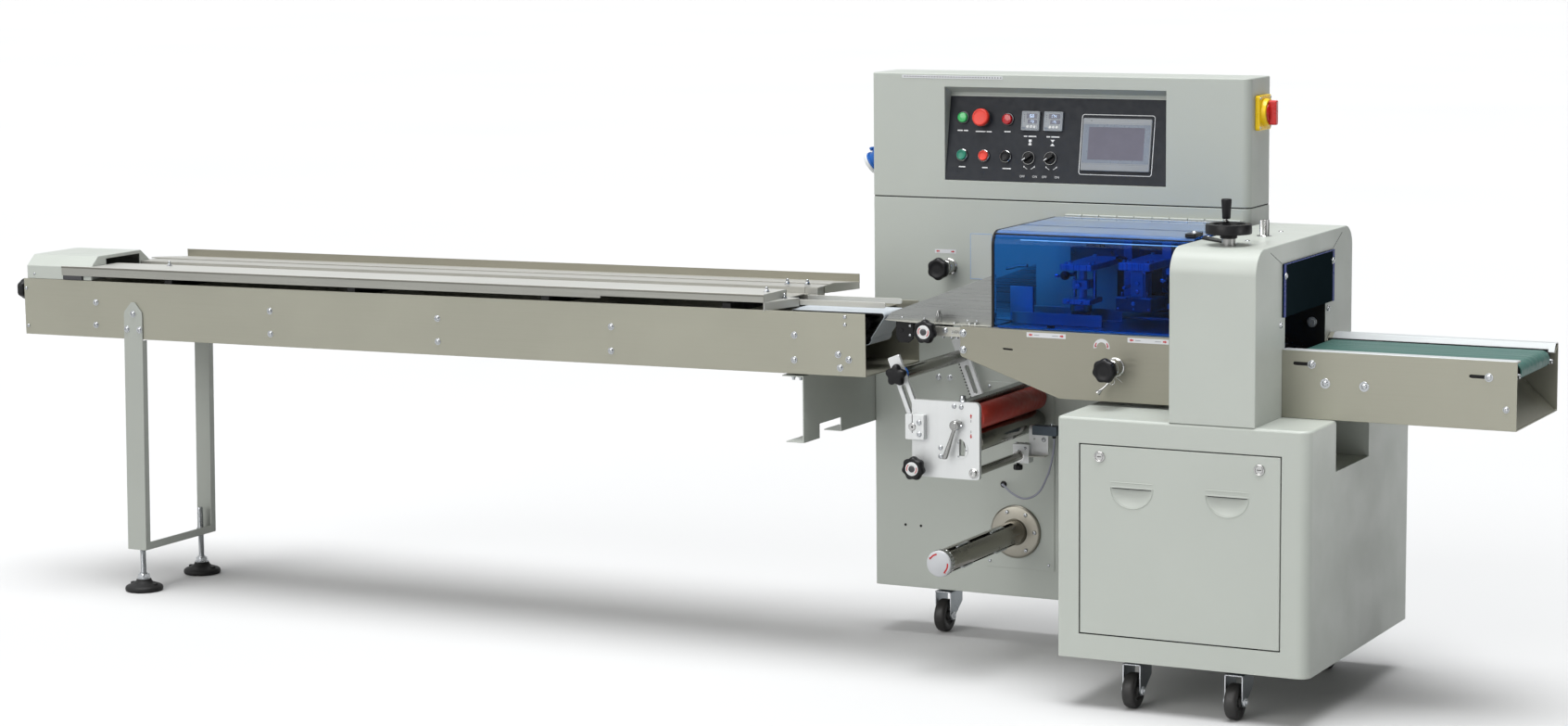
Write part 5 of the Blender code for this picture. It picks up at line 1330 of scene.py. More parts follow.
put("nip_tie_bar_side", block((0.9620, 0.9645), (-0.1140, 0.2887), (0.6560, 0.6740)), STEEL_FORM, bevel=0.0005)
screws("nip_plate_screws", [((x, -0.126, z), OUTWARD, 0.0062, dict(kind="hex", tall=0.45)) for x, z in
                            ((0.9580, 0.6700), (0.9770, 0.6690), (0.9215, 0.5660), (0.9215, 0.5450))])
disc = flat(circle((0.9740, 0.5640), 0.0215, 48), 0.0012)
put("nip_window_disc", carve(disc, flat([(u, v) for u, v in window], 0.01, -0.004)), ALU, xf=on_front(-0.126), bevel=0.0003)
screws("nip_disc_screws", [((x, -0.1272, z), OUTWARD, 0.0024) for x, z in ((0.9700, 0.5810), (0.9905, 0.5640), (0.9700, 0.5475))])
put("nip_post", together(turned(Z, (0.979, -0.120, 0.680), [(0.0085, 0.0), (0.0085, 0.0035), (0.0075, 0.0045), (0.0075, 0.0150), (0.0066, 0.0165), (0.0, 0.0168)], 32)),
    ZINC, smooth=40)
put("nip_arrows", together(flat(arrow((1.0030, 0.6540), 90, 0.0110, 0.0060, 0.0062, 0.0028), 0.0002),
                           flat(arrow((1.0030, 0.5930), -90, 0.0110, 0.0060, 0.0062, 0.0028), 0.0002)), RED_PRINT, xf=on_front(-0.1262))
put("nip_dashes", together(flat([(1.0024, 0.6330), (1.0036, 0.6330), (1.0036, 0.6390), (1.0024, 0.6390)], 0.0002),
                           flat([(1.0024, 0.6070), (1.0036, 0.6070), (1.0036, 0.6130), (1.0024, 0.6130)], 0.0002)), DARK_STEEL, xf=on_front(-0.1262))
put("nip_rod_bolt", together(turned(OUTWARD, (1.010, -0.126, 0.508), [(0.0128, -0.0004), (0.0128, 0.0012), (0.0122, 0.0016), (0.0094, 0.0016), (0.0094, 0.0075),
                                                                      (0.0082, 0.0090), (0.0050, 0.0092, hexed), (0.0046, 0.0050, hexed), (0.0, 0.0048)], 36)),
    CHROME, smooth=35)

for node, (cx, cz), r, mat in (("rubber_roller", (1.000, 0.640), 0.0300, RUBBER_RED), ("steel_roller", (1.000, 0.5825), 0.0265, SHAFT)):
    put(node + "_barrel", turned(Y, (cx, 0, cz), [(0.0110, -0.1088), (r - 0.0022, -0.1090), (r - 0.0006, -0.1082), (r, -0.1066), (r, 0.2760), (r - 0.0008, 0.2776),
                                                  (0.0110, 0.2780)], 64), mat, node, smooth=35, replaces=node)
    put(node + "_journal", together(rod(Y, (cx, 0, cz), 0.0100, -0.1134, -0.1086, 32, 0.0005), rod(Y, (cx, 0, cz), 0.0100, 0.2778, 0.2884, 32, 0.0005),
                                    turned(Y, (cx, 0, cz), [(0.0105, -0.1094), (0.0150, -0.1094), (0.0150, -0.1086)], 32)), CHROME, node, smooth=35)

# clamping lever
put("nip_lever_hub", turned(Y, (0.968, 0, 0.626), [(0.0, -0.1518), (0.0072, -0.1520), (0.0078, -0.1512), (0.0106, -0.1512), (0.0120, -0.1500), (0.0125, -0.1480),
                                                   (0.0125, -0.1300), (0.0118, -0.1285), (0.0105, -0.1264)], 48), LEVER_STEEL, "nip_lever", smooth=35,
    replaces="nip_lever")
tip = Vector((0.943 - 0.968, -0.008, 0.545 - 0.626))
put("nip_lever_arm", turned(tip, (0.968, -0.140, 0.626), [(0.0046, 0.006), (0.0046, 0.030), (0.0050, 0.040), (0.0060, 0.058), (0.0068, 0.072), (0.0068, 0.083),
                                                          (0.0062, 0.0865), (0.0045, 0.0880), (0.0, 0.0882)], 32), LEVER_STEEL, "nip_lever", smooth=40)
put("nip_lever_screw", turned(X, (0.968, -0.137, 0.624), [(0.0036, 0.0110), (0.0036, 0.0155), (0.0030, 0.0165), (0.0016, 0.0165, hexed), (0.0015, 0.0145, hexed),
                                                          (0.0, 0.0145)], 24), ZINC, "nip_lever", smooth=35)

# film guide arm: two slotted arms on a pivot shaft, a rack on the far one
PIVOT, ROLL = Vector((0.853, 0.615)), Vector((0.805, 0.738))
along = (ROLL - PIVOT).normalized()
across = Vector((-along.y, along.x))
head = ROLL + along * 0.030


def arm_outline(r, steps=10):
    """Round at the pivot, square with small radii at the far end."""
    out = []
    base = math.atan2(-along.y, -along.x)
    for k in range(steps * 2 + 1):
        t = base - math.pi / 2 + math.pi * k / (steps * 2)
        out.append(tuple(PIVOT + Vector((math.cos(t), math.sin(t))) * r))
    for side in (-1, 1):
        corner = head + along * (r - 0.005) - across * side * -1 * (r - 0.005) * -1
        for k in range(5):
            f = math.pi / 2 * k / 4
            if side == -1:
                d = across * -1 * math.cos(f) + along * math.sin(f)
            else:
                d = along * math.cos(f) + across * math.sin(f)
            out.append(tuple(head + along * (r - 0.005) + across * side * (r - 0.005) + d * 0.005))
    return out


slot = stadium(tuple(PIVOT + along * 0.034), tuple(PIVOT + along * 0.100), 0.0052, 8)
arms = [carve(prism("y", arm_outline(0.0165), a, b), prism("y", slot, -0.2, 0.4)) for a, b in ((-0.1130, -0.1035), (0.2620, 0.2700))]
put("guide_arms", together(*arms), ALU, "guide_arm", bevel=0.0010, replaces="guide_arm")
teeth = []
for k in range(15):
    p = PIVOT + along * (0.022 + 0.0080 * k) + across * 0.0165
    q = p + along * 0.0056
    teeth.append(prism("y", [tuple(p - across * 0.0010), tuple(q - across * 0.0010), tuple(q + across * 0.0006), tuple(p + along * 0.0034 + across * 0.0046)],
                       0.2622, 0.2698))
put("guide_arm_rack", together(*teeth), BLACK, "guide_arm", smooth=20)
put("guide_arm_shafts", together(rod(Y, (PIVOT.x, 0, PIVOT.y), 0.0090, -0.1425, 0.266, 40, 0.0006), rod(Y, (ROLL.x, 0, ROLL.y), 0.0060, -0.108, 0.266, 32, 0.0005)),
    CHROME, "guide_arm", smooth=35)
put("guide_arm_centre", turned(OUTWARD, (PIVOT.x, -0.1425, PIVOT.y), [(0.0026, -0.0002), (0.0024, 0.00012), (0.0, 0.0002)], 24), DARK, "guide_arm", smooth=40)
put("guide_arm_pin", turned(OUTWARD, tuple((*((PIVOT + along * 0.022 + across * 0.010).xy[:1]), -0.113, (PIVOT + along * 0.022 + across * 0.010).y)),
                            [(0.0042, -0.0006), (0.0042, 0.0001), (0.0036, 0.0002), (0.0028, -0.0003), (0.0, -0.0003)], 28), CHROME, "guide_arm", smooth=35)
put("guide_roller_barrel", turned(Y, (ROLL.x, 0, ROLL.y), [(0.0065, -0.0990), (0.0150, -0.0990), (0.0158, -0.0982), (0.0160, -0.0972), (0.0160, 0.2572),
                                                           (0.0152, 0.2585), (0.0065, 0.2585)], 56, bored=True), SHAFT, "guide_roller", smooth=35,
    replaces="guide_roller")
put("guide_roller_ring", turned(Y, (ROLL.x, 0, ROLL.y), [(0.0068, -0.1008), (0.0120, -0.1008), (0.0126, -0.1002), (0.0162, -0.1002), (0.0176, -0.0992), (0.0176, -0.0950),
                                                         (0.0162, -0.0940), (0.0068, -0.0940)], 48, bored=True), BLUE_PLASTIC, "guide_roller", smooth=40)
put("star_knob_stem", turned(OUTWARD, (ROLL.x, -0.113, ROLL.y), [(0.0125, 0.0003), (0.0125, 0.0018), (0.0100, 0.0022), (0.0100, 0.0080)], 36), CHROME, "star_knob",
    smooth=35)
h = 0.0265
star, star_half = lobed(5, 0.26, 0.9), lobed(5, 0.20, 0.9)
put("star_knob_head", turned(OUTWARD, (ROLL.x, -0.113, ROLL.y), [
    (h * 0.42, 0.0070), (h * 0.66, 0.0078, star_half), (h * 0.94, 0.0090, star), (h * 1.04, 0.0115, star), (h * 1.06, 0.0165, star), (h * 1.04, 0.0220, star),
    (h * 0.97, 0.0262, star), (h * 0.84, 0.0288, star_half), (h * 0.60, 0.0297, star_half), (h * 0.30, 0.0301), (0.0, 0.0302)], 110), BLACK, "star_knob", smooth=50,
    replaces="star_knob")


def dial_face(node, at, start, r):
    """Round printed face on a knob: a white disc with a grey middle and two red arcs."""
    y = at[1] - start - r * 0.82 * 0.94
    c = (at[0], at[2])
    put(node + "_disc", turned(OUTWARD, (c[0], y, c[1]), [(r * 0.56, -0.0006), (r * 0.56, 0.0006), (r * 0.54, 0.0009), (r * 0.36, 0.0009), (r * 0.35, 0.0005),
                                                          (r * 0.30, 0.0005), (0.0, 0.0007)], 48), WHITE, node, smooth=40)
    put(node + "_boss", turned(OUTWARD, (c[0], y, c[1]), [(r * 0.27, 0.0004), (r * 0.27, 0.0018), (r * 0.23, 0.0022), (0.0, 0.0022)], 36), DARK_STEEL, node, smooth=40)
    put(node + "_arcs", together(flat(sector(c, r * 0.40, r * 0.47, 130, 205), 0.0002), flat(sector(c, r * 0.40, r * 0.47, -50, 20), 0.0002)), RED_PRINT, node,
        xf=on_front(y - 0.0009))


for node, at in (("knob_former", (0.893, -0.118, 0.852)), ("knob_nip", (0.864, -0.126, 0.516))):
    put(node + "_stem", turned(OUTWARD, at, [(0.0115, 0.0003), (0.0115, 0.0030), (0.0100, 0.0036), (0.0100, 0.0200)], 36), CHROME, node, smooth=35)
    hand_knob(node, at, OUTWARD, 0.020, 0.030, 7, depth=0.12)
    dial_face(node, at, 0.020, 0.030)

# mark sensor on its cross rod
put("sensor_rod", together(rod(Y, (1.008, 0, 0.509), 0.0105, -0.1136, 0.2885, 48, 0.0008)), SHAFT, smooth=35, replaces="sensor_bracket")
clampb = prism("y", rounded((0.992, 1.036), (0.492, 0.540), 0.0030, 4), 0.150, 0.178)
put("sensor_clamp", carve(clampb, rod(Y, (1.008, 0, 0.509), 0.0108, 0.1, 0.2, 40), block((0.985, 1.008), (0.1, 0.2), (0.508, 0.510))), ALU, bevel=0.0010)
put("sensor_clamp_ring", turned(OUTWARD, (1.008, 0.150, 0.509), [(0.0108, -0.0004), (0.0150, -0.0004), (0.0150, 0.0006), (0.0140, 0.0010), (0.0108, 0.0010)], 40, bored=True),
    CHROME, smooth=35)
screws("sensor_clamp_screws", [((1.026, 0.150, 0.530), OUTWARD, 0.0040, dict(kind="hex")), ((0.998, 0.164, 0.540), Z, 0.0040, dict(kind="hex")),
                               ((1.022, 0.164, 0.540), Z, 0.0040, dict(kind="hex"))])
plate2 = prism("y", rounded((1.030, 1.082), (0.512, 0.572), 0.0030, 4), 0.1640, 0.1665)
put("sensor_plate", carve(plate2, rod(Y, (1.045, 0, 0.553), 0.0028, 0.1, 0.2, 20)), ALU, bevel=0.0004)
put("sensor_plate_fold", prism("y", [(1.036, 0.5105), (1.082, 0.5120), (1.082, 0.5140), (1.036, 0.5125)], 0.1400, 0.1665), STEEL_TABLE, bevel=0.0003)
screws("sensor_plate_screws", [((1.070, 0.164, 0.552), OUTWARD, 0.0042, dict(washer=0.0062))])
headb = prism("y", rounded((1.0400, 1.1060), (0.5635, 0.5870), 0.0025, 4), 0.160, 0.186)
put("sensor_head", headb, MOTOR, bevel=0.0010, seg=3)
put("sensor_lens", turned((-1, 0, 0), (1.0400, 0.173, 0.5755), [(0.0110, -0.0005), (0.0110, 0.0070), (0.0104, 0.0092), (0.0085, 0.0098), (0.0075, 0.0090), (0.0, 0.0096)], 40), WHITE,
    smooth=40)
put("sensor_gland", together(turned((0, 0, -1), (1.0945, 0.173, 0.5640), [(0.0052, 0.0), (0.0052, 0.0060), (0.0040, 0.0078), (0.0028, 0.0080)], 28)), BLACK, smooth=40)
put("sensor_stud", together(turned(Z, (1.0880, 0.173, 0.5865), [(0.0048, 0.0), (0.0048, 0.0060), (0.0038, 0.0066), (0.0, 0.0068)], 28)), ZINC, smooth=40)
put("sensor_thumb_knob", together(turned((0, 0, -1), (1.003, 0.158, 0.4925), [(0.0042, -0.0006), (0.0042, 0.0050), (0.0088, 0.0056), (0.0122, 0.0075, lobed(8, 0.10)),
                                                                              (0.0126, 0.0150, lobed(8, 0.10)), (0.0112, 0.0185, lobed(8, 0.08)), (0.0060, 0.0196), (0.0, 0.0198)], 64)),
    BLACK, smooth=45)

# ------------------------------------------------------- forming section
BED = 0.865
bed = prism("y", [(0.972, BED), (0.972, 0.793), (1.231, 0.704), (1.578, 0.704), (1.578, BED)], -0.120, -0.117)
soften(bed, lambda m, d: abs(d.y) > 0.9 and m.x < 1.3 and m.z < 0.80, 0.006, 5)
# the front panel takes the darker stainless copy: painted shade
put("bed_front_panel", carve(bed, prism("y", stadium((1.0865, 0.8165), (1.1085, 0.8155), 0.0022, 6), -0.2, 0.0)), STEEL_BED_SHADED, bevel=0.0006,
    replaces="bed_panel")
# dark block behind the slot: painted shade
put("bed_slot_shade", block((1.080, 1.115), (-0.1169, -0.1160), (0.810, 0.823)), DARK)
put("bed_top_plate", block((0.972, 1.578), (-0.1165, 0.2887), (BED - 0.003, BED)), STEEL_TABLE, bevel=0.0005)
screws("bed_screws", [((0.980, -0.120, z), OUTWARD, 0.0070, dict(washer=0.0094)) for z in (0.8490, 0.8085)])

# bracket bar that carries the forming box
angle = prism("x", folded([(-0.118, 0.8622), (-0.118, 0.8385), (-0.094, 0.8385)], 0.0025), 0.862, 0.9720)
put("former_bar", angle, STEEL_TABLE, bevel=0.0005)
put("former_bar_tab", prism("y", [(0.9420, 0.8380), (0.9700, 0.8380), (0.9700, 0.8600), (0.9420, 0.8600)], -0.1160, -0.1135), DARK_STEEL, bevel=0.0004)
put("former_bar_spring", tube([(0.9480 + 0.0009 * k, -0.1170 + 0.0042 * math.cos(k * 1.05), 0.8510 + 0.0042 * math.sin(k * 1.05)) for k in range(28)], 0.0008, 6),
    ZINC)
screws("former_bar_screws", [((0.9315, -0.118, 0.8530), OUTWARD, 0.0056, dict(washer=0.0074))]
       + [((x, -0.106, 0.8372), (0, 0, -1), 0.0040, dict(kind="hexhead", washer=0.0056)) for x in (0.920, 0.944, 0.958)])

# forming box: base, two tall sides, outward flange
put("former_base", block((0.752, 1.052), (-0.084, 0.160), (BED + 0.0006, BED + 0.0030)), STEEL_FORM, bevel=0.0004, replaces="film_former")
side = [(0.7560, BED + 0.0010), (1.0520, BED + 0.0010), (1.0520, 0.9920), (0.7720, 0.8870), (0.7590, 0.8740)]
for name, a, b in (("front", -0.0840, -0.0820), ("rear", 0.1580, 0.1600)):
    put("former_side_" + name, prism("y", side, a, b), STEEL_FORM, bevel=0.0005)
lip = [(0.7560, -0.0838), (1.0500, -0.0838), (1.0500, -0.1110), (0.8560, -0.1110), (0.7600, -0.0900), (0.7545, -0.0855)]
put("former_flange", prism("z", lip, BED + 0.0012, BED + 0.0030), STEEL_TABLE, bevel=0.0004)
screws("former_screws", [((x, -0.0925, BED + 0.0030), Z, 0.0036, dict(kind="hexhead")) for x in (0.860, 0.945, 0.985, 1.000)]
       + [((x, -0.0840, 0.8745), OUTWARD, 0.0026) for x in (0.800, 0.860, 0.975, 1.000)])
for k, (x, y) in enumerate(((0.8950, -0.0900), (1.0440, -0.0900))):
    put("former_fork_%d" % (k + 1), together(
        tube(bends([(x - 0.005, y, BED + 0.002), (x, y - 0.002, BED + 0.016), (x + 0.004, y + 0.001, BED + 0.032)], 0.006), 0.0012, 10),
        tube(bends([(x + 0.008, y, BED + 0.002), (x + 0.0075, y - 0.002, BED + 0.014), (x + 0.004, y + 0.001, BED + 0.032)], 0.006), 0.0012, 10)), CHROME, smooth=50)
put("former_folder", together(prism("z", [(0.985, 0.030), (1.058, 0.006), (1.058, 0.070), (0.985, 0.046)], BED + 0.0035, BED + 0.0050),
                              block((1.044, 1.058), (0.034, 0.042), (BED + 0.004, BED + 0.022))), STEEL_TABLE, bevel=0.0004)
# guide roller below the mouth of the forming box, between two black bearers
put("former_roller", together(turned(Y, (0.7970, 0, 0.8430), [(0.005, -0.0740), (0.0095, -0.0740), (0.0100, -0.0735), (0.0155, -0.0735), (0.0165, -0.0725), (0.0165, 0.1490),
                                                              (0.0155, 0.1500), (0.005, 0.1500)], 44), rod(Y, (0.7970, 0, 0.8430), 0.0052, -0.0830, 0.1590, 28, 0.0005)), BLACK, smooth=35)
put("former_bearers", together(*[prism("y", [(0.7820, 0.8240), (0.7900, 0.8130), (0.8160, 0.8130), (0.8280, 0.8230), (0.8280, 0.8655), (0.7820, 0.8655)], a, b)
                                 for a, b in ((-0.0815, -0.0755), (0.1515, 0.1575))]), BLACK, bevel=0.0008)
screws("former_bearer_screws", [((x, -0.0815, z), OUTWARD, 0.0036) for x, z in ((0.8200, 0.8320), (0.8200, 0.8550))])

# printed strips on the front panel: bare labels with red arrows
for k, (x0, x1, z0, z1) in enumerate(((1.1470, 1.2480, 0.8485, 0.8600), (1.4060, 1.5100, 0.8485, 0.8600))):
    put("slide_label_%d" % (k + 1), flat(rounded((x0, x1), (z0, z1), 0.0010, 3), 0.0005), LABEL, xf=on_front(-0.120))
    put("slide_arrows_%d" % (k + 1), together(flat(arrow((x0 + 0.0045, (z0 + z1) / 2), 180, 0.0105, 0.0055, 0.0068, 0.0034), 0.0002),
                                              flat(arrow((x1 - 0.0045, (z0 + z1) / 2), 0, 0.0105, 0.0055, 0.0068, 0.0034), 0.0002)), RED_PRINT, xf=on_front(-0.1205))
    put("slide_marks_%d" % (k + 1), together(flat(rounded((x0 + 0.0190, x0 + 0.0330), (z0 + 0.0048, z0 + 0.0064), 0.0006, 2), 0.0002),
                                             flat(rounded((x1 - 0.0350, x1 - 0.0190), (z0 + 0.0048, z0 + 0.0064), 0.0006, 2), 0.0002)), METER_FACE,
        xf=on_front(-0.1205))
put("turn_label", flat(sector((1.3400, 0.8330), 0.0125, 0.0205, -8, 188, 24), 0.0004), LABEL, xf=on_front(-0.120))
put("turn_arrows", together(flat(sector((1.3400, 0.8330), 0.0152, 0.0178, 6, 40), 0.0002), flat(sector((1.3400, 0.8330), 0.0152, 0.0178, 140, 174), 0.0002),
                            flat(arrow((1.3560, 0.8318), -80, 0.0050, 0.0048, 0.0058, 0.0020), 0.0002),
                            flat(arrow((1.3240, 0.8318), 260, 0.0050, 0.0048, 0.0058, 0.0020), 0.0002)), RED_PRINT, xf=on_front(-0.1204))

# front adjusting knob with collar and cotter-type lock
put("knob_front_collar", turned(OUTWARD, (1.376, -0.120, 0.788), [(0.0215, 0.0003), (0.0230, 0.0012), (0.0230, 0.0035), (0.0205, 0.0045), (0.0195, 0.0300), (0.0180, 0.0315),
                                                                  (0.0180, 0.0440), (0.0145, 0.0455), (0.0145, 0.0560)], 56), CHROME, "knob_front", smooth=35)
hand_knob("knob_front", (1.376, -0.120, 0.788), OUTWARD, 0.056, 0.030, 7, depth=0.09)
put("knob_front_lock", together(tube(bends([(1.3720, -0.1440, 0.7740), (1.3700, -0.1450, 0.7560), (1.3620, -0.1470, 0.7460), (1.3500, -0.1500, 0.7350)], 0.010), 0.0026, 12),
                                turned((-0.012, -0.003, -0.011), (1.3520, -0.1495, 0.7365), [(0.0028, 0.0), (0.0040, 0.003), (0.0066, 0.0105), (0.0068, 0.0125), (0.0050, 0.0128),
                                                                                            (0.0, 0.0100)], 28),
                                tube(bends([(1.3790, -0.1440, 0.7700), (1.3850, -0.1450, 0.7560), (1.3780, -0.1455, 0.7480), (1.3690, -0.1455, 0.7540)], 0.008), 0.0012, 10),
                                tube([(1.3850, -0.1420, 0.7680), (1.4000, -0.1400, 0.7560)], 0.0010, 8)), CHROME, smooth=50)

# ------------------------------------------------------ fin-seal unit
put("fin_rail", together(block((1.120, 1.558), (0.215, 0.252), (0.995, 1.032)), block((1.150, 1.182), (0.245, 0.2887), (0.985, 1.040)),
                         block((1.500, 1.532), (0.245, 0.2887), (0.985, 1.040))), DARK_STEEL, "frame", bevel=0.0015, replaces="fin_seal_unit")
heads = ((1.178, 1.262, 0.998, 1.012), (1.330, 1.412, 1.004, 1.022), (1.452, 1.532, 0.998, 1.012))
# arms, posts and feet of the heads take the lightened stainless: painted light under the guard
for k, (x0, x1, z0, z1) in enumerate(heads):
    n = "fin_head_%d" % (k + 1)
    xm = (x0 + x1) / 2
    put(n + "_arm", prism("z", rounded((x0, x1), (0.006, 0.225), 0.004, 4), z0, z1), STEEL_INSIDE_LIT, bevel=0.0012)
    screws(n + "_bolts", [((x, y, z1), Z, 0.0048, dict(kind="cap")) for x in (x0 + 0.012, x1 - 0.012) for y in (0.020, 0.050, 0.205)])
    if k == 1:
        put(n + "_post", block((1.352, 1.390), (0.034, 0.076), (0.935, 1.006)), STEEL_INSIDE_LIT, bevel=0.0012)
        put(n + "_mast", together(block((1.300, 1.322), (0.120, 0.170), (0.905, 1.078)), block((1.395, 1.420), (0.130, 0.185), (0.940, 1.070))), FORK, bevel=0.0015)
        put(n + "_face", block((1.356, 1.386), (0.0300, 0.0345), (0.938, 1.000)), STEEL_TABLE, bevel=0.0008)
        put(n + "_block", block((1.326, 1.416), (0.004, 0.098), (0.905, 0.936)), GREEN_BLOCK, bevel=0.0015)
        put(n + "_strips", together(block((1.326, 1.352), (0.002, 0.020), (0.936, 0.9395)), block((1.390, 1.416), (0.002, 0.020), (0.936, 0.9395))), STEEL_TABLE, bevel=0.0006)
        put(n + "_studs", together(*[rod(Z, (x, 0.011, 0), 0.0016, 0.939, 0.952, 16, 0.0003) for x in (1.339, 1.403)]), ZINC)
        screws(n + "_screws", [((1.371, 0.0300, z), OUTWARD, 0.0058, dict(kind="hex")) for z in (0.951, 0.970)]
               + [((1.371, 0.0040, z), OUTWARD, 0.0050, dict(kind="hex")) for z in (0.925,)]
               + [((x, 0.0040, 0.912), OUTWARD, 0.0030) for x in (1.332, 1.371, 1.410)])
        put(n + "_pins", together(rod(Y, (1.3460, 0, 0.962), 0.0040, 0.004, 0.060, 24, 0.0006), rod(Y, (1.3960, 0, 1.000), 0.0040, 0.010, 0.060, 24, 0.0006)), CHROME)
        put(n + "_loop", tube(bends([(1.336, 0.090, 1.012), (1.318, 0.070, 1.030), (1.296, 0.080, 1.026), (1.284, 0.140, 1.008)], 0.02), 0.0032, 12), RUBBER_BLACK, smooth=50)
        continue
    put(n + "_column", together(rod(Z, (xm, 0.050, 0), 0.0120, 0.926, z0 + 0.001, 36, 0.0008), block((xm - 0.020, xm + 0.020), (0.034, 0.070), (0.950, 0.972))), STEEL_INSIDE_LIT, bevel=0.0010)
    put(n + "_rods", together(*[rod(Z, (xm + dx, 0.066, 0), 0.0050, 0.926, z0 + 0.001, 24, 0.0006) for dx in (-0.026, 0.026)]), CHROME)
    put(n + "_foot", prism("z", rounded((xm - 0.038, xm + 0.038), (0.010, 0.092), 0.006, 5), 0.9150, 0.9275), STEEL_INSIDE_LIT, bevel=0.0012)
    screws(n + "_foot_screws", [((xm + dx, 0.010, 0.9212), OUTWARD, 0.0042, dict(kind="hex")) for dx in (-0.020, 0.014)])
    put(n + "_wheels", together(*[turned(Z, (xm + dx, 0.046, 0), [(0.004, 0.8960), (0.0250, 0.8960), (0.0262, 0.8975), (0.0262, 0.9130), (0.0245, 0.9146), (0.004, 0.9146)], 48)
                                  for dx in (-0.0005,)]), SHAFT, smooth=35)
    put(n + "_tyre", turned(Z, (xm - 0.0005, 0.046, 0), [(0.0200, 0.8690), (0.0235, 0.8700), (0.0240, 0.8720), (0.0240, 0.8930), (0.0225, 0.8950), (0.0100, 0.8958)], 48), DARK_STEEL, smooth=35)
    put(n + "_clamp_screw", together(turned(OUTWARD, (xm, 0.034, 0.961), [(0.0060, 0.0), (0.0060, 0.010), (0.0052, 0.012), (0.0, 0.0122)], 28)), ZINC, smooth=35)
    put(n + "_ball", turned((-0.5, -0.86, 0.0), (xm - 0.012, 0.036, 0.985), [(0.0034, 0.0), (0.0034, 0.018), (0.0070, 0.0205), (0.0105, 0.0255), (0.0115, 0.0310), (0.0105, 0.0365), (0.0070, 0.0412),
                                                                             (0.0, 0.0426)], 32), BLACK, smooth=50)
    put(n + "_handle", tube(bends([(xm - 0.006, 0.028, 0.988), (xm - 0.020, 0.016, 0.990), (xm - 0.040, 0.010, 0.982), (xm - 0.052, 0.006, 0.984)], 0.012), 0.0028, 12,
                            taper=lambda f: 1.0 + 0.7 * max(0.0, f - 0.75) * 4 * (1.0 if f < 1 else 0.8)), CHROME, smooth=50)
# a back plate and dark housings behind the heads
put("fin_back_plate", block((1.270, 1.556), (0.2530, 0.2880), (0.875, 1.070)), DARK_STEEL, bevel=0.002)
put("fin_drive_housing", together(block((1.266, 1.318), (0.160, 0.214), (0.900, 0.990)), block((1.420, 1.450), (0.100, 0.212), (0.880, 0.985))), BLACK, bevel=0.003, seg=3)
put("fin_window", prism("y", rounded((1.052, 1.112), (0.872, 0.955), 0.0015, 3), 0.0000, 0.0025), LABEL, bevel=0.0006)
put("fin_window_edge", block((1.1118, 1.1140), (-0.0005, 0.0030), (0.872, 0.9555)), DARK_STEEL, bevel=0.0003)
put("fin_handle", tube(bends([(1.018, 0.055, 0.9905), (1.034, 0.050, 0.9925), (1.050, 0.044, 0.9990), (1.080, 0.040, 1.0010)], 0.012), 0.0042, 14), CHROME, smooth=50)
put("fin_slide", together(block((1.066, 1.560), (-0.1080, -0.0960), (BED + 0.0004, BED + 0.0060)), block((1.066, 1.560), (0.180, 0.196), (BED + 0.0004, BED + 0.0060))), STEEL_TABLE, bevel=0.0008)
put("fin_catch", together(block((1.196, 1.212), (-0.1100, -0.0980), (BED + 0.0060, BED + 0.0120))), BLACK, bevel=0.0010)
put("product_channel", together(prism("x", folded([(-0.020, BED + 0.030), (-0.020, BED + 0.0012), (0.000, BED + 0.0012)], 0.0015), 1.066, 1.300),
                                prism("x", folded([(0.092, BED + 0.0012), (0.112, BED + 0.0012), (0.112, BED + 0.030)], 0.0015), 1.066, 1.300)), STEEL_TABLE, bevel=0.0004)

# ---------------------------------------------------------- hinged guard
bend = 0.034
arc = [(-0.120 + bend - bend * math.cos(math.radians(a)), 1.100 - bend + bend * math.sin(math.radians(a))) for a in range(0, 91, 6)]
sheet = prism("x", folded([(-0.120, BED + 0.003)] + arc + [(0.266, 1.100)], -0.005), 1.060, 1.565)
put("guard_sheet", sheet, LID, "guard_lid", smooth=20, replaces="guard_lid")
trim = []
path = [(-0.1204, BED + 0.0034)] + [(-0.1204 + (bend + 0.0004) - (bend + 0.0004) * math.cos(math.radians(a)), 1.1004 - bend - 0.0004 + (bend + 0.0004) * math.sin(math.radians(a)))
                                    for a in range(0, 91, 6)] + [(0.262, 1.1004)]
put("guard_edge_trim", prism("x", folded(path, -0.0058), 1.0552, 1.0614), BLACK, "guard_lid", bevel=0.0004, seg=1)
put("guard_top_line", tube([(x, -0.1088, 1.0926) for x in (1.0570, 1.20, 1.40, 1.5640)], 0.0021, 10, taper=lambda f: 1.0 - 0.30 * f), BLACK, "guard_lid", smooth=60)
# light blue line along the front of the sheet under its bend, standing partly for a glued edge strip and partly for a
# painted highlight of the bend
put("guard_highlight_line", tube([(x, -0.1176, 1.0806) for x in (1.130, 1.30, 1.45, 1.5640)], 0.0015, 10), LIGHT_BLUE, "guard_lid", smooth=60)
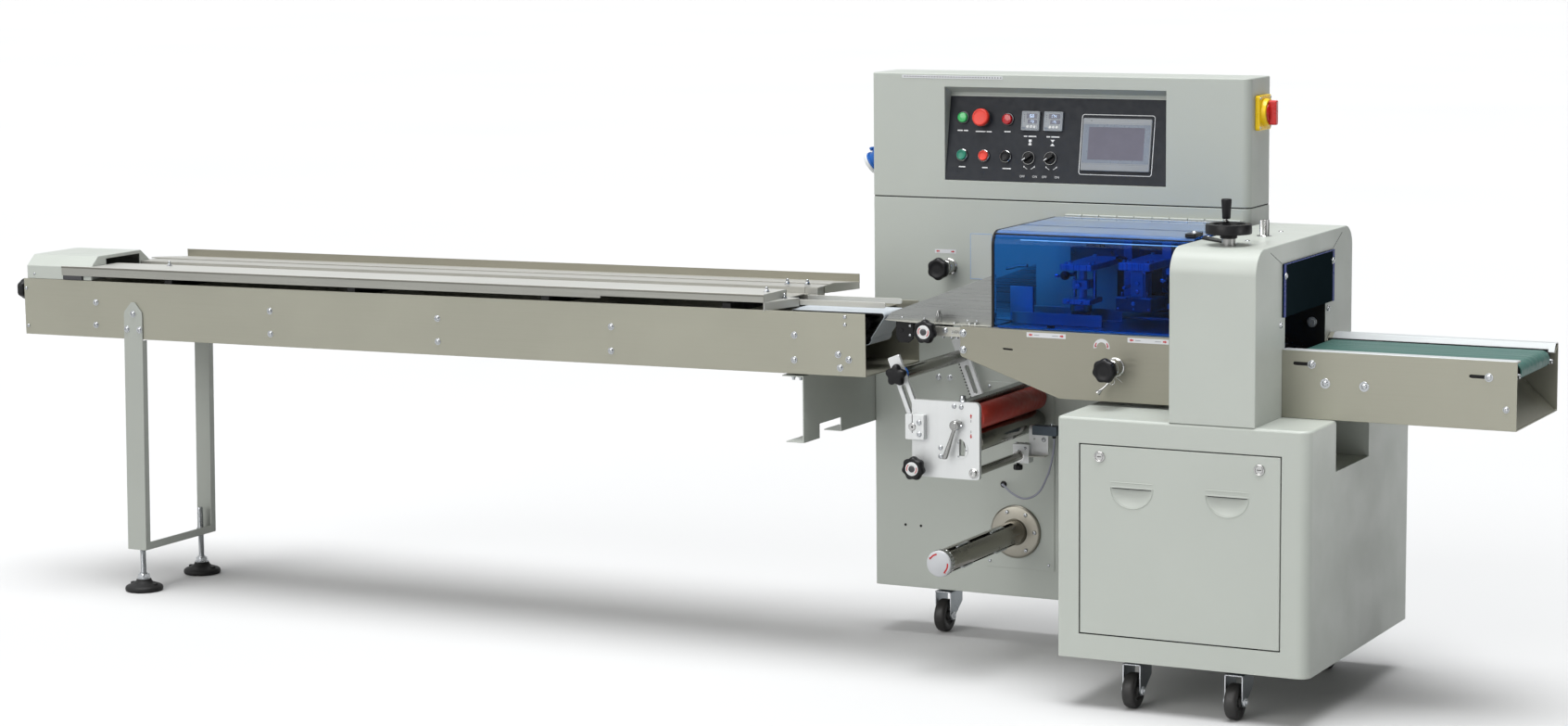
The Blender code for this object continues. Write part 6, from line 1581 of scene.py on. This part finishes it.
# slim hinge along the wall: knuckles on the axis, one leaf under the sheet and one behind the wall edge
knuckles = [rod(X, (0, 0.274, 1.104), 0.0030, 1.082 + 0.0465 * k, 1.126 + 0.0465 * k, 20, 0.0005) for k in range(0, 10, 2)]
put("guard_hinge_knuckles", together(*knuckles), PAINT, "guard_lid", smooth=35)
put("guard_hinge_leaf", prism("x", folded([(0.232, 1.0944), (0.262, 1.0944), (0.2735, 1.1012)], 0.0012), 1.082, 1.545), STEEL_INSIDE_LIT, "guard_lid", bevel=0.0003)
fixed = [rod(X, (0, 0.274, 1.104), 0.0030, 1.1285 + 0.0465 * k, 1.1705 + 0.0465 * k, 20, 0.0005) for k in range(0, 9, 2)]
put("guard_hinge_fixed", together(*fixed, block((1.082, 1.545), (0.2760, 0.2890), (1.1030, 1.1042))), PAINT, smooth=35)
put("guard_catch", prism("z", rounded((1.540, 1.5665), (-0.100, -0.045), 0.0030, 4), 1.1002, 1.1090), BLACK, "guard_lid", bevel=0.0010)
put("guard_catch_bolt", screw((1.553, -0.072, 1.1090), Z, 0.0062, "hex", washer=0.0082), ZINC, "guard_lid", smooth=32)

# ------------------------------------------------------ end-seal housing
outer = prism("x", rounded((-0.300, 0.390), (0.6934, 1.097), (0, 0, 0.052, 0.060), 16), 1.579, 1.788)
soften(outer, lambda m, d: abs(d.x) < 0.5 and m.z > 0.70, 0.0030, 4)
w = 0.004
inner = rounded((-0.296, 0.386), (0.5, 1.093), (0, 0, 0.048, 0.056), 10)
hollow = [(-0.296, 0.5), (-0.106, 0.5), (-0.106, 1.056), (0.196, 1.056), (0.196, 0.5)] + inner[1:]
put("arch_shell", carve(outer, prism("x", hollow, 1.583, 1.784), block((1.5, 1.9), (-0.100, 0.190), (0.5, 1.050))), PAINT, bevel=0.0006,
    replaces="arch_housing")
# dark sheets lining the tunnel through the housing: painted shade inside it
put("tunnel_shade_liner", prism("x", folded([(-0.0998, 0.6942), (-0.0998, 1.0498), (0.1898, 1.0498), (0.1898, 0.6942)], -0.0003), 1.5800, 1.7870), DARK)
put("tunnel_shade_floor", block((1.580, 1.787), (-0.0995, 0.1895), (0.6932, 0.6945)), DARK)
put("tunnel_curtain", together(*[block((1.5812, 1.5826), (y, y + 0.0086), (0.9320, 1.0494)) for y in [-0.0990 + 0.0090 * k for k in range(32)]]), RUBBER_BLACK)
put("tunnel_sill", block((1.5812, 1.5840), (-0.0990, 0.1890), (0.6945, 0.8600)), DARK_STEEL, bevel=0.0004)
# these bolts take the lightened zinc: painted highlight
screws("tunnel_bolts", [((1.755, 0.1895, 0.878), OUTWARD, 0.0092, dict(kind="hexhead", washer=0.0125)), ((1.640, 0.1895, 0.905), OUTWARD, 0.0062, dict(kind="hexhead"))], ZINC_HIGHLIGHT)
# mitre seams of the folded end frame
seams = []
for a, b in (((-0.2040, 1.0840), (-0.1265, 1.0520)), ((0.3090, 1.0840), (0.2420, 1.0520))):
    seams.append(flat(bar(a, b, 0.0010), 0.0003))
put("arch_seams", together(*seams), DARK, xf=on_right(1.788))
for node, z in (("upper_jaw", 0.957), ("lower_jaw", 0.815)):
    put(node + "_shaft", rod(Y, (1.684, 0, z), 0.0200, -0.0988, 0.1888, 48, 0.001), SHAFT, node, smooth=35, replaces=node)
    for k, s in enumerate((-1, 1)):
        put(node + "_bar_%d" % (k + 1), block((1.684 + s * 0.014, 1.684 + s * 0.058), (-0.072, 0.162), (z - 0.013, z + 0.013))
            if s > 0 else block((1.684 - 0.058, 1.684 - 0.014), (-0.072, 0.162), (z - 0.013, z + 0.013)), DARK_STEEL, node, bevel=0.0012)
        ribs = [block((1.684 + s * 0.058 - 0.0002 if s > 0 else 1.684 - 0.0655, 1.684 + 0.0655 if s > 0 else 1.684 - 0.058 + 0.0002), (-0.070, 0.160),
                      (z - 0.0118 + 0.0040 * i, z - 0.0098 + 0.0040 * i)) for i in range(6)]
        put(node + "_serration_%d" % (k + 1), together(*ribs), CHROME, node)
    put(node + "_collars", together(*[turned(Y, (1.684, 0, z), [(0.0202, y), (0.0310, y), (0.0310, y + 0.012), (0.0202, y + 0.012)], 40, bored=True) for y in (-0.0880, 0.1660)]),
        CHROME, node, smooth=35)

# top of the housing
put("arch_hex_post", together(turned(Z, (1.690, 0.030, 1.0970), [(0.0180, -0.0004), (0.0180, 0.0010), (0.0172, 0.0016), (0.0118, 0.0016), (0.0118, 0.0030, hexed), (0.0118, 0.0375, hexed),
                                                                 (0.0106, 0.0390), (0.0, 0.0390)], 36)), CHROME, smooth=32)
screws("arch_top_screws", [((1.691, y, 1.0970), Z, 0.0060, dict(tall=0.35)) for y in (-0.089, 0.143)])
put("guard_catch_bar", prism("z", [(1.5800, -0.0960), (1.6500, -0.1560), (1.6580, -0.1480), (1.6620, -0.1360), (1.5900, -0.0640), (1.5800, -0.0640)], 1.0972, 1.1012), BLACK,
    bevel=0.0008)
put("guard_catch_bar_bolt", screw((1.592, -0.082, 1.1012), Z, 0.0060, "hex"), ZINC, smooth=32)
put("guard_catch_eye", turned(Z, (1.588, -0.082, 1.1008), [(0.0064, 0.0), (0.0086, 0.0), (0.0086, 0.0030), (0.0064, 0.0030)], 28, bored=True), DARK_STEEL, smooth=35)

# handwheel and its revolving grip
HAND = (1.684, -0.196, 1.097)
put("handwheel_stub", turned(Z, HAND, [(0.0178, 0.0003), (0.0178, 0.0018), (0.0158, 0.0024), (0.0158, 0.0165)], 48), LEVER_STEEL, "handwheel", smooth=35)
dish = turned(Z, HAND, [(0.0090, 0.0160), (0.0185, 0.0162), (0.0198, 0.0175), (0.0198, 0.0255), (0.0190, 0.0275), (0.0230, 0.0285), (0.0440, 0.0262), (0.0520, 0.0268), (0.0535, 0.0285),
                        (0.0535, 0.0470), (0.0522, 0.0492), (0.0500, 0.0500), (0.0405, 0.0500), (0.0385, 0.0490), (0.0376, 0.0470), (0.0370, 0.0350), (0.0150, 0.0345),
                        (0.0135, 0.0360), (0.0130, 0.0420), (0.0110, 0.0430), (0.0, 0.0430)], 80)
put("handwheel_rim", dish, BLACK, "handwheel", smooth=38, replaces="handwheel")
put("handwheel_cap", turned(Z, HAND, [(0.0066, 0.0428), (0.0066, 0.0436), (0.0046, 0.0440, hexed), (0.0044, 0.0432, hexed), (0.0, 0.0432)], 30), ZINC, "handwheel", smooth=35)
GRIP = (HAND[0] - 0.019, HAND[1] + 0.036, HAND[2] + 0.0505)
put("handwheel_grip_pin", turned(Z, GRIP, [(0.0072, 0.0002), (0.0072, 0.0014), (0.0052, 0.0018), (0.0052, 0.0075)], 36), CHROME, "handwheel_grip", smooth=35)
put("handwheel_grip_sleeve", turned(Z, GRIP, [(0.0056, 0.0066), (0.0088, 0.0068), (0.0097, 0.0082), (0.0099, 0.0110), (0.0104, 0.0210), (0.0112, 0.0350), (0.0120, 0.0465), (0.0122, 0.0500), (0.0117, 0.0518),
                                              (0.0104, 0.0529), (0.0060, 0.0534), (0.0, 0.0535)], 48), BLACK, "handwheel_grip", smooth=45, replaces="handwheel_grip")

# blue guard over the outlet, with its screws
put("outlet_guard_sheet", prism("x", rounded((-0.122, 0.241), (0.926, 1.050), 0.0015, 3), 1.7884, 1.7925), NAVY, bevel=0.0004, replaces="discharge_guard")
put("outlet_guard_edge", together(flat(rounded((-0.1222, -0.1075), (0.9258, 1.0502), 0.0015, 3), 0.0006), flat(rounded((0.2275, 0.2412), (0.9258, 1.0502), 0.0015, 3), 0.0006),
                                  flat(rounded((-0.1080, 0.2280), (1.0472, 1.0502), 0.0008, 2), 0.0006)), NAVY_EDGE, xf=on_right(1.7924))
screws("outlet_guard_screws", [((1.7925, y, z), X, 0.0062, dict(washer=0.0084)) for y, z in ((-0.1115, 1.0220), (0.2270, 1.0240))])
screws("outlet_frame_screws", [((1.7880, y, z), X, 0.0062, dict(washer=0.0084)) for y, z in ((-0.1310, 0.9090), (0.2080, 0.9100))])

# --------------------------------------------------- discharge conveyor
frame_profile = folded([(-0.091, 0.851), (-0.119, 0.851), (-0.119, 0.6936), (0.229, 0.6936), (0.229, 0.852), (0.198, 0.834)], 0.003)
channel = prism("x", frame_profile, 1.7885, 2.341)
put("discharge_channel", carve(channel, *[prism("y", stadium((x, z), (x + 0.047, z - 0.0006), 0.0042, 8), y - 0.01, y + 0.01)
                                          for x, z in ((1.8190, 0.8210), (2.2350, 0.8140)) for y in (-0.119, 0.229)]), STEEL_X, bevel=0.0006,
    replaces="discharge_frame")
# edges of the two side walls in a lighter stainless, a painted highlight: a flat flange in front, a flat and a falling
# one behind
put("discharge_rail_front", prism("x", [(-0.1186, 0.8508), (-0.1186, 0.8520), (-0.1178, 0.8526), (-0.0908, 0.8526), (-0.0900, 0.8520), (-0.0900, 0.8508)], 1.7890, 2.3405),
    STEEL_RAIL_LIT, bevel=0.0003)
rear_rail = folded([(0.2292, 0.8530), (0.2080, 0.8530), (0.1960, 0.8340)], -0.0014)
put("discharge_rail_rear", carve(prism("x", rear_rail, 1.7890, 2.3405), prism("y", [(1.70, 0.80), (1.7905, 0.80), (1.8060, 0.8545), (1.70, 0.8545)], 0.15, 0.2281)), STEEL_RAIL_LIT, bevel=0.0003)
# black strips in the gaps beside the belt: painted shade
put("discharge_belt_gap_shade", together(block((1.8000, 2.3300), (0.1745, 0.1840), (0.8345, 0.8438)), block((1.8000, 2.3300), (-0.0840, -0.0745), (0.8345, 0.8438))), BLACK, bevel=0.0006)
# dark plates behind the slots: painted shade
put("discharge_slot_shades", together(*[block((x - 0.010, x + 0.058), (-0.1160, -0.1140), (z - 0.012, z + 0.012)) for x, z in ((1.8190, 0.8208), (2.2350, 0.8138))],
                                     *[block((x - 0.010, x + 0.058), (0.2240, 0.2260), (z - 0.012, z + 0.012)) for x, z in ((1.8190, 0.8208), (2.2350, 0.8138))]), DARK)
for side, y, d in (("front", -0.1190, OUTWARD), ("rear", 0.2290, Y)):
    screws("discharge_bolts_" + side, [((x, y, z), d, 0.0070, dict(kind="hex", washer=0.0098)) for x, z in ((1.8600, 0.8205), (2.2765, 0.8132))]
           + [((x, y, z), d, 0.0070, dict(kind="hex", washer=0.0118)) for x, z in ((1.8930, 0.7780), (1.9860, 0.7760))]
           + [((2.3170, y, 0.7420), d, 0.0060, dict(washer=0.0076))])
belt = resampled(stadium((1.8160, 0.8220), (2.3170, 0.8220), 0.0200, 16), 0.012)
put("discharge_belt_loop", band(belt, inset(belt, 0.0022), 0.240, -0.170), BELT_GREEN, xf=on_front(0.0), smooth=40, replaces="discharge_belt")
put("discharge_rollers", together(*[turned(Y, (x, 0, 0.8220), [(0.006, -0.0690), (0.0166, -0.0690), (0.0176, -0.0680), (0.0176, 0.1680), (0.0166, 0.1690), (0.006, 0.1690)], 44)
                                    for x in (1.8160, 2.3170)], *[rod(Y, (x, 0, 0.8220), 0.0065, -0.112, 0.222, 28, 0.0006) for x in (1.8160, 2.3170)]), DARK_STEEL, smooth=35)
put("discharge_slider", block((1.842, 2.292), (-0.066, 0.166), (0.8120, 0.8392)), STEEL_TABLE, bevel=0.0010)
brackets = []
for y0, y1 in ((-0.0935, -0.0780), (0.1780, 0.1935)):
    brackets += [prism("y", [(2.262, 0.8310), (2.332, 0.8310), (2.332, 0.8070), (2.262, 0.8070)], y0, y0 + 0.004), prism("y", [(2.262, 0.8310), (2.332, 0.8310), (2.332, 0.8070), (2.262, 0.8070)], y1 - 0.004, y1)]
put("discharge_brackets", together(*brackets), BLACK, bevel=0.0008)
put("discharge_belt_sides", together(block((1.800, 2.300), (-0.0765, -0.0735), (0.8060, 0.8340)), block((1.800, 2.300), (0.1735, 0.1765), (0.8060, 0.8340))), DARK_STEEL, bevel=0.0006)
screws("discharge_end_bolts", [((2.3320, y, 0.8150), X, 0.0056, dict(kind="cap", washer=0.0066)) for y in (-0.0858, 0.1858)])
put("discharge_tray", prism("y", folded([(2.3380, 0.6968), (2.3330, 0.7000), (2.2450, 0.7840), (2.2250, 0.7840)], 0.0020), -0.1140, 0.2240), STEEL_X, bevel=0.0005)

# ---------------------------------------------------------- base cabinet
base = prism("z", rounded((1.303, 1.919), (-0.300, 0.447), (0.008, 0.026, 0.012, 0.008), 14), 0.121, 0.693)
soften(base, lambda m, d: m.z > 0.692, 0.0070, 5)
base = carve(base,
             block((1.306, 1.797), (-0.297, 0.444), (0.124, 0.690)),
             block((1.780, 1.916), (-0.274, 0.435), (0.124, 0.570)),
             block((1.780, 1.916), (-0.274, -0.117), (0.553, 0.690)),
             block((1.780, 1.916), (0.133, 0.435), (0.553, 0.690)),
             block((1.800, 2.0), (-0.114, 0.130), (0.573, 0.8)),
             block((1.357, 1.853), (-0.35, -0.25), (0.179, 0.632)),
             *[prism("y", stadium((x, z), (x, z + 0.055), 0.0035, 6), 0.43, 0.46) for x in [1.46 + 0.022 * k for k in range(14)] for z in (0.27,)])
put("base_cabinet_shell", base, PAINT, bevel=0.0008, replaces="base_cabinet")
put("pocket_corner_bolt", screw((1.8000, -0.1080, 0.6850), X, 0.0050, "hexhead"), ZINC, smooth=32)

# lift-off door: bowl-shaped pulls under a straight edge, two cam locks
door = block((1.3600, 1.8500), (-0.300, -0.288), (0.1820, 0.6290))
soften(door, lambda m, d: m.y < -0.299, 0.0016, 3)
bowls = []
PULLS = ((1.4885, 0.5335), (1.7225, 0.5305))
for px, pz in PULLS:
    bm = bmesh.new()
    nu, nv = 28, 10
    R, D = 0.053, 0.0105
    rows = []
    for j in range(nv + 1):
        f = j / nv                                   # 0 at the deep middle of the straight edge, 1 at the rim
        row = []
        for i in range(nu + 1):
            a = math.pi + math.pi * i / nu
            depth = D * (1.0 - f ** 2.2)
            row.append(bm.verts.new((px + R * f * math.cos(a), -0.300 + depth, pz + 0.92 * R * f * math.sin(a))) if j else None)
        rows.append(row)
    mid = bm.verts.new((px, -0.300 + D, pz))
    lid_mid = bm.verts.new((px, -0.310, pz))
    lids = [bm.verts.new((v.co.x, -0.310, v.co.z)) for v in rows[nv]]
    for i in range(nu):
        bm.faces.new((mid, rows[1][i], rows[1][i + 1]))
        for j in range(1, nv):
            bm.faces.new((rows[j][i], rows[j + 1][i], rows[j + 1][i + 1], rows[j][i + 1]))
        bm.faces.new((rows[nv][i], lids[i], lids[i + 1], rows[nv][i + 1]))
        bm.faces.new((lid_mid, lids[i + 1], lids[i]))
    left = [mid] + [rows[j][0] for j in range(1, nv + 1)] + [lids[0], lid_mid]
    right_side = [mid] + [rows[j][nu] for j in range(1, nv + 1)] + [lids[nu], lid_mid]
    bm.faces.new(left)
    bm.faces.new(right_side)
    bmesh.ops.recalc_face_normals(bm, faces=bm.faces[:])
    bowls.append(bm)
put("cabinet_door_panel", carve(door, *bowls), PAINT, "cabinet_door", bevel=0.0004, seg=2, angle=40, smooth=30, replaces="cabinet_door")
for k, (px, pz) in enumerate(PULLS):
    # folded upper edge, the rib above it and the rolled rim of the bowl
    put("door_pull_edge_%d" % (k + 1), prism("x", [(-0.3010, pz - 0.0010), (-0.3010, pz + 0.0022), (-0.2990, pz + 0.0030), (-0.2990, pz - 0.0010)], px - 0.0520, px + 0.0520), PAINT,
        "cabinet_door", bevel=0.0005)
    put("door_pull_rib_%d" % (k + 1), prism("x", [(-0.3006, pz + 0.0112), (-0.3012, pz + 0.0122), (-0.3006, pz + 0.0132), (-0.2995, pz + 0.0132), (-0.2995, pz + 0.0112)], px - 0.0520, px + 0.0520),
        PAINT, "cabinet_door", bevel=0.0003)
    rim = [(px + 0.0527 * math.cos(math.pi + math.pi * i / 32), -0.3001, pz + 0.92 * 0.0527 * math.sin(math.pi + math.pi * i / 32)) for i in range(33)]
    put("door_pull_rim_%d" % (k + 1), tube(rim, 0.0011, 8), PAINT, "cabinet_door", smooth=60)
    put("door_pull_shadow_%d" % (k + 1), block((px - 0.048, px + 0.048), (-0.2990, -0.2915), (pz - 0.0030, pz - 0.0010)), DARK, "cabinet_door")
for k, (x, z) in enumerate(((1.409, 0.603), (1.800, 0.598))):
    put("door_lock_%d" % (k + 1), turned(OUTWARD, (x, -0.300, z), [(0.0135, -0.0006), (0.0138, 0.0008), (0.0128, 0.0028), (0.0112, 0.0036), (0.0100, 0.0034), (0.0092, 0.0020), (0.0080, 0.0018),
                                                                   (0.0078, 0.0030), (0.0, 0.0032)], 48), CHROME, "cabinet_door", smooth=35)
    # the key slot drawn as a dark bar: painted shade
    put("door_lock_slot_%d" % (k + 1), together(flat(bar((x - 0.0052, z), (x + 0.0052, z), 0.0018), 0.0004, 0.0030)), DARK, "cabinet_door", xf=on_front(-0.300))
# dark strips behind the gap round the door: painted shade of the gap
put("door_gap_shade", together(block((1.3545, 1.3592), (-0.2900, -0.2830), (0.1765, 0.6345)), block((1.8508, 1.8555), (-0.2900, -0.2830), (0.1765, 0.6345)),
                          block((1.3545, 1.8555), (-0.2900, -0.2830), (0.1765, 0.1812)), block((1.3545, 1.8555), (-0.2900, -0.2830), (0.6298, 0.6345))), DARK)
screws("base_back_screws", [((x, 0.4470, z), Y, 0.0050, dict(washer=0.0070)) for x in (1.335, 1.887) for z in (0.150, 0.400, 0.655)])

# drive inside the base: motor body with fins, reducer, shaft
fins = lambda a: 1.0 - 0.075 * (1.0 if (a * 18 / math.pi) % 1.0 > 0.5 else 0.0)
put("motor_body", turned(X, (1.560, 0.190, 0.215), [(0.0580, -0.2050), (0.0640, -0.2045), (0.0700, -0.1980), (0.0700, -0.1620), (0.0690, -0.1600), (0.0720, -0.1590, fins), (0.0720, -0.0500, fins),
                                                    (0.0690, -0.0480), (0.0660, -0.0400), (0.0640, 0.0020)], 144), MOTOR, smooth=25, replaces="main_motor")
put("motor_base", block((1.390, 1.540), (0.140, 0.240), (0.1243, 0.150)), MOTOR, bevel=0.002)
put("motor_terminal_box", block((1.440, 1.510), (0.150, 0.230), (0.2780, 0.2900)), MOTOR, bevel=0.003, seg=3)
gear = block((1.560, 1.690), (0.120, 0.260), (0.1243, 0.2900))
put("motor_reducer", gear, MOTOR, bevel=0.008, seg=4)
put("reducer_cover", turned(OUTWARD, (1.625, 0.120, 0.215), [(0.0480, -0.001), (0.0480, 0.0012), (0.0440, 0.0018), (0.0200, 0.0018), (0.0180, 0.0010), (0.0, 0.0010)], 48), DARK_STEEL, smooth=35)
put("reducer_shaft", rod(X, (1.690, 0.190, 0.230), 0.0140, -0.004, 0.0500, 40, 0.001), SHAFT, smooth=35)
screws("reducer_screws", [((1.625 + 0.040 * math.cos(math.radians(a)), 0.1190, 0.215 + 0.040 * math.sin(math.radians(a))), OUTWARD, 0.0040, dict(kind="hexhead")) for a in range(30, 390, 60)])

# --------------------------------------------------------------- casters
CASTERS = {"left_rear": (0.715, 0.372), "left_front": (1.472, -0.214), "right_front": (1.728, -0.222), "right_rear": (1.750, 0.372)}
for place, (cx, cy) in CASTERS.items():
    fork, wheel = "caster_fork_" + place, "caster_wheel_" + place
    ay, az = cy - 0.028, 0.0425
    cheek = [(cy + 0.0330, 0.1060), (cy + 0.0330, 0.0735), (cy + 0.0312, 0.0705)]
    cheek += [(ay + 0.0120 * math.cos(math.radians(a)), az + 0.0120 * math.sin(math.radians(a))) for a in range(-38, -182, -12)]
    cheek += [(ay - 0.0120, 0.1060)]
    put(fork + "_cheeks", together(prism("x", cheek, cx - 0.0224, cx - 0.0196), prism("x", cheek, cx + 0.0196, cx + 0.0224)), FORK, fork, bevel=0.0005, replaces=fork)
    top = block((cx - 0.0224, cx + 0.0224), (ay - 0.0120, cy + 0.0330), (0.1032, 0.1060))
    put(fork + "_top", top, FORK, fork, bevel=0.0008)
    put(fork + "_head", turned(Z, (cx, cy, 0), [(0.0100, 0.0985), (0.0100, 0.1030), (0.0225, 0.1058), (0.0238, 0.1075), (0.0238, 0.1105), (0.0218, 0.1118), (0.0210, 0.1124), (0.0232, 0.1130), (0.0232, 0.1162),
                                                (0.0208, 0.1178), (0.0190, 0.1207)], 48), FORK, fork, smooth=35)
    put(fork + "_plate", block((cx - 0.030, cx + 0.030), (cy - 0.030, cy + 0.030), (0.1182, 0.1209)), FORK, "frame", bevel=0.0006)
    # axle and nuts in the lightened zinc: painted highlight where the fork shades them
    put(fork + "_axle", together(rod(X, (cx, ay, az), 0.0048, -0.0272, 0.0300, 28, 0.0006), nut(X, (cx, ay, az), 0.0108, 0.0225, 0.0270, 0.0046), nut((-1, 0, 0), (cx, ay, az), 0.0108, 0.0225, 0.0262, 0.0046)),
        ZINC_HIGHLIGHT, fork, smooth=32)
    # thin strips of the lightened zinc along the fork edges: painted highlights
    put(fork + "_edges", together(*[prism("x", [(ay - 0.0123, 0.0440), (ay - 0.0123, 0.1061), (ay - 0.0113, 0.1061), (ay - 0.0113, 0.0440)], cx + s * 0.0210 - 0.0013, cx + s * 0.0210 + 0.0013) for s in (-1, 1)],
                                  block((cx - 0.0224, cx + 0.0224), (ay - 0.0123, ay - 0.0113), (0.1036, 0.1061))), ZINC_HIGHLIGHT, fork, bevel=0.0002)
    tyre = [(0.0240, -0.0136), (0.0330, -0.0149), (0.0372, -0.0146), (0.0400, -0.0130), (0.0418, -0.0100), (0.0425, -0.0060), (0.0425, 0.0060), (0.0418, 0.0100), (0.0400, 0.0130), (0.0372, 0.0146),
            (0.0330, 0.0149), (0.0240, 0.0136)]
    # the tyre takes the lightened rubber: painted highlight on the tread
    put(wheel + "_tyre", turned(X, (cx, ay, az), tyre, 72, bored=True), TYRE_HIGHLIT, wheel, smooth=40, replaces=wheel)
    put(wheel + "_core", turned(X, (cx, ay, az), [(0.0066, -0.0172), (0.0120, -0.0172), (0.0132, -0.0160), (0.0140, -0.0090), (0.0190, -0.0082), (0.0238, -0.0116), (0.0241, -0.0136), (0.0241, 0.0136), (0.0238, 0.0116),
                                                  (0.0190, 0.0082), (0.0140, 0.0090), (0.0132, 0.0160), (0.0120, 0.0172), (0.0066, 0.0172)], 60, bored=True), WHEEL_CORE, wheel, smooth=35)
